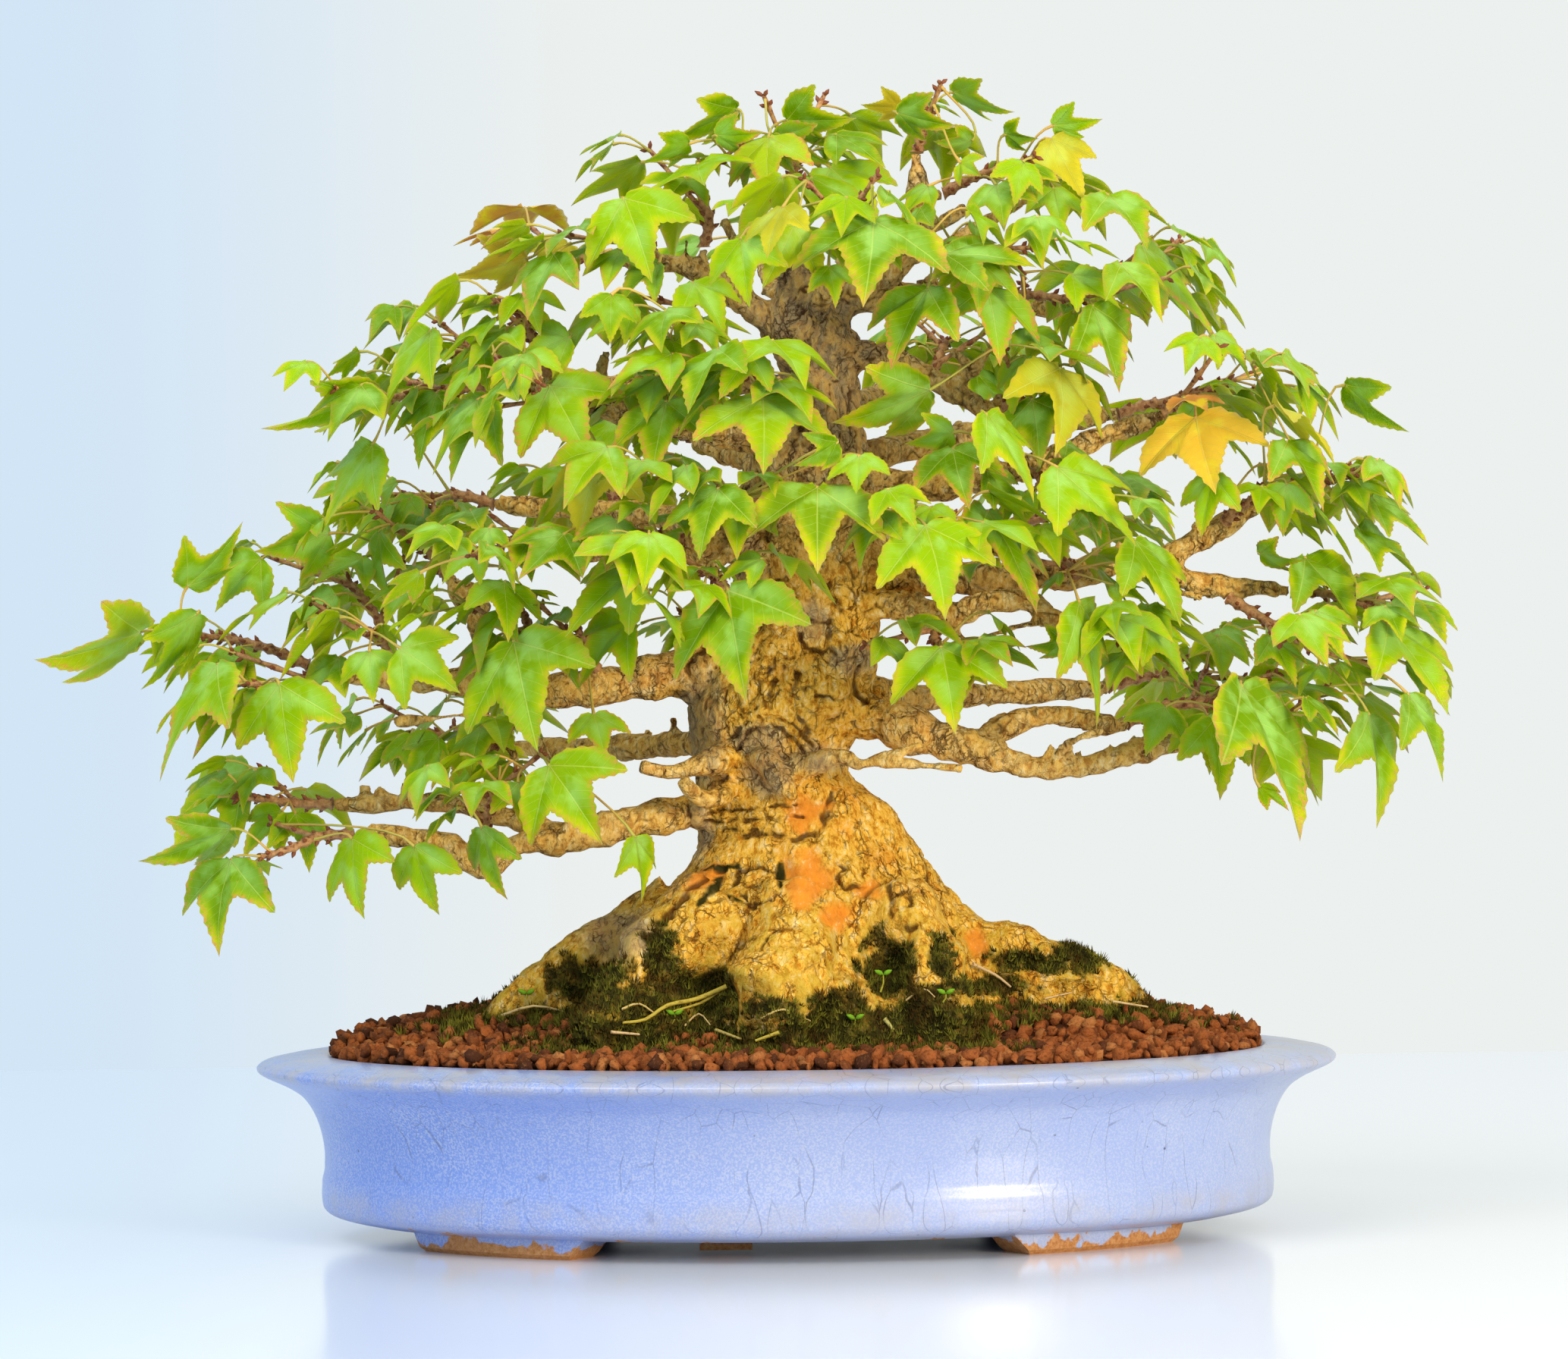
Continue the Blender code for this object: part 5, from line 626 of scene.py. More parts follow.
def span(points):
    """Lowest and highest corner of some points."""
    return (tuple(min(p[i] for p in points) for i in range(3)), tuple(max(p[i] for p in points) for i in range(3)))


def blade_outline(size):
    """Outline from one side of the base round to the other, as shares of the leaf's length."""
    half = LEAF_OUTLINES[size]
    return list(half) + [(u, -v) for u, v in reversed(half[:-1])]


def blade(base, along, across, up, size, spare=0.0):
    """A thin three-lobed blade. along and across are as long as the leaf, and up is its upper side."""
    length = along.length
    width = PETIOLE_RADIUS + spare
    lift = up * spare
    drop = up * -(BLADE_THICK + spare)
    side = across.normalized()
    outline = blade_outline(size)
    edge = []
    for u, v in outline:
        edge.append(base + along * u + across * v - up * length * (LEAF_ARCH * u * u + LEAF_CAMBER * v * v))
    verts = [base + side * width + lift] + [p + lift for p in edge] + [base - side * width + lift]
    count = len(edge)
    under = len(verts)
    verts += [base + drop * 1.5] + [p + drop for p in edge]
    faces = []
    middle = count // 2 + 1
    last = count + 1
    for k in range(1, middle):
        faces.append((0, k, k + 1))
    for k in range(middle, count):
        faces.append((last, k, k + 1))
    faces.append((0, middle, last))
    for k in range(1, count):
        faces.append((under, under + k + 1, under + k))
        faces.append((k, under + k, under + k + 1))
        faces.append((k, under + k + 1, k + 1))
    faces += [(0, under, 1), (1, under, under + 1), (count, under + count, under), (count, under, last)]
    return verts, faces, (0, last, under)


def leaf(base, along, across, up, foot, size, spare=0.0):
    """A blade and its stalk down to the foot, and the stalk alone."""
    verts, faces, mouth = blade(base, along, across, up, size, spare)
    back = -along.normalized()
    way = (foot - base).normalized()
    middle = (verts[mouth[0]] + verts[mouth[1]] + verts[mouth[2]]) / 3
    spokes = [verts[i] - middle for i in mouth]
    stem_verts, stem_faces = [verts[i] for i in mouth], [(0, 1, 2)]
    ring, stem_ring = mouth, (0, 1, 2)
    stations = [(foot, (PETIOLE_END + spare) / (PETIOLE_RADIUS + spare))]
    if way.dot(back) < 0.62:
        bend = base + (back + way * 0.4).normalized() * min(PETIOLE_BEND, (foot - base).length * 0.35)
        turn = back.rotation_difference(((foot - bend).normalized() + back * 0.4).normalized())
        stations.insert(0, (bend, 1.0))
        spokes = [turn @ spoke for spoke in spokes]
    for place, share in stations:
        corners = [place + spoke * share for spoke in spokes]
        fresh = tuple(range(len(verts), len(verts) + 3))
        stem_fresh = tuple(range(len(stem_verts), len(stem_verts) + 3))
        verts += corners
        stem_verts += corners
        for a, b in ((0, 1), (1, 2), (2, 0)):
            faces.append((ring[a], ring[b], fresh[b], fresh[a]))
            stem_faces.append((stem_ring[a], stem_ring[b], stem_fresh[b], stem_fresh[a]))
        ring, stem_ring = fresh, stem_fresh
    faces.append(ring)
    stem_faces.append(stem_ring)
    return (verts, faces), (stem_verts, stem_faces)


def leaf_size(length):
    """Which outline a leaf of this length gets."""
    return "large" if length > LEAF_SIZES[0] else "middle" if length > LEAF_SIZES[1] else "small"


def hand_pose(row, y):
    """Base, length and side vectors and upper side of a leaf that the front view shows at the given places."""
    base, tip, one, two = (seen(row[i], row[i + 1], y) for i in (0, 2, 4, 6))
    along = tip - base
    across = (two - one) / (2 * SIDE_TIP)
    a, b, c = along.length_squared, across.length_squared, along.dot(across)
    root = math.sqrt((b - a) ** 2 + 4 * c * c)
    ahead = math.sqrt(max((b - a + root) / 2, 0.0))
    sideways = math.sqrt(max((a - b + root) / 2, 0.0))
    along.y = -ahead
    across.y = sideways if c > 0 else -sideways
    up = along.cross(across).normalized()
    if up.y > 0.2 or (abs(up.y) <= 0.2 and up.z < 0):
        up = -up
    return base, along, across, up


def grown_pose(foot, draw, outward):
    """A leaf that spreads out and down from a twig."""
    around = math.atan2(outward.y, outward.x) + draw.gauss(0.0, 0.75)
    rise = draw.uniform(-0.35, 0.75)
    way = Vector((math.cos(around), math.sin(around), rise)).normalized()
    base = foot + way * draw.uniform(8.0, 22.0)
    length = draw.uniform(15.0, 31.0)
    droop = draw.uniform(0.15, 1.1)
    along = Vector((math.cos(around), math.sin(around), -droop)).normalized()
    across = along.cross(Vector((0, 0, 1))).normalized()
    up = across.cross(along).normalized()
    if up.z < 0:
        up = -up
    across = (across + up * draw.uniform(-0.45, 0.45)).normalized()
    up = along.cross(across)
    if up.z < 0:
        up = -up
    return base, along * length, across * length * draw.uniform(0.85, 1.05), up.normalized()


def inside_crown(points):
    """Whether all points lie in the crown's outline, and off the bare trunk and the low middle."""
    for p in points:
        x, y, z = p.x - POT_X, p.y, p.z
        tall = CROWN_HALF[2] if z > CROWN_MIDDLE_Z else 60.0
        if (x / CROWN_HALF[0]) ** 2 + (y / CROWN_HALF[1]) ** 2 + ((z - CROWN_MIDDLE_Z) / tall) ** 2 > 1.0:
            return False
        if z < CROWN_FLOOR or (z < 176.0 and math.hypot(x, y) < CROWN_HOLLOW):
            return False
    return True


def twig_start(limb, share, end):
    """Where a spray's twig leaves its limb, with the limb's middle there."""
    points, radii = limb_points(limb)
    place = share * (len(points) - 1)
    index = min(int(place), len(points) - 2)
    middle = points[index].lerp(points[index + 1], place - index)
    way = (end - middle).normalized()
    reach = STUB_REACH if share == 1.0 else radii[index] + STUB_REACH
    if limb == "trunk":
        reach += 2.5
    root = [middle - way * radii[index] * 0.7] if share < 1.0 else [points[-5], middle]
    return root, middle + way * reach


def grow_twigs(draw):
    """Each spray's main twig, and the stub on the limb that it meets face to face."""
    twigs, stubs = {}, []
    for name, (limb, share, far, side_twigs, fill) in SPRAYS.items():
        end = seen(far[0], far[1], far[2])
        root, start = twig_start(limb, share, end)
        way = (end - start).normalized()
        begin = start + way * GAP
        across = way.cross(Vector((0, 0, 1))).normalized()
        points = [begin]
        for step in (0.36, 0.7):
            wander = across * draw.uniform(-TWIG_WOBBLE, TWIG_WOBBLE)
            lift = Vector((0, 0, draw.uniform(-0.5, 1.0) * TWIG_WOBBLE))
            points.append(begin.lerp(end, step) + wander + lift)
        points.append(end)
        radii = [TWIG_RADIUS[0] + (TWIG_RADIUS[1] - TWIG_RADIUS[0]) * k / (len(points) - 1)
                 for k in range(len(points))]
        stubs.append(tube(root + [start], [STUB_RADIUS] * (len(root) + 1), 4))
        twigs[name] = {"main": (points, radii), "way": way, "side": [], "across": across}
    return twigs, stubs


def grow_side_twigs(name, twig, count, crown, draw):
    """Side twigs that fan out from the main one, left and right in turn."""
    points, radii = twig["main"]
    for k in range(count):
        share = 1.1 + 1.6 * k / max(count - 1, 1)
        index = min(int(share), 2)
        start = points[index].lerp(points[index + 1], share - index)
        ahead = (points[index + 1] - points[index]).normalized()
        side = twig["across"] * (1 if k % 2 == 0 else -1)
        for length in (draw.uniform(20.0, 34.0), 16.0, 11.0):
            way = (ahead * 0.7 + side * 0.8 + Vector((0, 0, draw.uniform(-0.1, 0.5)))).normalized()
            path = [start, start + way * length]
            shape = tube([start + way * (TWIG_RADIUS[0] + 1.0), path[1]], [SIDE_TWIG_RADIUS[0] + CLEARANCE] * 2, 4)
            if not crown.blocked(name, "stem", shape):
                twig["side"].append(path)
                crown.add(name, "stem", shape)
                break


def feet_on(twig):
    """Places on a spray's twigs where stalks can start, from the far end back."""
    points, radii = twig["main"]
    places = []
    for index, share in ((2, 0.98), (2, 0.62), (2, 0.3), (1, 0.92), (1, 0.6), (1, 0.3)):
        places.append(points[index].lerp(points[index + 1], share))
    for start, end in twig["side"]:
        places += [start.lerp(end, 0.96), start.lerp(end, 0.6)]
    return places


def folds_over(shape):
    """Whether a shape passes through itself."""
    verts, faces = shape
    tree = BVHTree.FromPolygons(verts, faces)
    return any(not set(faces[a]) & set(faces[b]) for a, b in tree.overlap(tree))


def try_leaf(name, pose, foot, size, crown, leaves):
    """Places one leaf if it is clear of everything else."""
    base, along, across, up = pose
    if max(base.y + (along * u + across * v).y for u, v in blade_outline(size)) > BACK_LIMIT:
        return False
    if (foot - base).normalized().dot(along.normalized()) > 0.5:
        return False
    if folds_over(leaf(base, along, across, up, foot, size)[0]):
        return False
    wide_blade = blade(base, along, across, up, size, CLEARANCE)
    if crown.blocked(name, "blade", wide_blade[:2]):
        return False
    wide_stem = leaf(base, along, across, up, foot, size, CLEARANCE)[1]
    if crown.blocked(name, "stem", wide_stem):
        return False
    crown.add(name, "blade", wide_blade[:2])
    crown.add(name, "stem", wide_stem)
    leaves[name].append((base, along, across, up, foot, size))
    return True


def place_hand_leaf(name, depth, row, twigs, crown, leaves):
    """A leaf where the front view shows it, moved nearer or further until it is clear."""
    for shift in HAND_SHIFTS:
        pose = hand_pose(row, depth + shift)
        size = leaf_size(pose[1].length)
        back = -pose[1].normalized()
        places = sorted(feet_on(twigs[name]),
                        key=lambda p: (p - pose[0]).length * (1.6 - (p - pose[0]).normalized().dot(back)))
        for foot in places[:6]:
            if try_leaf(name, pose, foot, size, crown, leaves):
                return True
    return False


def place_fill_leaf(name, twig, crown, leaves, draw):
    """A leaf at a random place on the spray's twigs."""
    places = feet_on(twig)
    for _ in range(FILL_TRIES):
        foot = draw.choice(places)
        outward = Vector((foot.x - POT_X, foot.y * 1.4, 0.0))
        pose = grown_pose(foot, draw, outward)
        tip = pose[0] + pose[1]
        if not inside_crown((pose[0], tip)):
            continue
        if try_leaf(name, pose, foot, "small", crown, leaves):
            return True
    return False


@functools.lru_cache(maxsize=1)
def grown_tree():
    """Twigs, limb stubs and leaves of every spray, each clear of all the others, and what they have to clear."""
    draw = random.Random(SEED)
    crown = Crown()
    for name in ["trunk", *LIMBS]:
        points, radii = limb_points(name)
        if name != "trunk":
            crown.add("limb", "limb", tube(points, [r + LIMB_CLEARANCE for r in radii], 8))
        crown.add_core(points, radii)
    twigs, stubs = grow_twigs(draw)
    for shape in stubs:
        crown.add("limb", "limb", shape)
    for name, twig in twigs.items():
        points, radii = twig["main"]
        crown.add(name, "stem", tube(points, [r + CLEARANCE for r in radii], 4, twig["way"]))
    for name, (limb, share, far, side_twigs, fill) in SPRAYS.items():
        grow_side_twigs(name, twigs[name], side_twigs, crown, draw)
    leaves = {name: [] for name in SPRAYS}
    for name, (depth, rows) in HAND_LEAVES.items():
        for row in rows:
            place_hand_leaf(name, depth, row, twigs, crown, leaves)
    for name, (limb, share, far, side_twigs, fill) in SPRAYS.items():
        for _ in range(fill):
            place_fill_leaf(name, twigs[name], crown, leaves, draw)
    return twigs, stubs, leaves, crown


def linear(code):
    """An sRGB hex colour as linear red, green and blue."""
    values = [int(code[i:i + 2], 16) / 255 for i in (0, 2, 4)]
    return tuple(v / 12.92 if v <= 0.04045 else ((v + 0.055) / 1.055) ** 2.4 for v in values)


def colour(name, about, code):
    """A colour setting that starts from an sRGB hex value."""
    return FloatVectorProperty(name=name, description=about, default=linear(code), subtype="COLOR", min=0.0, max=1.0)


def size(name, about, value):
    """A size setting in millimetres."""
    return FloatProperty(name=name + " (mm)", description=about, default=value, min=0.0)


def share(name, about, value):
    """A setting from 0 to 1."""
    return FloatProperty(name=name, description=about, default=value, min=0.0, max=1.0, subtype="FACTOR")


class PotLooks(bpy.types.PropertyGroup):
    glaze: colour("Glaze", "Main colour of the glaze", "7090dc")
    glaze_pale: colour("Pale glaze", "Fine mottling in the glaze", "b9c3e2")
    glaze_grey: colour("Thin glaze", "Where the glaze runs thin, on the lip and above the foot", "a9a8b2")
    crackle: colour("Crackle", "Stained lines in the glaze", "505a80")
    clay: colour("Clay", "Bare stoneware under the pot and on the feet", "c8925a")
    crackle_cell: size("Crackle cell", "Width of the cells between the crackle lines", 8.0)
    mottle: size("Mottle", "Width of the pale flecks", 0.75)
    glaze_roughness: share("Glaze roughness", "Roughness of the glaze", 0.32)
    steps: IntProperty(name="Steps round", description="Faces round the pot", default=144, min=36, max=288)


class SoilLooks(bpy.types.PropertyGroup):
    grain_red: colour("Red grain", "Baked clay granules", "9a5528")
    # Also the painted shade between the granules, on the bed under them
    grain_dark: colour("Dark grain", "Damp and old granules", "3c2012")
    grain_tan: colour("Tan grain", "Palest granules", "b97c46")
    moss: colour("Moss", "Tips of the moss", "7f7c2a")
    moss_dark: colour("Dark moss", "Base of the moss", "1d1c08")
    root: colour("Fine roots", "Thin live roots on the soil", "b9a640")
    straw: colour("Straw", "Dry bits of stalk on the soil", "d8b98a")
    grain: size("Grain", "Width of a granule", 5.4)
    grain_spacing: size("Grain spacing", "Least distance between granules", 3.7)
    moss_spacing: size("Moss spacing", "Least distance between moss tufts", 1.9)


class BarkLooks(bpy.types.PropertyGroup):
    ochre: colour("Ochre", "Sunlit old bark", "f2bd48")
    cream: colour("Cream", "Freshly flaked bark", "fee2a0")
    orange: colour("Orange", "Smooth new bark where a plate has come off", "e88c26")
    grey: colour("Grey", "Weathered bark on the limbs", "e6d3a2")
    # Painted shade at the bottom of the cracks and fissures and of the furrows between the bark plates
    crack: colour("Crack", "Bottom of the cracks", "401c06")
    # Also the painted shade in the mossy root hollows
    algae: colour("Algae", "Green film low on the trunk", "33300e")
    fissure: size("Fissure", "Distance between the fine fissures", 5.0)
    relief: size("Relief", "Depth of the fissures", 1.0)
    voxel: size("Voxel", "Grid that the limbs and trunk are grown together on", 1.1)
    triangles: IntProperty(name="Triangles", description="Most triangles for trunk and limbs", default=194000,
                           min=1000, max=199000)


class LeafLooks(bpy.types.PropertyGroup):
    green: colour("Green", "Middle green of the blades", "90b602")
    deep: colour("Deep green", "Darkest blades", "6a9002")
    lime: colour("Lime", "Blade edges and young blades", "b8c406")
    # Painted reflection: the pale bluish sheen of the sky on the blades' upper side
    bloom: colour("Bloom", "Bluish bloom on the upper side", "9acb68")
    vein: colour("Vein", "Main veins", "c8dc6c")
    gold: colour("Gold", "Blades that have turned", "f2c92c")
    rust: colour("Rust", "Dry tips and turned blades", "d08048")
    stalk: colour("Stalk", "Leaf stalks", "d3ac56")
    twig: colour("Twig", "Bark of the thin twigs", "8a5430")
    bud: colour("Bud", "Winter buds and bud scales", "7c3a20")
    more: IntProperty(name="More leaves", description="Small leaves added to each spray", default=7, min=0, max=20)
    fold: share("Fold", "How far a blade rises from its veins", 0.3)
    thick: size("Blade", "Thickness of a blade", 0.35)


class StageLooks(bpy.types.PropertyGroup):
    floor: colour("Floor", "Right side of the pale table", "eef1f6")
    sky: colour("Sky", "Soft light from all round", "ecf0ee")
    sky_left: colour("Sky on the left", "Bluer soft light from the left", "d2e5f6")
    sky_power: FloatProperty(name="Sky strength", description="Strength of the light all round", default=1.0, min=0.0)
    key: FloatProperty(name="Key light", description="Power of the soft light above", default=18.0, min=0.0,
                       unit="POWER")
    warm: FloatProperty(name="Warm light", description="Power of the warm light in front", default=26.0, min=0.0,
                        unit="POWER")


def node(tree, kind, *values, **settings):
    """Adds a node and sets its options, then fills or links its inputs: in order, or by name from a dictionary."""
    made = tree.nodes.new(kind if "Node" in kind else "ShaderNode" + kind)
    for key, value in settings.items():
        setattr(made, key, value)
    wanted = []
    for place, value in enumerate(values):
        if isinstance(value, dict):
            wanted += [(made.inputs[key], entry) for key, entry in value.items()]
        else:
            wanted.append(([socket for socket in made.inputs if socket.enabled][place], value))
    for socket, value in wanted:
        if isinstance(value, bpy.types.Node):
            value = next(out for out in value.outputs if out.enabled)
        if isinstance(value, bpy.types.NodeSocket):
            tree.links.new(value, socket)
        elif socket.type == "RGBA":
            socket.default_value = (*value[:3], 1.0)
        else:
            socket.default_value = value
    return made


def new_material(recipe, looks):
    """A material with the name of its recipe, which gives the shader's inputs."""
    material = bpy.data.materials.new(recipe.__name__)
    material.use_nodes = True
    tree = material.node_tree
    tree.nodes.clear()
    add = functools.partial(node, tree)
    shader = add("BsdfPrincipled", recipe(add, add("TexCoord").outputs["Object"], looks))
    add("OutputMaterial", {"Surface": shader})
    return material


# Options that many nodes share: a sum, a product, a smooth ramp and a blend of two colours
PLUS, TIMES, MORE = {"operation": "ADD"}, {"operation": "MULTIPLY"}, {"operation": "MAXIMUM"}
SMOOTH, TINT = {"interpolation_type": "SMOOTHSTEP"}, {"data_type": "RGBA"}


def per_mm(width):
    """The scale of a texture whose features are as wide as the given millimetres."""
    return 1.0 / (width * MM)


def glazed_stoneware(add, place, looks):
    """Stoneware, dipped in a thick periwinkle glaze: glossy, flecked like milk in water, with a stained crackle.

    The glaze is thin and greyer on the lip and above the foot, and leaves bare clay on the feet. Its right side is
    painted paler, as painted light from the right.
    """
    height = add("SeparateXYZ", place).outputs["Z"]
    side = add("SeparateXYZ", place).outputs["X"]
    fleck = add("TexNoise", place, {"Scale": per_mm(looks.mottle), "Detail": 2.0, "Roughness": 0.6})
    drift = add("TexNoise", place, {"Scale": per_mm(38.0), "Detail": 3.0})
    milk = add("MapRange", fleck, 0.40, 0.66, **SMOOTH)
    milk = add("Math", milk, add("MapRange", drift, 0.34, 0.66, 0.5, 0.8, **SMOOTH), **TIMES)
    base = add("Mix", milk, looks.glaze, looks.glaze_pale, **TINT)
    # Painted light: a paler tint over the right side of the pot, patchy with the drift, where the light falls on it
    painted_right_light = add("MapRange", side, -0.13, 0.06, 0.0, 0.6, **SMOOTH)
    painted_right_light = add("Math", painted_right_light, add("MapRange", drift, 0.3, 0.7, 0.75, 1.0), **TIMES)
    base = add("Mix", painted_right_light, base, linear("b2bcd8"), **TINT)
    thin = add("Math", add("MapRange", height, 0.056, 0.0605, **SMOOTH), add("MapRange", height, 0.024, 0.015, 0.0, 0.6,
               **SMOOTH), **MORE)
    wear = add("TexNoise", place, {"Scale": per_mm(12.0), "Detail": 4.0, "Roughness": 0.6})
    base = add("Mix", add("Math", thin, add("MapRange", wear, 0.38, 0.64, 0.1, 0.85), **TIMES), base, looks.glaze_grey,
               **TINT)
    bend = add("TexNoise", place, {"Scale": 60.0, "Detail": 3.0}).outputs["Color"]
    bent = add("VectorMath", add("VectorMath", bend, (0.002, 0.002, 0.002), operation="MULTIPLY"), place,
               operation="ADD")
    tall = add("Mapping", bent, {"Scale": (1.0, 1.0, 0.16)})
    cells = add("TexVoronoi", tall, {"Scale": per_mm(looks.crackle_cell)}, feature="DISTANCE_TO_EDGE")
    patches = add("TexNoise", add("Mapping", place, {"Scale": (1.0, 1.0, 0.5)}), {"Scale": per_mm(11.0), "Detail": 2.0})
    under_lip = add("MapRange", height, 0.046, 0.055, 0.0, 0.11)
    seen_line = add("MapRange", add("Math", patches, under_lip, **PLUS), 0.42, 0.66, 0.0, 0.45, **SMOOTH)
    line = add("Math", add("MapRange", cells, 0.020, 0.006, **SMOOTH), seen_line, **TIMES)
    spots = add("TexVoronoi", place, {"Scale": per_mm(9.0)})
    pit = add("Math", add("MapRange", spots, 0.07, 0.04, **SMOOTH), add("MapRange", wear, 0.5, 0.6), **TIMES)
    base = add("Mix", add("Math", line, pit, **MORE), base, looks.crackle, **TINT)
    ragged = add("Math", height, add("Math", wear, -0.022, **TIMES), **PLUS)
    bare = add("MapRange", ragged, -0.0062, -0.0070, **SMOOTH)
    grog = add("TexNoise", place, {"Scale": per_mm(1.6), "Detail": 4.0, "Roughness": 0.7})
    clay = add("Mix", add("MapRange", grog, 0.35, 0.65), looks.clay, linear("a8692c"), **TINT)
    base = add("Mix", bare, base, clay, **TINT)
    swell = add("TexNoise", place, {"Scale": per_mm(14.0), "Detail": 1.0})
    dents = add("Math", swell, add("Math", line, -0.12, **TIMES), **PLUS)
    return {"Base Color": base, "Roughness": add("MapRange", bare, 0.0, 1.0, looks.glaze_roughness, 0.85),
            "Coat Weight": 0.2, "Coat Roughness": 0.16, "Specular IOR Level": 0.55,
            "Normal": add("Bump", {"Height": dents, "Distance": 0.35 * MM, "Strength": 0.5})}


def moulded_plastic(add, place, looks):
    """Polyethylene mesh, injection moulded: black and dull, with a faint grain from the mould."""
    grain = add("TexNoise", place, {"Scale": per_mm(0.6), "Detail": 3.0})
    return {"Base Color": add("Mix", grain, linear("161616"), linear("282826"), **TINT), "Roughness": 0.5,
            "Normal": add("Bump", {"Height": grain, "Distance": 0.05 * MM})}


def flaking_bark(add, place, looks):
    """Old trident maple bark, weathered outdoors: ochre flakes over smooth orange, with fissures between them painted
    dark as shade.

    The bark_marks attribute says how deep a point lies in a fissure, how bare, how grey and how mossy it is. The
    fissures are painted shade, the greyest bark high on the trunk is darkened as painted shade under the canopy, and
    the dark moss colour in the mossy root hollows is painted shade too.
    """
    marks = add("Attribute", attribute_name="bark_marks")
    crack, bare, grey = add("SeparateXYZ", marks.outputs["Vector"]).outputs
    moss = marks.outputs["Alpha"]
    tall = add("Mapping", place, {"Scale": (1.0, 1.0, 0.62)})
    broad = add("TexNoise", place, {"Scale": per_mm(17.0), "Detail": 4.0})
    flake = add("TexNoise", tall, {"Scale": per_mm(5.5), "Detail": 4.0, "Roughness": 0.6, "Distortion": 0.6})
    fine = add("TexNoise", tall, {"Scale": per_mm(2.6), "Detail": 5.0, "Roughness": 0.72, "Distortion": 0.3})
    whole = add("MapRange", bare, 0.0, 1.0, 1.0, 0.18)
    old = add("Math", add("MapRange", broad, 0.36, 0.58, 0.35, 1.0, **SMOOTH), whole, **TIMES)
    sway = add("TexNoise", place, {"Scale": per_mm(6.0), "Detail": 4.0, "Roughness": 0.6}).outputs["Color"]
    sway = add("VectorMath", sway, (0.006, 0.006, 0.006), operation="MULTIPLY")
    bent = add("Mapping", add("VectorMath", sway, place, operation="ADD"), {"Scale": (1.0, 1.0, 0.7)})
    furrow = 0.0
    for width, line, depth in BARK_PLATES:
        plates = add("TexVoronoi", bent, {"Scale": per_mm(width)}, feature="DISTANCE_TO_EDGE")
        gap = add("MapRange", plates, line, line * 0.2, 0.0, depth, **SMOOTH)
        furrow = add("Math", furrow, add("Math", gap, add("MapRange", flake, 0.44, 0.56, 1.0, 0.1), **TIMES), **MORE)
    furrow = add("Math", furrow, old, **TIMES)
    base = add("Mix", add("MapRange", fine, 0.36, 0.52, **SMOOTH), linear("c07c1c"), looks.ochre, **TINT)
    base = add("Mix", add("MapRange", fine, 0.52, 0.66, 0.0, 0.85, **SMOOTH), base, looks.cream, **TINT)
    base = add("Mix", add("MapRange", broad, 0.54, 0.70, 0.0, 0.4, **SMOOTH), base, looks.orange, **TINT)
    low = add("MapRange", add("SeparateXYZ", place).outputs["Z"], 0.15, 0.09, **SMOOTH)
    lichen = add("Math", add("MapRange", flake, 0.46, 0.60, 0.0, 0.5, **SMOOTH), low, **TIMES)
    base = add("Mix", lichen, base, linear("a89a30"), **TINT)
    weathered = add("Math", grey, add("MapRange", flake, 0.62, 0.40, 0.5, 0.95), **TIMES)
    grey_bark_and_shade = add("Mix", add("MapRange", fine, 0.38, 0.62), linear("b89c66"), looks.grey, **TINT)
    # Where the grey mark runs high the grey turns darker: high on the trunk this is painted shade under the canopy, and
    # in the middle of the grey spots it is darker grey bark
    grey_bark_and_shade = add("Mix", add("MapRange", grey, 0.6, 0.95), grey_bark_and_shade, linear("9c8a6c"), **TINT)
    base = add("Mix", weathered, base, grey_bark_and_shade, **TINT)
    skin = add("Mix", add("MapRange", flake, 0.36, 0.62), linear("d07a26"), looks.orange, **TINT)
    skin = add("Mix", add("MapRange", fine, 0.60, 0.70, 0.0, 0.6), skin, looks.cream, **TINT)
    base = add("Mix", add("Math", bare, 0.85, **TIMES), base, skin, **TINT)
    # Painted shade: the furrows between the plates, then the fissures and cracks, darken as painted shade
    base = add("Mix", add("Math", furrow, 0.8, **TIMES), base, looks.crack, **TINT)
    base = add("Mix", add("MapRange", crack, 0.15, 0.85, 0.0, 0.85, **SMOOTH), base, looks.crack, **TINT)
    # Moss and green growth darken the roots; in the root hollows the same dark is painted shade
    film_and_hollow_shade = add("Math", moss, add("MapRange", flake, 0.30, 0.55, 1.0, 0.75), **TIMES)
    base = add("Mix", add("MapRange", film_and_hollow_shade, 0.15, 0.75, **SMOOTH), base, looks.algae, **TINT)
    relief = add("Math", add("Math", fine, 0.55, **TIMES), add("Math", flake, 0.6, **TIMES), **PLUS)
    relief = add("Math", relief, add("Math", furrow, 0.4, **TIMES), operation="SUBTRACT")
    relief = add("Math", relief, whole, **TIMES)
    return {"Base Color": base, "Roughness": add("MapRange", bare, 0.0, 1.0, 0.88, 0.65), "Specular IOR Level": 0.12,
            "Normal": add("Bump", {"Height": relief, "Distance": 2.2 * MM, "Strength": 1.0})}


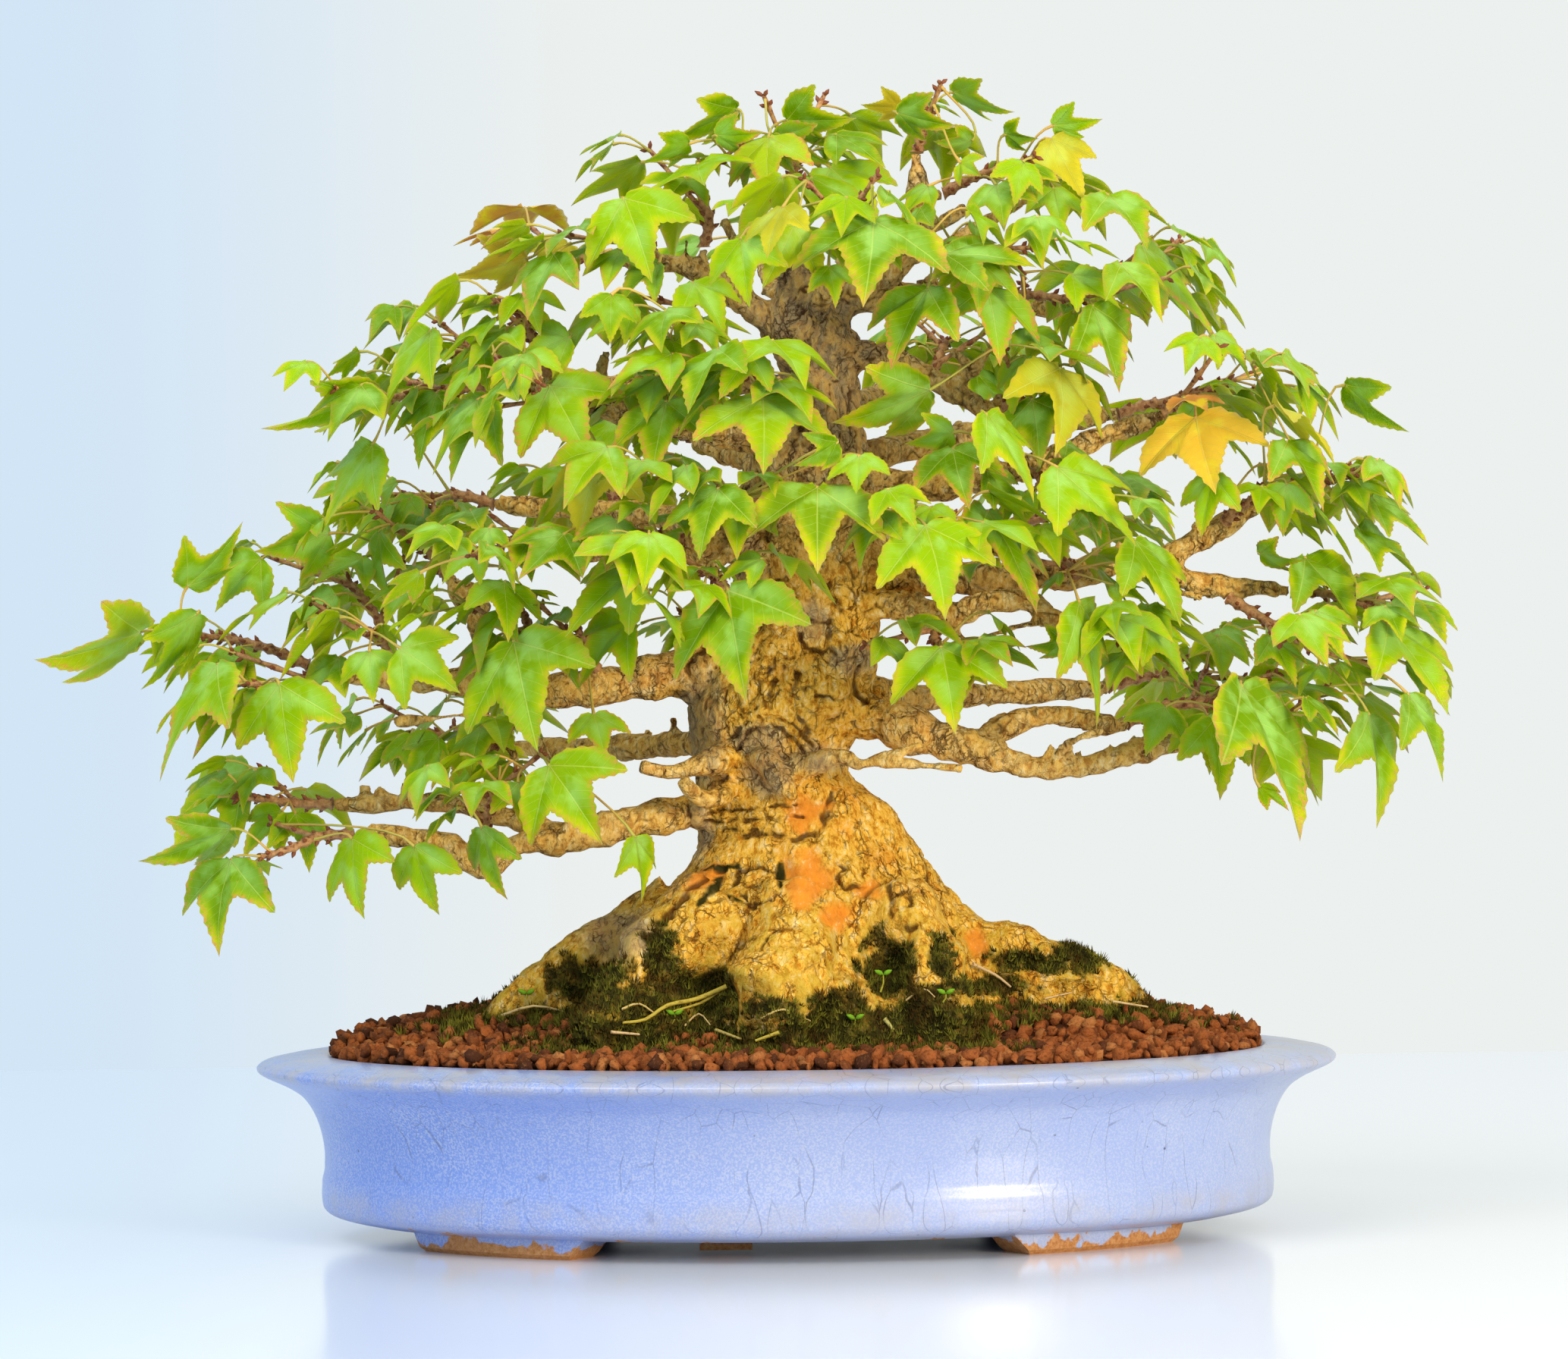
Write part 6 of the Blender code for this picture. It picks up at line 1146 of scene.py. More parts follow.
def maple_blade(add, place, looks):
    """A living maple blade: smooth, waxy and a little translucent, green with lime edges, with a pale bluish sky
    reflection painted on its upper side.

    leaf_place holds the place in the leaf: along, aside, how near the edge, and upper or under side. leaf_mood holds
    how dark, how gold and how dry the leaf is.
    """
    where = add("Attribute", attribute_name="leaf_place")
    along, aside, edge = add("SeparateXYZ", where.outputs["Vector"]).outputs
    dark, gold, dry = add("SeparateXYZ", add("Attribute", attribute_name="leaf_mood").outputs["Vector"]).outputs
    upper = where.outputs["Alpha"]
    sine, cosine = math.sin(SIDE_VEIN), math.cos(SIDE_VEIN)
    off = add("Math", along, sine, **TIMES)
    off = add("Math", off, add("Math", aside, cosine, **TIMES), operation="SUBTRACT")
    off = add("Math", off, operation="ABSOLUTE")
    down = add("Math", add("Math", along, cosine, **TIMES), add("Math", aside, sine, **TIMES), **PLUS)
    reach = add("Mix", add("Math", off, aside, operation="LESS_THAN"), along, down)
    away = add("Math", off, aside, operation="MINIMUM")
    main = add("MapRange", away, 0.010, 0.003, **SMOOTH)
    ribs = add("Math", reach, add("Math", away, 0.9, **TIMES), operation="SUBTRACT")
    ribs = add("Math", add("Math", ribs, 10.0, **TIMES), operation="FRACT")
    ribs = add("Math", add("Math", ribs, 0.5, operation="SUBTRACT"), operation="ABSOLUTE")
    veins = add("Math", main, add("MapRange", ribs, 0.08, 0.015, 0.0, 0.4, **SMOOTH), **MORE)
    patch = add("TexNoise", place, {"Scale": per_mm(11.0), "Detail": 3.0})
    fine = add("TexNoise", place, {"Scale": per_mm(1.3), "Detail": 2.0})
    shade = add("Math", dark, add("Math", patch, 0.5, **TIMES), **PLUS)
    base = add("Mix", add("MapRange", shade, 0.25, 1.25), looks.green, looks.deep, **TINT)
    rim = add("MapRange", edge, 0.66, 1.0, **SMOOTH)
    rim = add("Math", rim, add("MapRange", patch, 0.44, 0.64, 0.05, 1.0), **TIMES)
    base = add("Mix", rim, base, looks.lime, **TINT)
    # Painted reflection: a pale bluish sky sheen on the upper side, away from the edge and in patches
    bloom = add("MapRange", edge, 1.0, 0.35, **SMOOTH)
    bloom = add("Math", bloom, add("MapRange", patch, 0.56, 0.40, 0.0, 0.7), **TIMES)
    base = add("Mix", add("Math", bloom, upper, **TIMES), base, looks.bloom, **TINT)
    base = add("Mix", gold, base, looks.gold, **TINT)
    base = add("Mix", add("Math", veins, 0.35, **TIMES), base, looks.vein, **TINT)
    under = add("MapRange", upper, 1.0, 0.0, 0.0, 0.45)
    base = add("Mix", under, base, looks.lime, **TINT)
    burnt = add("Math", add("MapRange", edge, 0.80, 0.98, **SMOOTH), add("MapRange", fine, 0.40, 0.60), **TIMES)
    turned = add("Math", gold, add("MapRange", patch, 0.36, 0.52), **TIMES)
    tips = add("Math", add("MapRange", along, 0.86, 0.98, 0.0, 0.9), add("MapRange", patch, 0.46, 0.56), **TIMES)
    specks = add("Math", add("MapRange", fine, 0.70, 0.76), 0.7, **TIMES)
    burnt = add("Math", add("Math", burnt, tips, **MORE), add("Math", specks, turned, **MORE), **MORE)
    burnt = add("Math", add("MapRange", dry, 0.0, 1.0, 0.25, 1.0), burnt, **TIMES)
    base = add("Mix", burnt, base, looks.rust, **TINT)
    swell = add("Math", add("Math", fine, 0.25, **TIMES), add("Math", veins, 0.6, **TIMES), operation="SUBTRACT")
    return {"Base Color": base, "Roughness": 0.45, "Specular IOR Level": 0.08, "Subsurface Weight": 0.3,
            "Subsurface Radius": (0.8, 1.0, 0.25), "Subsurface Scale": 1.5 * MM,
            "Normal": add("Bump", {"Height": swell, "Distance": 0.25 * MM})}


def maple_stalk(add, place, looks):
    """Stalks and young wood: smooth tan stalks, brown twigs with pale specks, and dark red bud scales."""
    mood = add("SeparateXYZ", add("Attribute", attribute_name="leaf_mood").outputs["Vector"])
    patch = add("TexNoise", place, {"Scale": per_mm(2.4), "Detail": 4.0, "Roughness": 0.65})
    drift = add("TexNoise", place, {"Scale": per_mm(18.0), "Detail": 1.0})
    stalk = add("Mix", add("MapRange", drift, 0.35, 0.65), looks.stalk, linear("b4b04c"), **TINT)
    bark = add("Mix", add("MapRange", patch, 0.35, 0.65), looks.twig, linear("c99a66"), **TINT)
    bark = add("Mix", add("MapRange", patch, 0.42, 0.30, 0.0, 0.8), bark, linear("361a0c"), **TINT)
    wood = add("Mix", mood.outputs["X"], stalk, bark, **TINT)
    return {"Base Color": add("Mix", mood.outputs["Y"], wood, looks.bud, **TINT), "Roughness": 0.6,
            "Specular IOR Level": 0.35, "Normal": add("Bump", {"Height": patch, "Distance": 0.5 * MM})}


def baked_clay_grain(add, place, looks):
    """Akadama, a volcanic clay dried and sieved to 3 to 6 mm: matt and crumbly, red when dry and dark when damp; the
    bed under the granules is painted dark as the shade between them, and all is painted darker to the left and redder
    to the right as the light falls.
    """
    lot = add("Attribute", attribute_name="lot").outputs["Fac"]
    # Painted light: the granules and bed darker to the left and redder to the right as the light falls, with lot
    # varying them at random
    side = add("SeparateXYZ", place).outputs["X"]
    dry = add("Math", add("Math", side, 0.25, **TIMES), add("Math", lot, 0.30, **TIMES), **PLUS)
    base = add("Mix", add("MapRange", dry, -0.12, 0.17, **SMOOTH), looks.grain_dark, looks.grain_red, **TINT)
    base = add("Mix", add("MapRange", lot, 0.84, 0.97, 0.0, 0.7), base, looks.grain_tan, **TINT)
    # Granules with a low lot are damp and dark; the bed, which has no lot, is painted dark here as the shade between
    # the granules
    base = add("Mix", add("MapRange", lot, 0.30, 0.05, 0.0, 0.75), base, looks.grain_dark, **TINT)
    crumb = add("TexNoise", place, {"Scale": per_mm(1.3), "Detail": 4.0, "Roughness": 0.7})
    base = add("Mix", add("MapRange", crumb, 0.52, 0.32, 0.0, 0.6, **SMOOTH), base, looks.grain_dark, **TINT)
    base = add("Mix", add("MapRange", crumb, 0.56, 0.74, 0.0, 0.5), base, looks.grain_tan, **TINT)
    return {"Base Color": base, "Roughness": 0.9, "Specular IOR Level": 0.2,
            "Normal": add("Bump", {"Height": crumb, "Distance": 0.8 * MM})}


def living_moss(add, place, looks):
    """Cushion moss, grown in place: dull and soft, lit olive tips over a nearly black base."""
    lot = add("Attribute", attribute_name="lot").outputs["Fac"]
    patch = add("TexNoise", place, {"Scale": per_mm(9.0), "Detail": 3.0})
    lit = add("Math", lot, add("MapRange", patch, 0.35, 0.60, 0.35, 1.0), **TIMES)
    base = add("Mix", lit, looks.moss_dark, looks.moss, **TINT)
    base = add("Mix", add("MapRange", patch, 0.50, 0.40, 0.0, 0.4), base, linear("5c3b18"), **TINT)
    return {"Base Color": base, "Roughness": 0.95, "Specular IOR Level": 0.1}


def dry_litter(add, place, looks):
    """Straws, seedlings and thin live roots that lie on the soil: matt, with a fibrous streak along them."""
    mood = add("SeparateXYZ", add("Attribute", attribute_name="leaf_mood").outputs["Vector"])
    patch = add("TexNoise", place, {"Scale": per_mm(1.5), "Detail": 3.0})
    base = add("Mix", mood.outputs["X"], looks.straw, looks.root, **TINT)
    base = add("Mix", mood.outputs["Y"], base, linear("6fa31c"), **TINT)
    base = add("Mix", add("MapRange", patch, 0.45, 0.30, 0.0, 0.6), base, linear("6b4a20"), **TINT)
    return {"Base Color": base, "Roughness": 0.8, "Specular IOR Level": 0.25,
            "Normal": add("Bump", {"Height": patch, "Distance": 0.3 * MM})}


def pale_board(add, place, looks):
    """Coated white board, pressed smooth: satin, so the pot shows faintly in it. Its left side is tinted blue as
    painted cool light.
    """
    # Painted light: the left of the white board takes a blue tint, the colour of the cooler light from the left
    side = add("MapRange", add("SeparateXYZ", place).outputs["X"], -0.30, 0.05, **SMOOTH)
    floor = add("Mix", side, linear("d8e6f6"), looks.floor, **TINT)
    return {"Base Color": floor, "Roughness": 0.13, "Specular IOR Level": 0.55}


def add_piece(name, verts, faces, materials, nodes=(), marks=None, face_kinds=None):
    """A finished piece from points in millimetres, which rides on the root body and stands for some nodes."""
    mesh = bpy.data.meshes.new(name)
    mesh.from_pydata((np.array([tuple(v) for v in verts]) * MM).tolist(), [], faces)
    for material in materials:
        mesh.materials.append(material)
    for label, rows in (marks or {}).items():
        layer = mesh.attributes.new(label, "FLOAT_COLOR", "POINT")
        layer.data.foreach_set("color", np.array(rows, dtype=np.float32).ravel())
    if face_kinds is not None:
        mesh.polygons.foreach_set("material_index", face_kinds)
    mesh.shade_smooth()
    mesh.set_sharp_from_angle(angle=SHARP)
    mesh.update()
    return finish_piece(name, mesh, nodes)


def finish_piece(name, mesh, nodes=()):
    """Puts a mesh in the scene as a piece of the bonsai."""
    piece = bpy.data.objects.new(name, mesh)
    bpy.context.scene.collection.objects.link(piece)
    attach(piece, "root")
    if nodes:
        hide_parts(*nodes)
    return piece


def scratch_object(name, verts, faces):
    """A closed helper shape from points in millimetres, with its faces pointing out."""
    mesh = bpy.data.meshes.new(name)
    mesh.from_pydata([tuple(Vector(v) * MM) for v in verts], [], faces)
    shape = bmesh.new()
    shape.from_mesh(mesh)
    bmesh.ops.recalc_face_normals(shape, faces=shape.faces)
    shape.to_mesh(mesh)
    shape.free()
    obj = bpy.data.objects.new(name, mesh)
    bpy.context.scene.collection.objects.link(obj)
    return obj


def baked(obj):
    """The object's mesh with its modifiers applied. The object is removed."""
    bpy.context.view_layer.update()
    mesh = bpy.data.meshes.new_from_object(obj.evaluated_get(bpy.context.evaluated_depsgraph_get()))
    bpy.data.objects.remove(obj)
    return mesh


def close_ring(inset, height, steps):
    """Points of one oval ring of the pot, with more steps round than the solid has."""
    return [Vector((POT_X + (RIM_HALF_WIDTH - inset) * math.cos(math.tau * k / steps),
                    (RIM_HALF_DEPTH - inset) * math.sin(math.tau * k / steps), height)) for k in range(steps)]


def fine_foot(mirror_x, mirror_y):
    """One bracket foot with rounded edges, and ends that slant in towards the table."""
    rings = []
    steps = 20
    corner = 1.6
    for step in range(steps + 1):
        share_round = step / steps
        ring = []
        for height, slant, tuck in ((FOOT_TOP + 1.5, -0.3, 0.0), (corner, FOOT_SLANT * 0.8, 0.0),
                                    (0.0, FOOT_SLANT, corner)):
            start, stop = FOOT_SPAN[0] + slant, FOOT_SPAN[1] - slant
            turn = math.radians(start + (stop - start) * share_round)
            row = []
            for half, way in ((FOOT_OUTER, -1), (FOOT_INNER, 1)):
                row.append(Vector((POT_X + mirror_x * (half[0] + way * tuck) * math.cos(turn),
                                   mirror_y * (half[1] + way * tuck) * math.sin(turn), height)))
            ring.append(row)
        rings.append([ring[0][0], ring[1][0], ring[2][0], ring[2][1], ring[1][1], ring[0][1]])
    return lofted(rings)


class BONSAI_OT_pot(bpy.types.Operator):
    """Throws the oval pot and glazes it"""
    bl_idname = "bonsai.pot"
    bl_label = "Glazed Pot"

    def execute(self, context):
        looks = context.scene.bonsai_pot
        outside = [(inset + 0.2 * math.exp(-((height - RIDGE - 3.2) / 1.5) ** 2)
                    - 0.2 * math.exp(-((height - RIDGE) / 1.6) ** 2), height)
                   for inset, height in smooth_path(POT_OUTSIDE[::-1], 12)]
        rows = [*outside, *POT_LIP, *smooth_path(POT_INSIDE, 3)]
        body = scratch_object("pot_body", *lofted([close_ring(inset, height, looks.steps) for inset, height in rows]))
        feet = [scratch_object("foot", *fine_foot(mx, my)) for mx in (-1, 1) for my in (-1, 1)]
        nub_x, nub_y, nub_half, nub_depth = NUB
        feet.append(scratch_object("nub", *block((POT_X + nub_x, nub_y, 4.0), (nub_half, nub_depth, 3.0))))
        drains = [scratch_object("drain", *round_post(POT_X + side * DRAIN_X, 0.0, -5.0, FLOOR + 3.0, DRAIN_RADIUS, 40))
                  for side in (-1, 1)]
        for tools, operation in ((feet, "UNION"), (drains, "DIFFERENCE")):
            group = bpy.data.collections.new("pot_tools")
            for tool in tools:
                group.objects.link(tool)
            join = body.modifiers.new(operation, "BOOLEAN")
            join.operation = operation
            join.operand_type = "COLLECTION"
            join.collection = group
        mesh = baked(body)
        for tool in feet + drains:
            bpy.data.objects.remove(tool)
        mesh.materials.clear()
        mesh.materials.append(new_material(glazed_stoneware, looks))
        mesh.shade_smooth()
        mesh.set_sharp_from_angle(angle=POT_SHARP)
        finish_piece("glazed_pot", mesh, ("pot",))
        return {"FINISHED"}


class BONSAI_OT_screens(bpy.types.Operator):
    """Gives the two drain screens their moulded plastic"""
    bl_idname = "bonsai.screens"
    bl_label = "Drain Screens"

    def execute(self, context):
        plastic = new_material(moulded_plastic, None)
        for side in ("left", "right"):
            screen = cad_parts["drain_screen_" + side]
            screen.data.materials.clear()
            screen.data.materials.append(plastic)
        return {"FINISHED"}


def trunk_section(height):
    """Middle and half width and depth of the trunk at a height."""
    rows = np.array(TRUNK)
    return [np.interp(height, rows[:, 0], rows[:, i]) for i in range(1, 5)]


def wood_shapes(stubs):
    """Trunk, roots, limbs, stubs, spurs and dead wood as closed shapes that run into each other."""
    rings = []
    sides = 64
    for height, x, y, half_width, half_depth in smooth_path(TRUNK, 5):
        ring = []
        for k in range(sides):
            turn = math.tau * k / sides
            flute = 1.0 + 0.05 * math.sin(5 * turn + height * 0.02) * min(1.0, 110.0 / height)
            ring.append(Vector((POT_X + x + half_width * flute * math.cos(turn),
                                y + half_depth * flute * math.sin(turn), height)))
        rings.append(ring)
    shapes = [lofted(rings)]
    draw = random.Random(SEED + 2)
    for name in LIMBS:
        points, radii = limb_points(name)
        if name.startswith("root_"):
            for drop in ROOT_DROPS:
                shapes.append(tube([point - Vector((0, 0, drop)) for point in points], radii, 16))
            continue
        knobby = [r * (1.0 + 0.34 * noise.noise(point / 7.0) + 0.08 * math.sin(i * 2.4))
                  for i, (point, r) in enumerate(zip(points, radii))]
        shapes.append(tube(points, knobby, 14))
        for point, radius in list(zip(points, radii))[4:-1]:
            if radius > 5.5 or draw.random() > 0.45:
                continue
            way = Vector((draw.gauss(0, 1), draw.gauss(0, 1), draw.gauss(0.4, 0.8))).normalized()
            length, thick = radius + draw.uniform(1.5, 5.0), draw.uniform(1.3, 2.1)
            bent = point + way * length * 0.6
            shapes.append(tube([point, bent, bent + (way + Vector((draw.uniform(-0.6, 0.6), 0, 0.3))) * length * 0.4],
                               [thick * 1.3, thick, thick * 1.1], 8))
    for rows in DEAD_WOOD:
        path = smooth_path(rows, 3)
        shapes.append(tube([seen(r[0], r[1], r[2]) for r in path], [max(r[3], 1.5) for r in path], 10))
    return joined(shapes + stubs)


def near_line(x, z, path):
    """How far points lie from a line through a row of places, seen from the front."""
    best = np.full(len(x), 1e9)
    for (x0, z0), (x1, z1) in zip(path, path[1:]):
        dx, dz = x1 - x0, z1 - z0
        share_on = np.clip(((x - x0) * dx + (z - z0) * dz) / (dx * dx + dz * dz), 0.0, 1.0)
        best = np.minimum(best, np.hypot(x - x0 - dx * share_on, z - z0 - dz * share_on))
    return best


def near_spot(x, z, spot):
    """How far points lie from the middle of a leaning oval, 1 at its edge."""
    middle_x, middle_z, wide, tall, lean = spot
    turn = math.radians(lean)
    dx, dz = x - middle_x, z - middle_z
    cosine, sine = math.cos(turn), math.sin(turn)
    return np.hypot((dx * cosine + dz * sine) / wide, (dz * cosine - dx * sine) / tall)


def bark_marks(places, normals, looks):
    """How far each point moves out for the bark's relief, and its fissure, bare patch, grey bark and moss marks. The
    fissure mark paints shade in the cracks, the grey mark high on the trunk paints the shade under the canopy, and the
    moss mark paints shade in the root hollows.
    """
    middle_x, middle_y, half_width, half_depth = trunk_section(places[:, 2])
    beside = np.hypot((places[:, 0] - POT_X - middle_x) / (half_width + 5.0),
                      (places[:, 1] - middle_y) / (half_depth + 5.0))
    limb = np.clip((beside - 1.0) * 3.0, 0.0, 1.0)
    limb[places[:, 2] < 120.0] = 0.0
    depth = 1.0 + places[:, 1] / -EYE.y
    x = (places[:, 0] - EYE.x) / depth + EYE.x - POT_X
    z = (places[:, 2] - EYE.z) / depth + EYE.z
    front = np.clip((0.35 - normals[:, 1]) * 3.0, 0.0, 1.0) * (limb < 0.9)
    facing = np.clip(0.2 - 4.0 * normals[:, 1], 0.0, 1.0) * front
    moves, cracks, bare, moss = (np.zeros(len(places)) for _ in range(4))
    for *spot, push in SWELLS:
        moves += push * np.exp(-1.6 * near_spot(x, z, spot) ** 2) * front
    stray = np.array([[1.3 * noise.noise(Vector(p) / 3.0), 1.3 * noise.noise(Vector(p) / 3.0 + Vector((5, 5, 5))),
                       min(1.0, max(0.4, 0.85 + noise.noise(Vector(p) / 4.0))), 0.55 * noise.noise(Vector(p) / 5.5)]
                      for p in places])
    for spot in BARE_SPOTS:
        bare = np.maximum(bare, np.clip((1.0 - near_spot(x, z, spot) + stray[:, 3]) * 2.4, 0.0, 1.0) * facing)
    # The cracks sink the bark, and their mark darkens it as painted shade
    for width, *path in CRACKS:
        ease = np.clip(1.5 - near_line(x + stray[:, 0], z + stray[:, 1], path) / width, 0.0, 1.0) * front
        cracks = np.maximum(cracks, ease * stray[:, 2])
        moves -= 1.5 * ease * stray[:, 2]
    # Moss spots, several of them in the root hollows, where their dark colour is also painted shade
    for spot in MOSS_AND_SHADE_SPOTS:
        moss = np.maximum(moss, np.clip((1.15 - near_spot(x, z, spot) + 1.2 * stray[:, 3]) * 2.2, 0.0, 1.0) * front)
    skirt = np.where(np.abs(x + 14.0) < 12.0, 74.5, 80.0) + 9.0 * stray[:, 3]
    moss = np.maximum(moss, np.clip((skirt - z) / 3.0, 0.0, 1.0) * front)
    # Grey bark on the limbs and up the trunk above 225 mm; high on the trunk it also carries the painted shade under
    # the canopy
    grey = np.maximum(limb * 0.5, np.clip((z - 225.0) / 60.0, 0.0, 1.0) * (1.0 - 0.3 * limb))
    for spot in GREY_SPOTS:
        grey = np.maximum(grey, np.clip((1.2 - near_spot(x, z, spot)) * 2.0, 0.0, 0.9) * front)
    behind = normals[:, 1] > 0.3
    for i, place in enumerate(places):
        p = Vector(place)
        wander = Vector([noise.noise(p / 7.0 + Vector(shift)) for shift in ((0, 0, 0), (7, 3, 1), (2, 9, 4))])
        q = (p + wander * 2.5) / looks.fissure
        q.z *= 0.66 if limb[i] < 0.5 else 1.0
        patchy = 0.5 + 1.4 * noise.noise(p / 17.0 + Vector((4, 4, 4))) + 0.012 * (p.z - 165.0)
        rough = min(1.0, max(0.12, patchy)) * (1.0 - 0.85 * bare[i])
        fissure = max(0.0, 1.0 - abs(noise.noise(q)) / 0.13) * rough
        lump = noise.noise(p / 21.0) * 1.8 + noise.noise(p / 8.5) * (1.7 if p.z < 135.0 or p.z > 160.0 else 1.1)
        grain = noise.fractal(p / 3.0, 1.0, 2.1, 3)
        finer = (grain * 0.5 - fissure * looks.relief) * (1.0 - 0.45 * limb[i]) * (1.0 - 0.8 * bare[i])
        moves[i] += lump * (1.0 - 0.35 * limb[i]) + finer
        cracks[i] = min(1.0, max(cracks[i], fissure * 0.85))
        damp = noise.noise(p / 11.0) * 1.3 + (96.0 - p.z) / 16.0
        if p.z < 106.0:
            moss[i] = max(moss[i] * (0.88 + 0.4 * noise.noise(p / 4.0)), min(1.0, damp) * (0.9 if behind[i] else 0.5))
    return moves, np.column_stack([cracks, bare, grey, np.clip(moss, 0.0, 1.0)])


class BONSAI_OT_wood(bpy.types.Operator):
    """Grows roots, trunk and limbs together and gives them their bark"""
    bl_idname = "bonsai.wood"
    bl_label = "Trunk and Limbs"

    def execute(self, context):
        looks = context.scene.bonsai_bark
        wood = scratch_object("wood", *wood_shapes(grown_tree()[1]))
        grow = wood.modifiers.new("grow together", "REMESH")
        grow.mode = "VOXEL"
        grow.voxel_size = looks.voxel * MM
        ease = wood.modifiers.new("ease", "SMOOTH")
        ease.factor = 0.5
        ease.iterations = 2
        mesh = baked(wood)
        count = len(mesh.vertices)
        places = np.empty(count * 3)
        normals = np.empty(count * 3)
        mesh.vertices.foreach_get("co", places)
        mesh.vertices.foreach_get("normal", normals)
        places, normals = places.reshape(-1, 3) / MM, normals.reshape(-1, 3)
        moves, marks = bark_marks(places, normals, looks)
        moved = (places + normals * moves[:, None]) * MM
        mesh.vertices.foreach_set("co", moved.ravel())
        layer = mesh.attributes.new("bark_marks", "FLOAT_COLOR", "POINT")
        layer.data.foreach_set("color", marks.astype(np.float32).ravel())
        mesh.update()
        faces = sum(len(p.vertices) - 2 for p in mesh.polygons)
        if faces > looks.triangles:
            wood = bpy.data.objects.new("wood", mesh)
            context.scene.collection.objects.link(wood)
            thin = wood.modifiers.new("thin out", "DECIMATE")
            thin.ratio = looks.triangles / faces
            mesh = baked(wood)
        mesh.materials.clear()
        mesh.materials.append(new_material(flaking_bark, looks))
        mesh.shade_smooth()
        finish_piece("bark", mesh, ("trunk",))
        return {"FINISHED"}


def leaf_loop(steps, tooth):
    """Outline of a leaf 1 long from one side of the stalk round to the other, with a forward tooth on odd points."""
    smooth = smooth_path(LEAF_HALF[:SIDE_POINT + 1], steps)[:-1] + smooth_path(LEAF_HALF[SIDE_POINT:], steps)
    half = []
    for i, (u, v) in enumerate(smooth):
        if i % 2 == 1 and steps < i < len(smooth) - 3:
            before, after = smooth[i - 1], smooth[i + 1]
            du, dv = after[0] - before[0], after[1] - before[1]
            length = math.hypot(du, dv) or 1.0
            u, v = u - dv / length * tooth, v + du / length * tooth
        half.append((u, v))
    return half + [(u, -v) for u, v in reversed(half[:-1])]


@functools.lru_cache(maxsize=4)
def leaf_pattern(steps, tooth, rings):
    """Points of a blade as shares of its length, its faces, and how near the edge each point is."""
    edge = leaf_loop(steps, tooth)
    plain = leaf_loop(steps, 0.0)
    count = len(edge)
    points, nearness = [(0.0, 0.0)], [0.0]
    for share_out in rings:
        loop = edge if share_out == 1.0 else plain
        points += [(u * share_out, v * share_out) for u, v in loop]
        nearness += [share_out] * count
    faces = []
    for k in range(count - 1):
        faces.append((0, 1 + k, 2 + k))
        for r in range(len(rings) - 1):
            a = 1 + r * count + k
            faces.append((a, a + count, a + count + 1, a + 1))
    points = np.array(points)
    inner = [i for i in range(1, 1 + (len(rings) - 1) * count) if (i - 1) % count not in (0, count - 1)]
    under = {index: len(points) + k for k, index in enumerate(inner)}
    lower = [tuple(under.get(i, i) for i in reversed(face)) for face in faces]
    return points, np.array(nearness), np.array(inner), faces + lower


def fine_blade(base, along, across, up, fold, draw, thick, fine):
    """A curved, toothed blade in the place of a solid one: points, faces and marks."""
    points, nearness, inner, faces = leaf_pattern(*(FINE_LEAF if fine else PLAIN_LEAF))
    length = along.length
    u, v = points[:, 0], points[:, 1]
    turn = np.abs(np.arctan2(np.abs(v), u))
    reach = np.hypot(u, v)
    from_vein = reach * np.sin(np.minimum(turn, np.abs(turn - SIDE_VEIN)).clip(0.0, 1.2))
    lift = -(LEAF_ARCH * u * u + LEAF_CAMBER * v * v) + fold * from_vein
    phase = draw.uniform(0.0, math.tau)
    lift += 0.035 * np.sin(turn * 7.0 * np.sign(v + 1e-9) + phase) * nearness ** 3
    lift -= draw.uniform(0.0, 0.25) * np.clip(reach - 0.55, 0.0, 1.0) ** 2
    lift += draw.uniform(-0.14, 0.14) * v * u
    sway = draw.uniform(-0.10, 0.10) * u * u
    v = v + sway
    places = (np.array(base) + np.outer(u, np.array(along)) + np.outer(v, np.array(across))
              + np.outer(lift * length, np.array(up)))
    lower = places[inner] - np.array(up) * thick
    marks = np.column_stack([points[:, 0], np.abs(points[:, 1]), nearness, np.ones(len(points))])
    under_marks = marks[inner].copy()
    under_marks[:, 3] = 0.0
    return np.vstack([places, lower]), faces, np.vstack([marks, under_marks])


def stalk_path(base, along, foot):
    """Curved middle line of a leaf's stalk from its blade to the twig."""
    span_out = (foot - base).length
    back = -along.normalized()
    way = (foot - base).normalized()
    leave = base + (back + way * 0.5).normalized() * min(9.0, span_out * 0.34)
    meet = foot.lerp(base, 0.35) + Vector((0, 0, span_out * 0.05))
    path = []
    for k in range(7):
        t = k / 6
        s = 1.0 - t
        path.append(base * s ** 3 + leave * (3 * s * s * t) + meet * (3 * s * t * t) + foot * t ** 3)
    return path


def place_tip_leaves(name, twig, crown, leaves, draw):
    """Young leaves at the end of a spray's main twig, where they are clear of the others."""
    points = twig["main"][0]
    ahead = (points[-1] - points[-2]).normalized()
    for _ in range(TIP_TRIES):
        around = draw.uniform(0.0, math.tau)
        flat = Vector((math.cos(around), math.sin(around), 0.0))
        base = points[-1] + (ahead + flat * 0.9).normalized() * draw.uniform(3.5, 10.0)
        along = (flat * 0.9 + ahead * 0.4 - Vector((0.0, 0.0, draw.uniform(0.1, 0.9)))).normalized()
        across = along.cross(Vector((0.0, 0.0, 1.0))).normalized()
        up = across.cross(along)
        if up.z < 0:
            up = -up
        length = draw.uniform(11.0, 18.0)
        try_leaf(name, (base, along * length, across * length, up), points[-1], "small", crown, leaves)


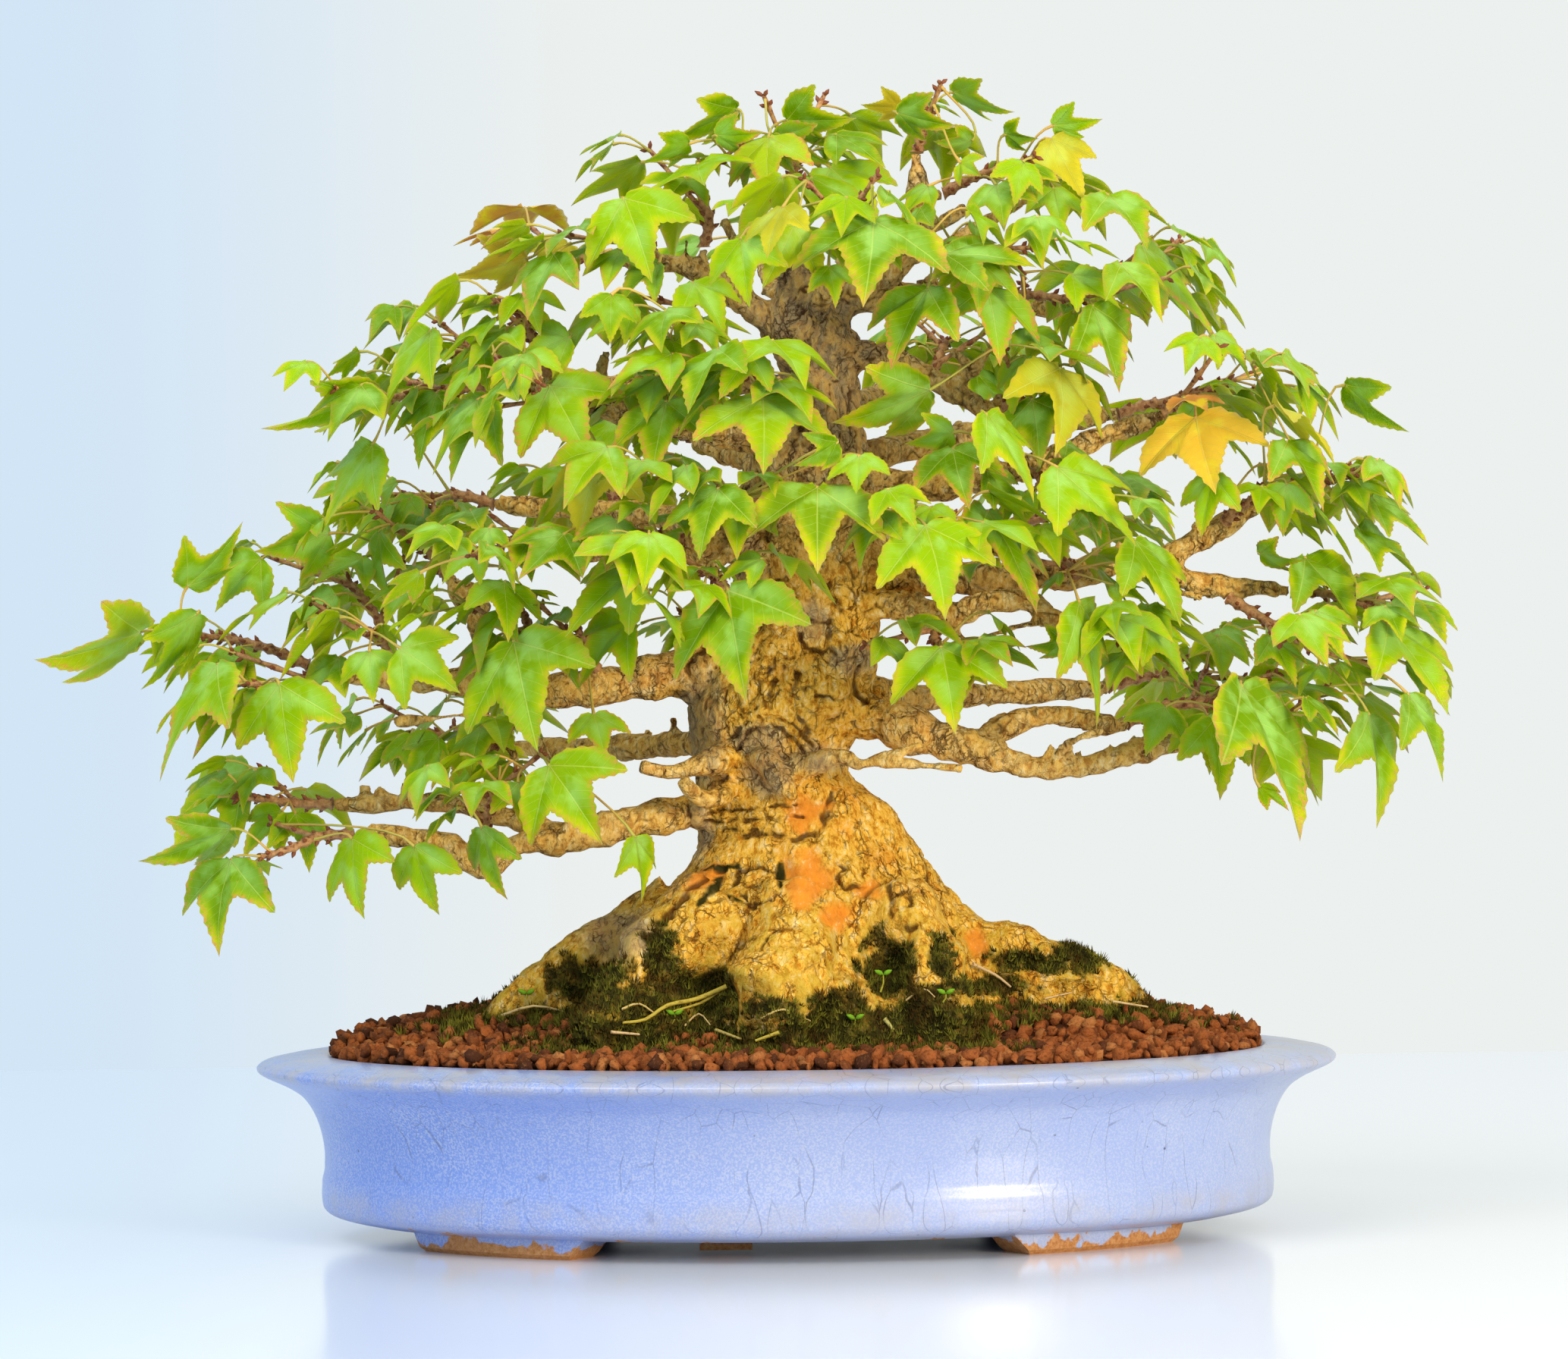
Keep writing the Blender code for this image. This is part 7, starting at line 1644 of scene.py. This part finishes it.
class SprayMesh:
    """Collects the blades, stalks and twigs of one spray."""

    def __init__(self):
        self.verts, self.faces, self.kinds, self.places, self.moods = [], [], [], [], []

    def add(self, verts, faces, kind, places, mood):
        start = len(self.verts)
        self.verts += [tuple(v) for v in verts]
        self.faces += [tuple(start + i for i in face) for face in faces]
        self.kinds += [kind] * len(faces)
        self.places += list(places)
        self.moods += [mood] * len(verts)

    def add_stem(self, points, radii, sides, mood, first=None, kind=1):
        verts, faces = tube(points, radii, sides, first)
        self.add(verts, faces, kind, [(0.0, 0.0, 0.0, 0.0)] * len(verts), (*mood, 0.0, 1.0))


def leaf_mood(name, index, draw):
    """How dark, how gold and how dry a leaf is."""
    gold, dry = TURNED.get((name, index), (max(0.0, draw.gauss(-0.12, 0.1)), draw.uniform(0.0, 1.0) ** 2))
    return (draw.uniform(0.0, 1.0), min(gold, 1.0), dry, 1.0)


class BONSAI_OT_sprays(bpy.types.Operator):
    """Puts finer twigs, stalks and toothed leaves in the place of each spray"""
    bl_idname = "bonsai.sprays"
    bl_label = "Leafy Sprays"

    def execute(self, context):
        looks = context.scene.bonsai_leaf
        twigs, stubs, leaves, crown = grown_tree()
        materials = (new_material(maple_blade, looks), new_material(maple_stalk, looks))
        draw = random.Random(SEED + 1)
        more = {name: list(rows) for name, rows in leaves.items()}
        for name in SPRAYS:
            if name == FULL:
                continue
            for _ in range(looks.more + (FULLER if "crown" in name or "back" in name else 0)):
                place_fill_leaf(name, twigs[name], crown, more, draw)
            place_tip_leaves(name, twigs[name], crown, more, draw)
        for name, twig in twigs.items():
            spray = SprayMesh()
            self.add_twigs(spray, twig, [pose[4] for pose in more[name]], draw)
            for index, (base, along, across, up, foot, kind) in enumerate(more[name]):
                fold = looks.fold * draw.uniform(0.4, 1.5)
                fine = index < len(leaves[name])
                verts, faces, places = fine_blade(base, along, across, up, fold, draw, looks.thick, fine)
                spray.add(verts, faces, 0, places, leaf_mood(name, index, draw))
                path = stalk_path(base, along, foot)
                radii = [0.42 + 0.3 * (abs(k - 3) / 3) ** 3 for k in range(len(path))]
                spray.add_stem(path, radii, 5, (0.0, 0.0))
            add_piece("leafy_" + name, spray.verts, spray.faces, materials, ("spray_" + name,),
                      {"leaf_place": spray.places, "leaf_mood": spray.moods}, spray.kinds)
        return {"FINISHED"}

    @staticmethod
    def add_twigs(spray, twig, feet, draw):
        """The main twig and its side twigs, pruned above their last leaf, swollen at their joints and set with buds."""
        points, radii = twig["main"]
        feet = feet + [start for start, end in twig["side"]]
        last = max((foot - points[0]).length for foot in feet) + PRUNED
        rows = [row for row in smooth_path([(*p, r) for p, r in zip(points, radii)], 8)
                if (Vector(row[:3]) - points[0]).length < last]
        stems = [([Vector(row[:3]) for row in rows], [row[3] for row in rows], twig["way"])]
        for start, end in twig["side"]:
            ahead = (end - start).normalized()
            borne = [(foot - start).dot(ahead) for foot in feet if (foot - start).cross(ahead).length < 0.5]
            end = start + ahead * min((end - start).length, max(borne) + PRUNED)
            stems.append(([start.lerp(end, k / 7) for k in range(8)], [1.2 - 0.05 * k for k in range(8)], None))
        for path, radii, way in stems:
            swollen = [r * (0.84 + 0.34 * (i % 3 == 0)) for i, r in enumerate(radii)]
            spray.add_stem(path, swollen, 7, (1.0, 0.0), way)
            for i in range(1, len(path)):
                if i % 3 and i < len(path) - 1:
                    continue
                ahead = (path[i] - path[i - 1]).normalized()
                aside = ahead.cross(Vector((draw.gauss(0, 1), draw.gauss(0, 1), draw.gauss(0, 1)))).normalized()
                for side in (-1, 1):
                    out = (ahead * 0.9 + aside * side).normalized()
                    foot = path[i] + aside * side * swollen[i] * 0.6
                    reach = draw.uniform(1.8, 3.2)
                    bud = [foot, foot + out * reach * 0.5, foot + out * reach]
                    spray.add_stem(bud, [0.6, 0.85, 0.15], 5, (1.0, 0.85))


def scatter_tree(name):
    """A node tree that strews turned copies of an object over a surface, and ends in a plain mesh."""
    tree = bpy.data.node_groups.new(name, "GeometryNodeTree")
    for label, kind in (("Surface", "Geometry"), ("Piece", "Object"), ("Spacing", "Float"), ("Smallest", "Float"),
                        ("Largest", "Float"), ("Upright", "Float"), ("Seed", "Int"), ("Finish", "Material")):
        tree.interface.new_socket(name=label, in_out="INPUT", socket_type="NodeSocket" + kind)
    tree.interface.new_socket(name="Mesh", in_out="OUTPUT", socket_type="NodeSocketGeometry")
    add = functools.partial(node, tree)
    given = add("NodeGroupInput").outputs
    crowd = add("Math", 3.0, add("Math", given["Spacing"], given["Spacing"], **TIMES), operation="DIVIDE")
    points = add("GeometryNodeDistributePointsOnFaces",
                 {"Mesh": given["Surface"], "Distance Min": given["Spacing"], "Density Max": crowd,
                  "Seed": given["Seed"]}, distribute_method="POISSON")
    lump = add("GeometryNodeObjectInfo", {"Object": given["Piece"]}).outputs["Geometry"]
    spin = add("FunctionNodeRandomValue", (0.0, 0.0, 0.0), (math.tau, math.tau, math.tau), {"Seed": given["Seed"]},
               data_type="FLOAT_VECTOR")
    free = add("Math", 1.0, given["Upright"], operation="SUBTRACT")
    turn = add("VectorMath", spin, add("CombineXYZ", free, free, 1.0), operation="MULTIPLY")
    width = add("FunctionNodeRandomValue", given["Smallest"], given["Largest"], {"Seed": 7}, data_type="FLOAT_VECTOR")
    strewn = add("GeometryNodeInstanceOnPoints", {"Points": points.outputs["Points"], "Instance": lump,
                                                  "Rotation": turn, "Scale": width})
    lot = add("FunctionNodeRandomValue", 0.0, 1.0, {"Seed": 3}, data_type="FLOAT")
    marked = add("GeometryNodeStoreNamedAttribute", {"Geometry": strewn, "Name": "lot", "Value": lot},
                 data_type="FLOAT", domain="INSTANCE")
    real = add("GeometryNodeRealizeInstances", {"Geometry": marked})
    add("NodeGroupOutput", add("GeometryNodeSetMaterial", {"Geometry": real, "Material": given["Finish"]}))
    return tree


def strew(name, surface, tree, values):
    """Runs the scatter tree over a surface and keeps the result as a plain piece."""
    spread = surface.modifiers.new("strew", "NODES")
    spread.node_group = tree
    for item in tree.interface.items_tree:
        if item.in_out == "INPUT" and item.name in values:
            spread[item.identifier] = values[item.name]
    mesh = baked(surface)
    mesh.shade_smooth()
    mesh.set_sharp_from_angle(angle=SHARP)
    return finish_piece(name, mesh)


def clay_lump(draw):
    """A crumbly granule 1 mm across, with few faces."""
    shape = bmesh.new()
    count = 15
    for k in range(count):
        height = 1.0 - (2 * k + 1) / count
        turn = k * GOLDEN_TURN + draw.uniform(-0.3, 0.3)
        out = math.sqrt(1.0 - height * height)
        way = Vector((out * math.cos(turn), out * math.sin(turn), height))
        shape.verts.new(way * draw.uniform(0.34, 0.62) * MM)
    bmesh.ops.convex_hull(shape, input=shape.verts)
    bmesh.ops.delete(shape, geom=[v for v in shape.verts if not v.link_faces], context="VERTS")
    bmesh.ops.recalc_face_normals(shape, faces=shape.faces)
    mesh = bpy.data.meshes.new("lump")
    shape.to_mesh(mesh)
    shape.free()
    return bpy.data.objects.new("lump", mesh)


def moss_tuft(draw):
    """A tuft of a few pointed shoots 1 mm tall, each a slim closed pyramid."""
    verts, faces = [], []
    for k in range(6):
        turn = math.tau * k / 6 + draw.uniform(-0.4, 0.4)
        lean = 0.0 if k == 0 else draw.uniform(0.3, 0.9)
        foot = Vector((math.cos(turn), math.sin(turn), 0.0)) * (0.3 if k else 0.0)
        start = len(verts)
        for corner in range(3):
            way = turn + math.tau * corner / 3
            verts.append(foot + Vector((math.cos(way) * 0.2, math.sin(way) * 0.2, -0.3)))
        verts.append(foot + Vector((math.cos(turn) * lean, math.sin(turn) * lean, draw.uniform(0.6, 1.1))))
        faces += [(start, start + 1, start + 3), (start + 1, start + 2, start + 3), (start + 2, start, start + 3),
                  (start + 2, start + 1, start)]
    mesh = bpy.data.meshes.new("tuft")
    mesh.from_pydata([tuple(v * MM) for v in verts], [], faces)
    return bpy.data.objects.new("tuft", mesh)


def ground_patch(wanted, step=2.5):
    """A sheet over the soil made of the squares that are wanted."""
    verts, faces, index = [], [], {}
    reach_x, reach_y = RIM_HALF_WIDTH - POT_INSIDE[0][0] - 2.5, RIM_HALF_DEPTH - POT_INSIDE[0][0] - 2.5
    across, deep = int(reach_x / step), int(reach_y / step)

    def corner(i, j):
        if (i, j) not in index:
            index[i, j] = len(verts)
            verts.append(Vector((POT_X + i * step, j * step, soil_height(i * step, j * step))))
        return index[i, j]

    for i in range(-across, across):
        for j in range(-deep, deep):
            x, y = (i + 0.5) * step, (j + 0.5) * step
            if math.hypot(x / reach_x, y / reach_y) < 0.995 and wanted(Vector((POT_X + x, y, soil_height(x, y)))):
                faces.append((corner(i, j), corner(i + 1, j), corner(i + 1, j + 1), corner(i, j + 1)))
    mesh = bpy.data.meshes.new("ground")
    mesh.from_pydata([tuple(v * MM) for v in verts], [], faces)
    obj = bpy.data.objects.new("ground", mesh)
    bpy.context.scene.collection.objects.link(obj)
    return obj


def surface_of(name):
    """The surface of one of the solid parts, to find what lies in it, near it or on it."""
    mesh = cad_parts[name].data
    return BVHTree.FromPolygons([v.co / MM for v in mesh.vertices], [tuple(p.vertices) for p in mesh.polygons])


def mossy(wood, place, spare=0.0):
    """Whether moss grows at a place on the soil: near the roots, and most in front of them."""
    near = wood.find_nearest(place)
    outside = (place - near[0]).dot(near[1]) > 0.0
    reach = 9.5 + 20.0 * noise.noise(place / 14.0) + 16.0 * noise.noise(place / 4.5)
    return outside and near[3] < reach + (4.0 if place.y < 0.0 and place.x < 70.0 else 0.0) - spare


class BONSAI_OT_soil(bpy.types.Operator):
    """Strews baked clay granules over the soil"""
    bl_idname = "bonsai.soil"
    bl_label = "Soil Grains"

    def execute(self, context):
        looks = context.scene.bonsai_soil
        finish = new_material(baked_clay_grain, looks)
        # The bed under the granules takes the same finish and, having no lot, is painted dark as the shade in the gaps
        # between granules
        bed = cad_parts["soil"]
        bed.data.materials.clear()
        bed.data.materials.append(finish)
        wood = surface_of("trunk")
        tree = scatter_tree("strewn_grains")

        def bare_ground(place):
            near = wood.find_nearest(place)
            return near[3] > 1.0 and (place - near[0]).dot(near[1]) > 0.0

        for layer, (lift, spread) in enumerate(GRAIN_LAYERS):
            ground = ground_patch(lambda place: bare_ground(place) and not (layer and mossy(wood, place, 5.0)))
            for vert in ground.data.vertices:
                vert.co.z += (lift + 1.2 * noise.noise(vert.co / (13.0 * MM))) * MM
            strew(f"akadama_grains_{layer + 1}", ground, tree,
                  {"Piece": clay_lump(random.Random(SEED + layer)), "Spacing": looks.grain_spacing * spread * MM,
                   "Smallest": looks.grain * 0.45, "Largest": looks.grain * 1.3, "Upright": 0.0, "Seed": layer,
                   "Finish": finish})
        return {"FINISHED"}


class BONSAI_OT_moss(bpy.types.Operator):
    """Grows moss round the roots and in their hollows"""
    bl_idname = "bonsai.moss"
    bl_label = "Moss"

    def execute(self, context):
        looks = context.scene.bonsai_soil
        finish = new_material(living_moss, looks)
        wood = surface_of("trunk")
        tree = scatter_tree("strewn_moss")

        ground = ground_patch(functools.partial(mossy, wood))
        for vert in ground.data.vertices:
            vert.co.z += (2.8 + 1.5 * noise.noise(vert.co / (11.0 * MM))) * MM
        values = {"Piece": moss_tuft(random.Random(SEED)), "Spacing": looks.moss_spacing * MM, "Smallest": 1.3,
                  "Largest": 3.4, "Upright": 0.93, "Seed": 5, "Finish": finish}
        strew("moss_on_soil", ground, tree, values)
        bark = bpy.data.objects["bark"].data
        marks = np.empty(len(bark.vertices) * 4, dtype=np.float32)
        bark.attributes["bark_marks"].data.foreach_get("color", marks)
        moss = marks[3::4]
        wanted = [tuple(face.vertices) for face in bark.polygons
                  if face.center.z < 0.112 and moss[list(face.vertices)].mean() > 0.5]
        kept = sorted({i for face in wanted for i in face})
        index = {old: new for new, old in enumerate(kept)}
        mesh = bpy.data.meshes.new("mossy_bark")
        mesh.from_pydata([bark.vertices[i].co for i in kept], [], [tuple(index[i] for i in face) for face in wanted])
        patch = bpy.data.objects.new("mossy_bark", mesh)
        context.scene.collection.objects.link(patch)
        strew("moss_on_roots", patch, tree, {**values, "Seed": 6, "Smallest": 0.9, "Largest": 2.6, "Spacing": 1.4 * MM})
        return {"FINISHED"}


def on_ground(surfaces, x, z, lift):
    """The place on the soil or a root that shows at a point of the photograph, lifted off it, or None."""
    way = (seen(x, z, 0.0) - EYE).normalized()
    hits = [(*surface.ray_cast(EYE, way), rise) for surface, rise in surfaces]
    hits = [hit for hit in hits if hit[0]]
    if not hits:
        return None
    place, normal, index, away, rise = min(hits, key=lambda hit: hit[3])
    return place + (normal + Vector((0.0, 0.0, 1.0))).normalized() * (lift + rise)


class BONSAI_OT_litter(bpy.types.Operator):
    """Lays straws, thin live roots and seedlings on the soil"""
    bl_idname = "bonsai.litter"
    bl_label = "Litter"

    def execute(self, context):
        litter = SprayMesh()
        surfaces = ((surface_of("soil"), GRAINS_DEEP), (surface_of("trunk"), 1.5))
        for radius, mood, *path in LITTER:
            rows = [on_ground(surfaces, x, z, radius) for x, z in path]
            if None in rows or max((b - a).length for a, b in zip(rows, rows[1:])) > LONGEST_STEP:
                continue
            rows = [Vector(row) for row in smooth_path([tuple(row) for row in rows], 3)]
            thin = [radius * (1.0 - 0.5 * k / len(rows)) for k in range(len(rows))]
            litter.add_stem(rows, thin, 5, mood, None, 0)
        for x, z, tall in SEEDLINGS:
            foot = on_ground(surfaces, x, z, -1.0)
            if not foot:
                continue
            top = foot + Vector((1.0, -1.0, tall))
            stem = [foot, foot.lerp(top, 0.5) + Vector((0.5, 0, 0)), top]
            litter.add_stem(stem, [0.4, 0.3, 0.25], 5, (1.0, 0.3), None, 0)
            for side in (-1, 1):
                out = Vector((side * 2.0, -0.6, 1.1))
                lobe = [top, top + out * 0.5, top + out, top + out * 1.5]
                litter.add_stem(lobe, [0.2, 0.9, 0.8, 0.1], 6, (0.0, 1.0), None, 0)
        add_piece("litter", litter.verts, litter.faces, (new_material(dry_litter, context.scene.bonsai_soil),),
                  (), {"leaf_mood": litter.moods})
        return {"FINISHED"}


class BONSAI_OT_stage(bpy.types.Operator):
    """Sets the pale table, the soft lights and the camera"""
    bl_idname = "bonsai.stage"
    bl_label = "Stage"

    def execute(self, context):
        looks = context.scene.bonsai_stage
        self.add_table(looks)
        for name, place, aim, width, tint, power in LIGHTS:
            self.add_light(name, place, aim, width, getattr(looks, power), tint)
        world = bpy.data.worlds.new("soft_sky")
        world.use_nodes = True
        tree = world.node_tree
        tree.nodes.clear()
        add = functools.partial(node, tree)
        side = add("SeparateXYZ", add("TexCoord").outputs["Generated"]).outputs["X"]
        sky = add("Mix", add("MapRange", side, -0.12, -0.02, **SMOOTH), looks.sky_left, looks.sky, **TINT)
        add("OutputWorld", {"Surface": add("Background", sky, looks.sky_power)})
        context.scene.world = world
        context.scene.view_settings.view_transform = "Standard"
        self.add_camera(context)
        return {"FINISHED"}

    @staticmethod
    def add_table(looks):
        """A pale table top that ends where the photo's does."""
        mesh = bpy.data.meshes.new("table")
        near, far = TABLE_EDGES
        corners = [(-TABLE_HALF, near, 0.0), (TABLE_HALF, near, 0.0), (TABLE_HALF, far, 0.0), (-TABLE_HALF, far, 0.0)]
        mesh.from_pydata(corners, [], [(0, 1, 2, 3)])
        mesh.materials.append(new_material(pale_board, looks))
        table = bpy.data.objects.new("table", mesh)
        bpy.context.scene.collection.objects.link(table)

    @staticmethod
    def add_light(name, place, aim, width, power, tint):
        """A square soft light that points at a place."""
        lamp = bpy.data.lights.new(name, "AREA")
        lamp.shape = "SQUARE"
        lamp.size = width
        lamp.energy = power
        lamp.color = linear(tint)
        light = bpy.data.objects.new(name, lamp)
        light.location = place
        light.rotation_euler = (Vector(aim) - Vector(place)).to_track_quat("-Z", "Y").to_euler()
        bpy.context.scene.collection.objects.link(light)

    @staticmethod
    def add_camera(context):
        """A long lens 2.2 m in front of the pot, turned as the photograph is."""
        camera = bpy.data.objects.new("camera", bpy.data.cameras.new("camera"))
        camera.data.sensor_width = SENSOR
        camera.data.lens = SENSOR * LENS_PIXELS / PHOTO_WIDTH
        camera.data.clip_start, camera.data.clip_end = 0.1, 20.0
        pitch, yaw, roll = (math.radians(turn) for turn in CAMERA_TURNS)
        aim = Matrix.Rotation(-yaw, 4, "Z") @ Matrix.Rotation(math.pi / 2 - pitch, 4, "X")
        aim = aim @ Matrix.Rotation(roll, 4, "Z")
        camera.matrix_world = Matrix.Translation(EYE * MM) @ aim
        context.scene.collection.objects.link(camera)
        context.scene.camera = camera


OPERATORS = (BONSAI_OT_pot, BONSAI_OT_screens, BONSAI_OT_wood, BONSAI_OT_sprays, BONSAI_OT_soil, BONSAI_OT_moss,
             BONSAI_OT_litter, BONSAI_OT_stage)
SETTINGS = {"bonsai_pot": PotLooks, "bonsai_soil": SoilLooks, "bonsai_bark": BarkLooks, "bonsai_leaf": LeafLooks,
            "bonsai_stage": StageLooks}


class BONSAI_PT_parts(bpy.types.Panel):
    """The bonsai's pieces and their looks"""
    bl_idname = "BONSAI_PT_parts"
    bl_label = "Bonsai"
    bl_space_type = "VIEW_3D"
    bl_region_type = "UI"
    bl_category = "Bonsai"

    def draw(self, context):
        for operator in OPERATORS:
            self.layout.operator(operator.bl_idname)
        for name, group in SETTINGS.items():
            box = self.layout.box()
            for key in group.__annotations__:
                box.prop(getattr(context.scene, name), key)


def register():
    for kind in (*SETTINGS.values(), *OPERATORS, BONSAI_PT_parts):
        bpy.utils.register_class(kind)
    for name, group in SETTINGS.items():
        setattr(bpy.types.Scene, name, PointerProperty(type=group))


def unregister():
    for name in SETTINGS:
        delattr(bpy.types.Scene, name)
    for kind in reversed((*SETTINGS.values(), *OPERATORS, BONSAI_PT_parts)):
        bpy.utils.unregister_class(kind)


def main():
    register()
    for operator in OPERATORS:
        group, name = operator.bl_idname.split(".")
        getattr(getattr(bpy.ops, group), name)()
    bpy.context.view_layer.update()


if __name__ == "__main__":
    main()
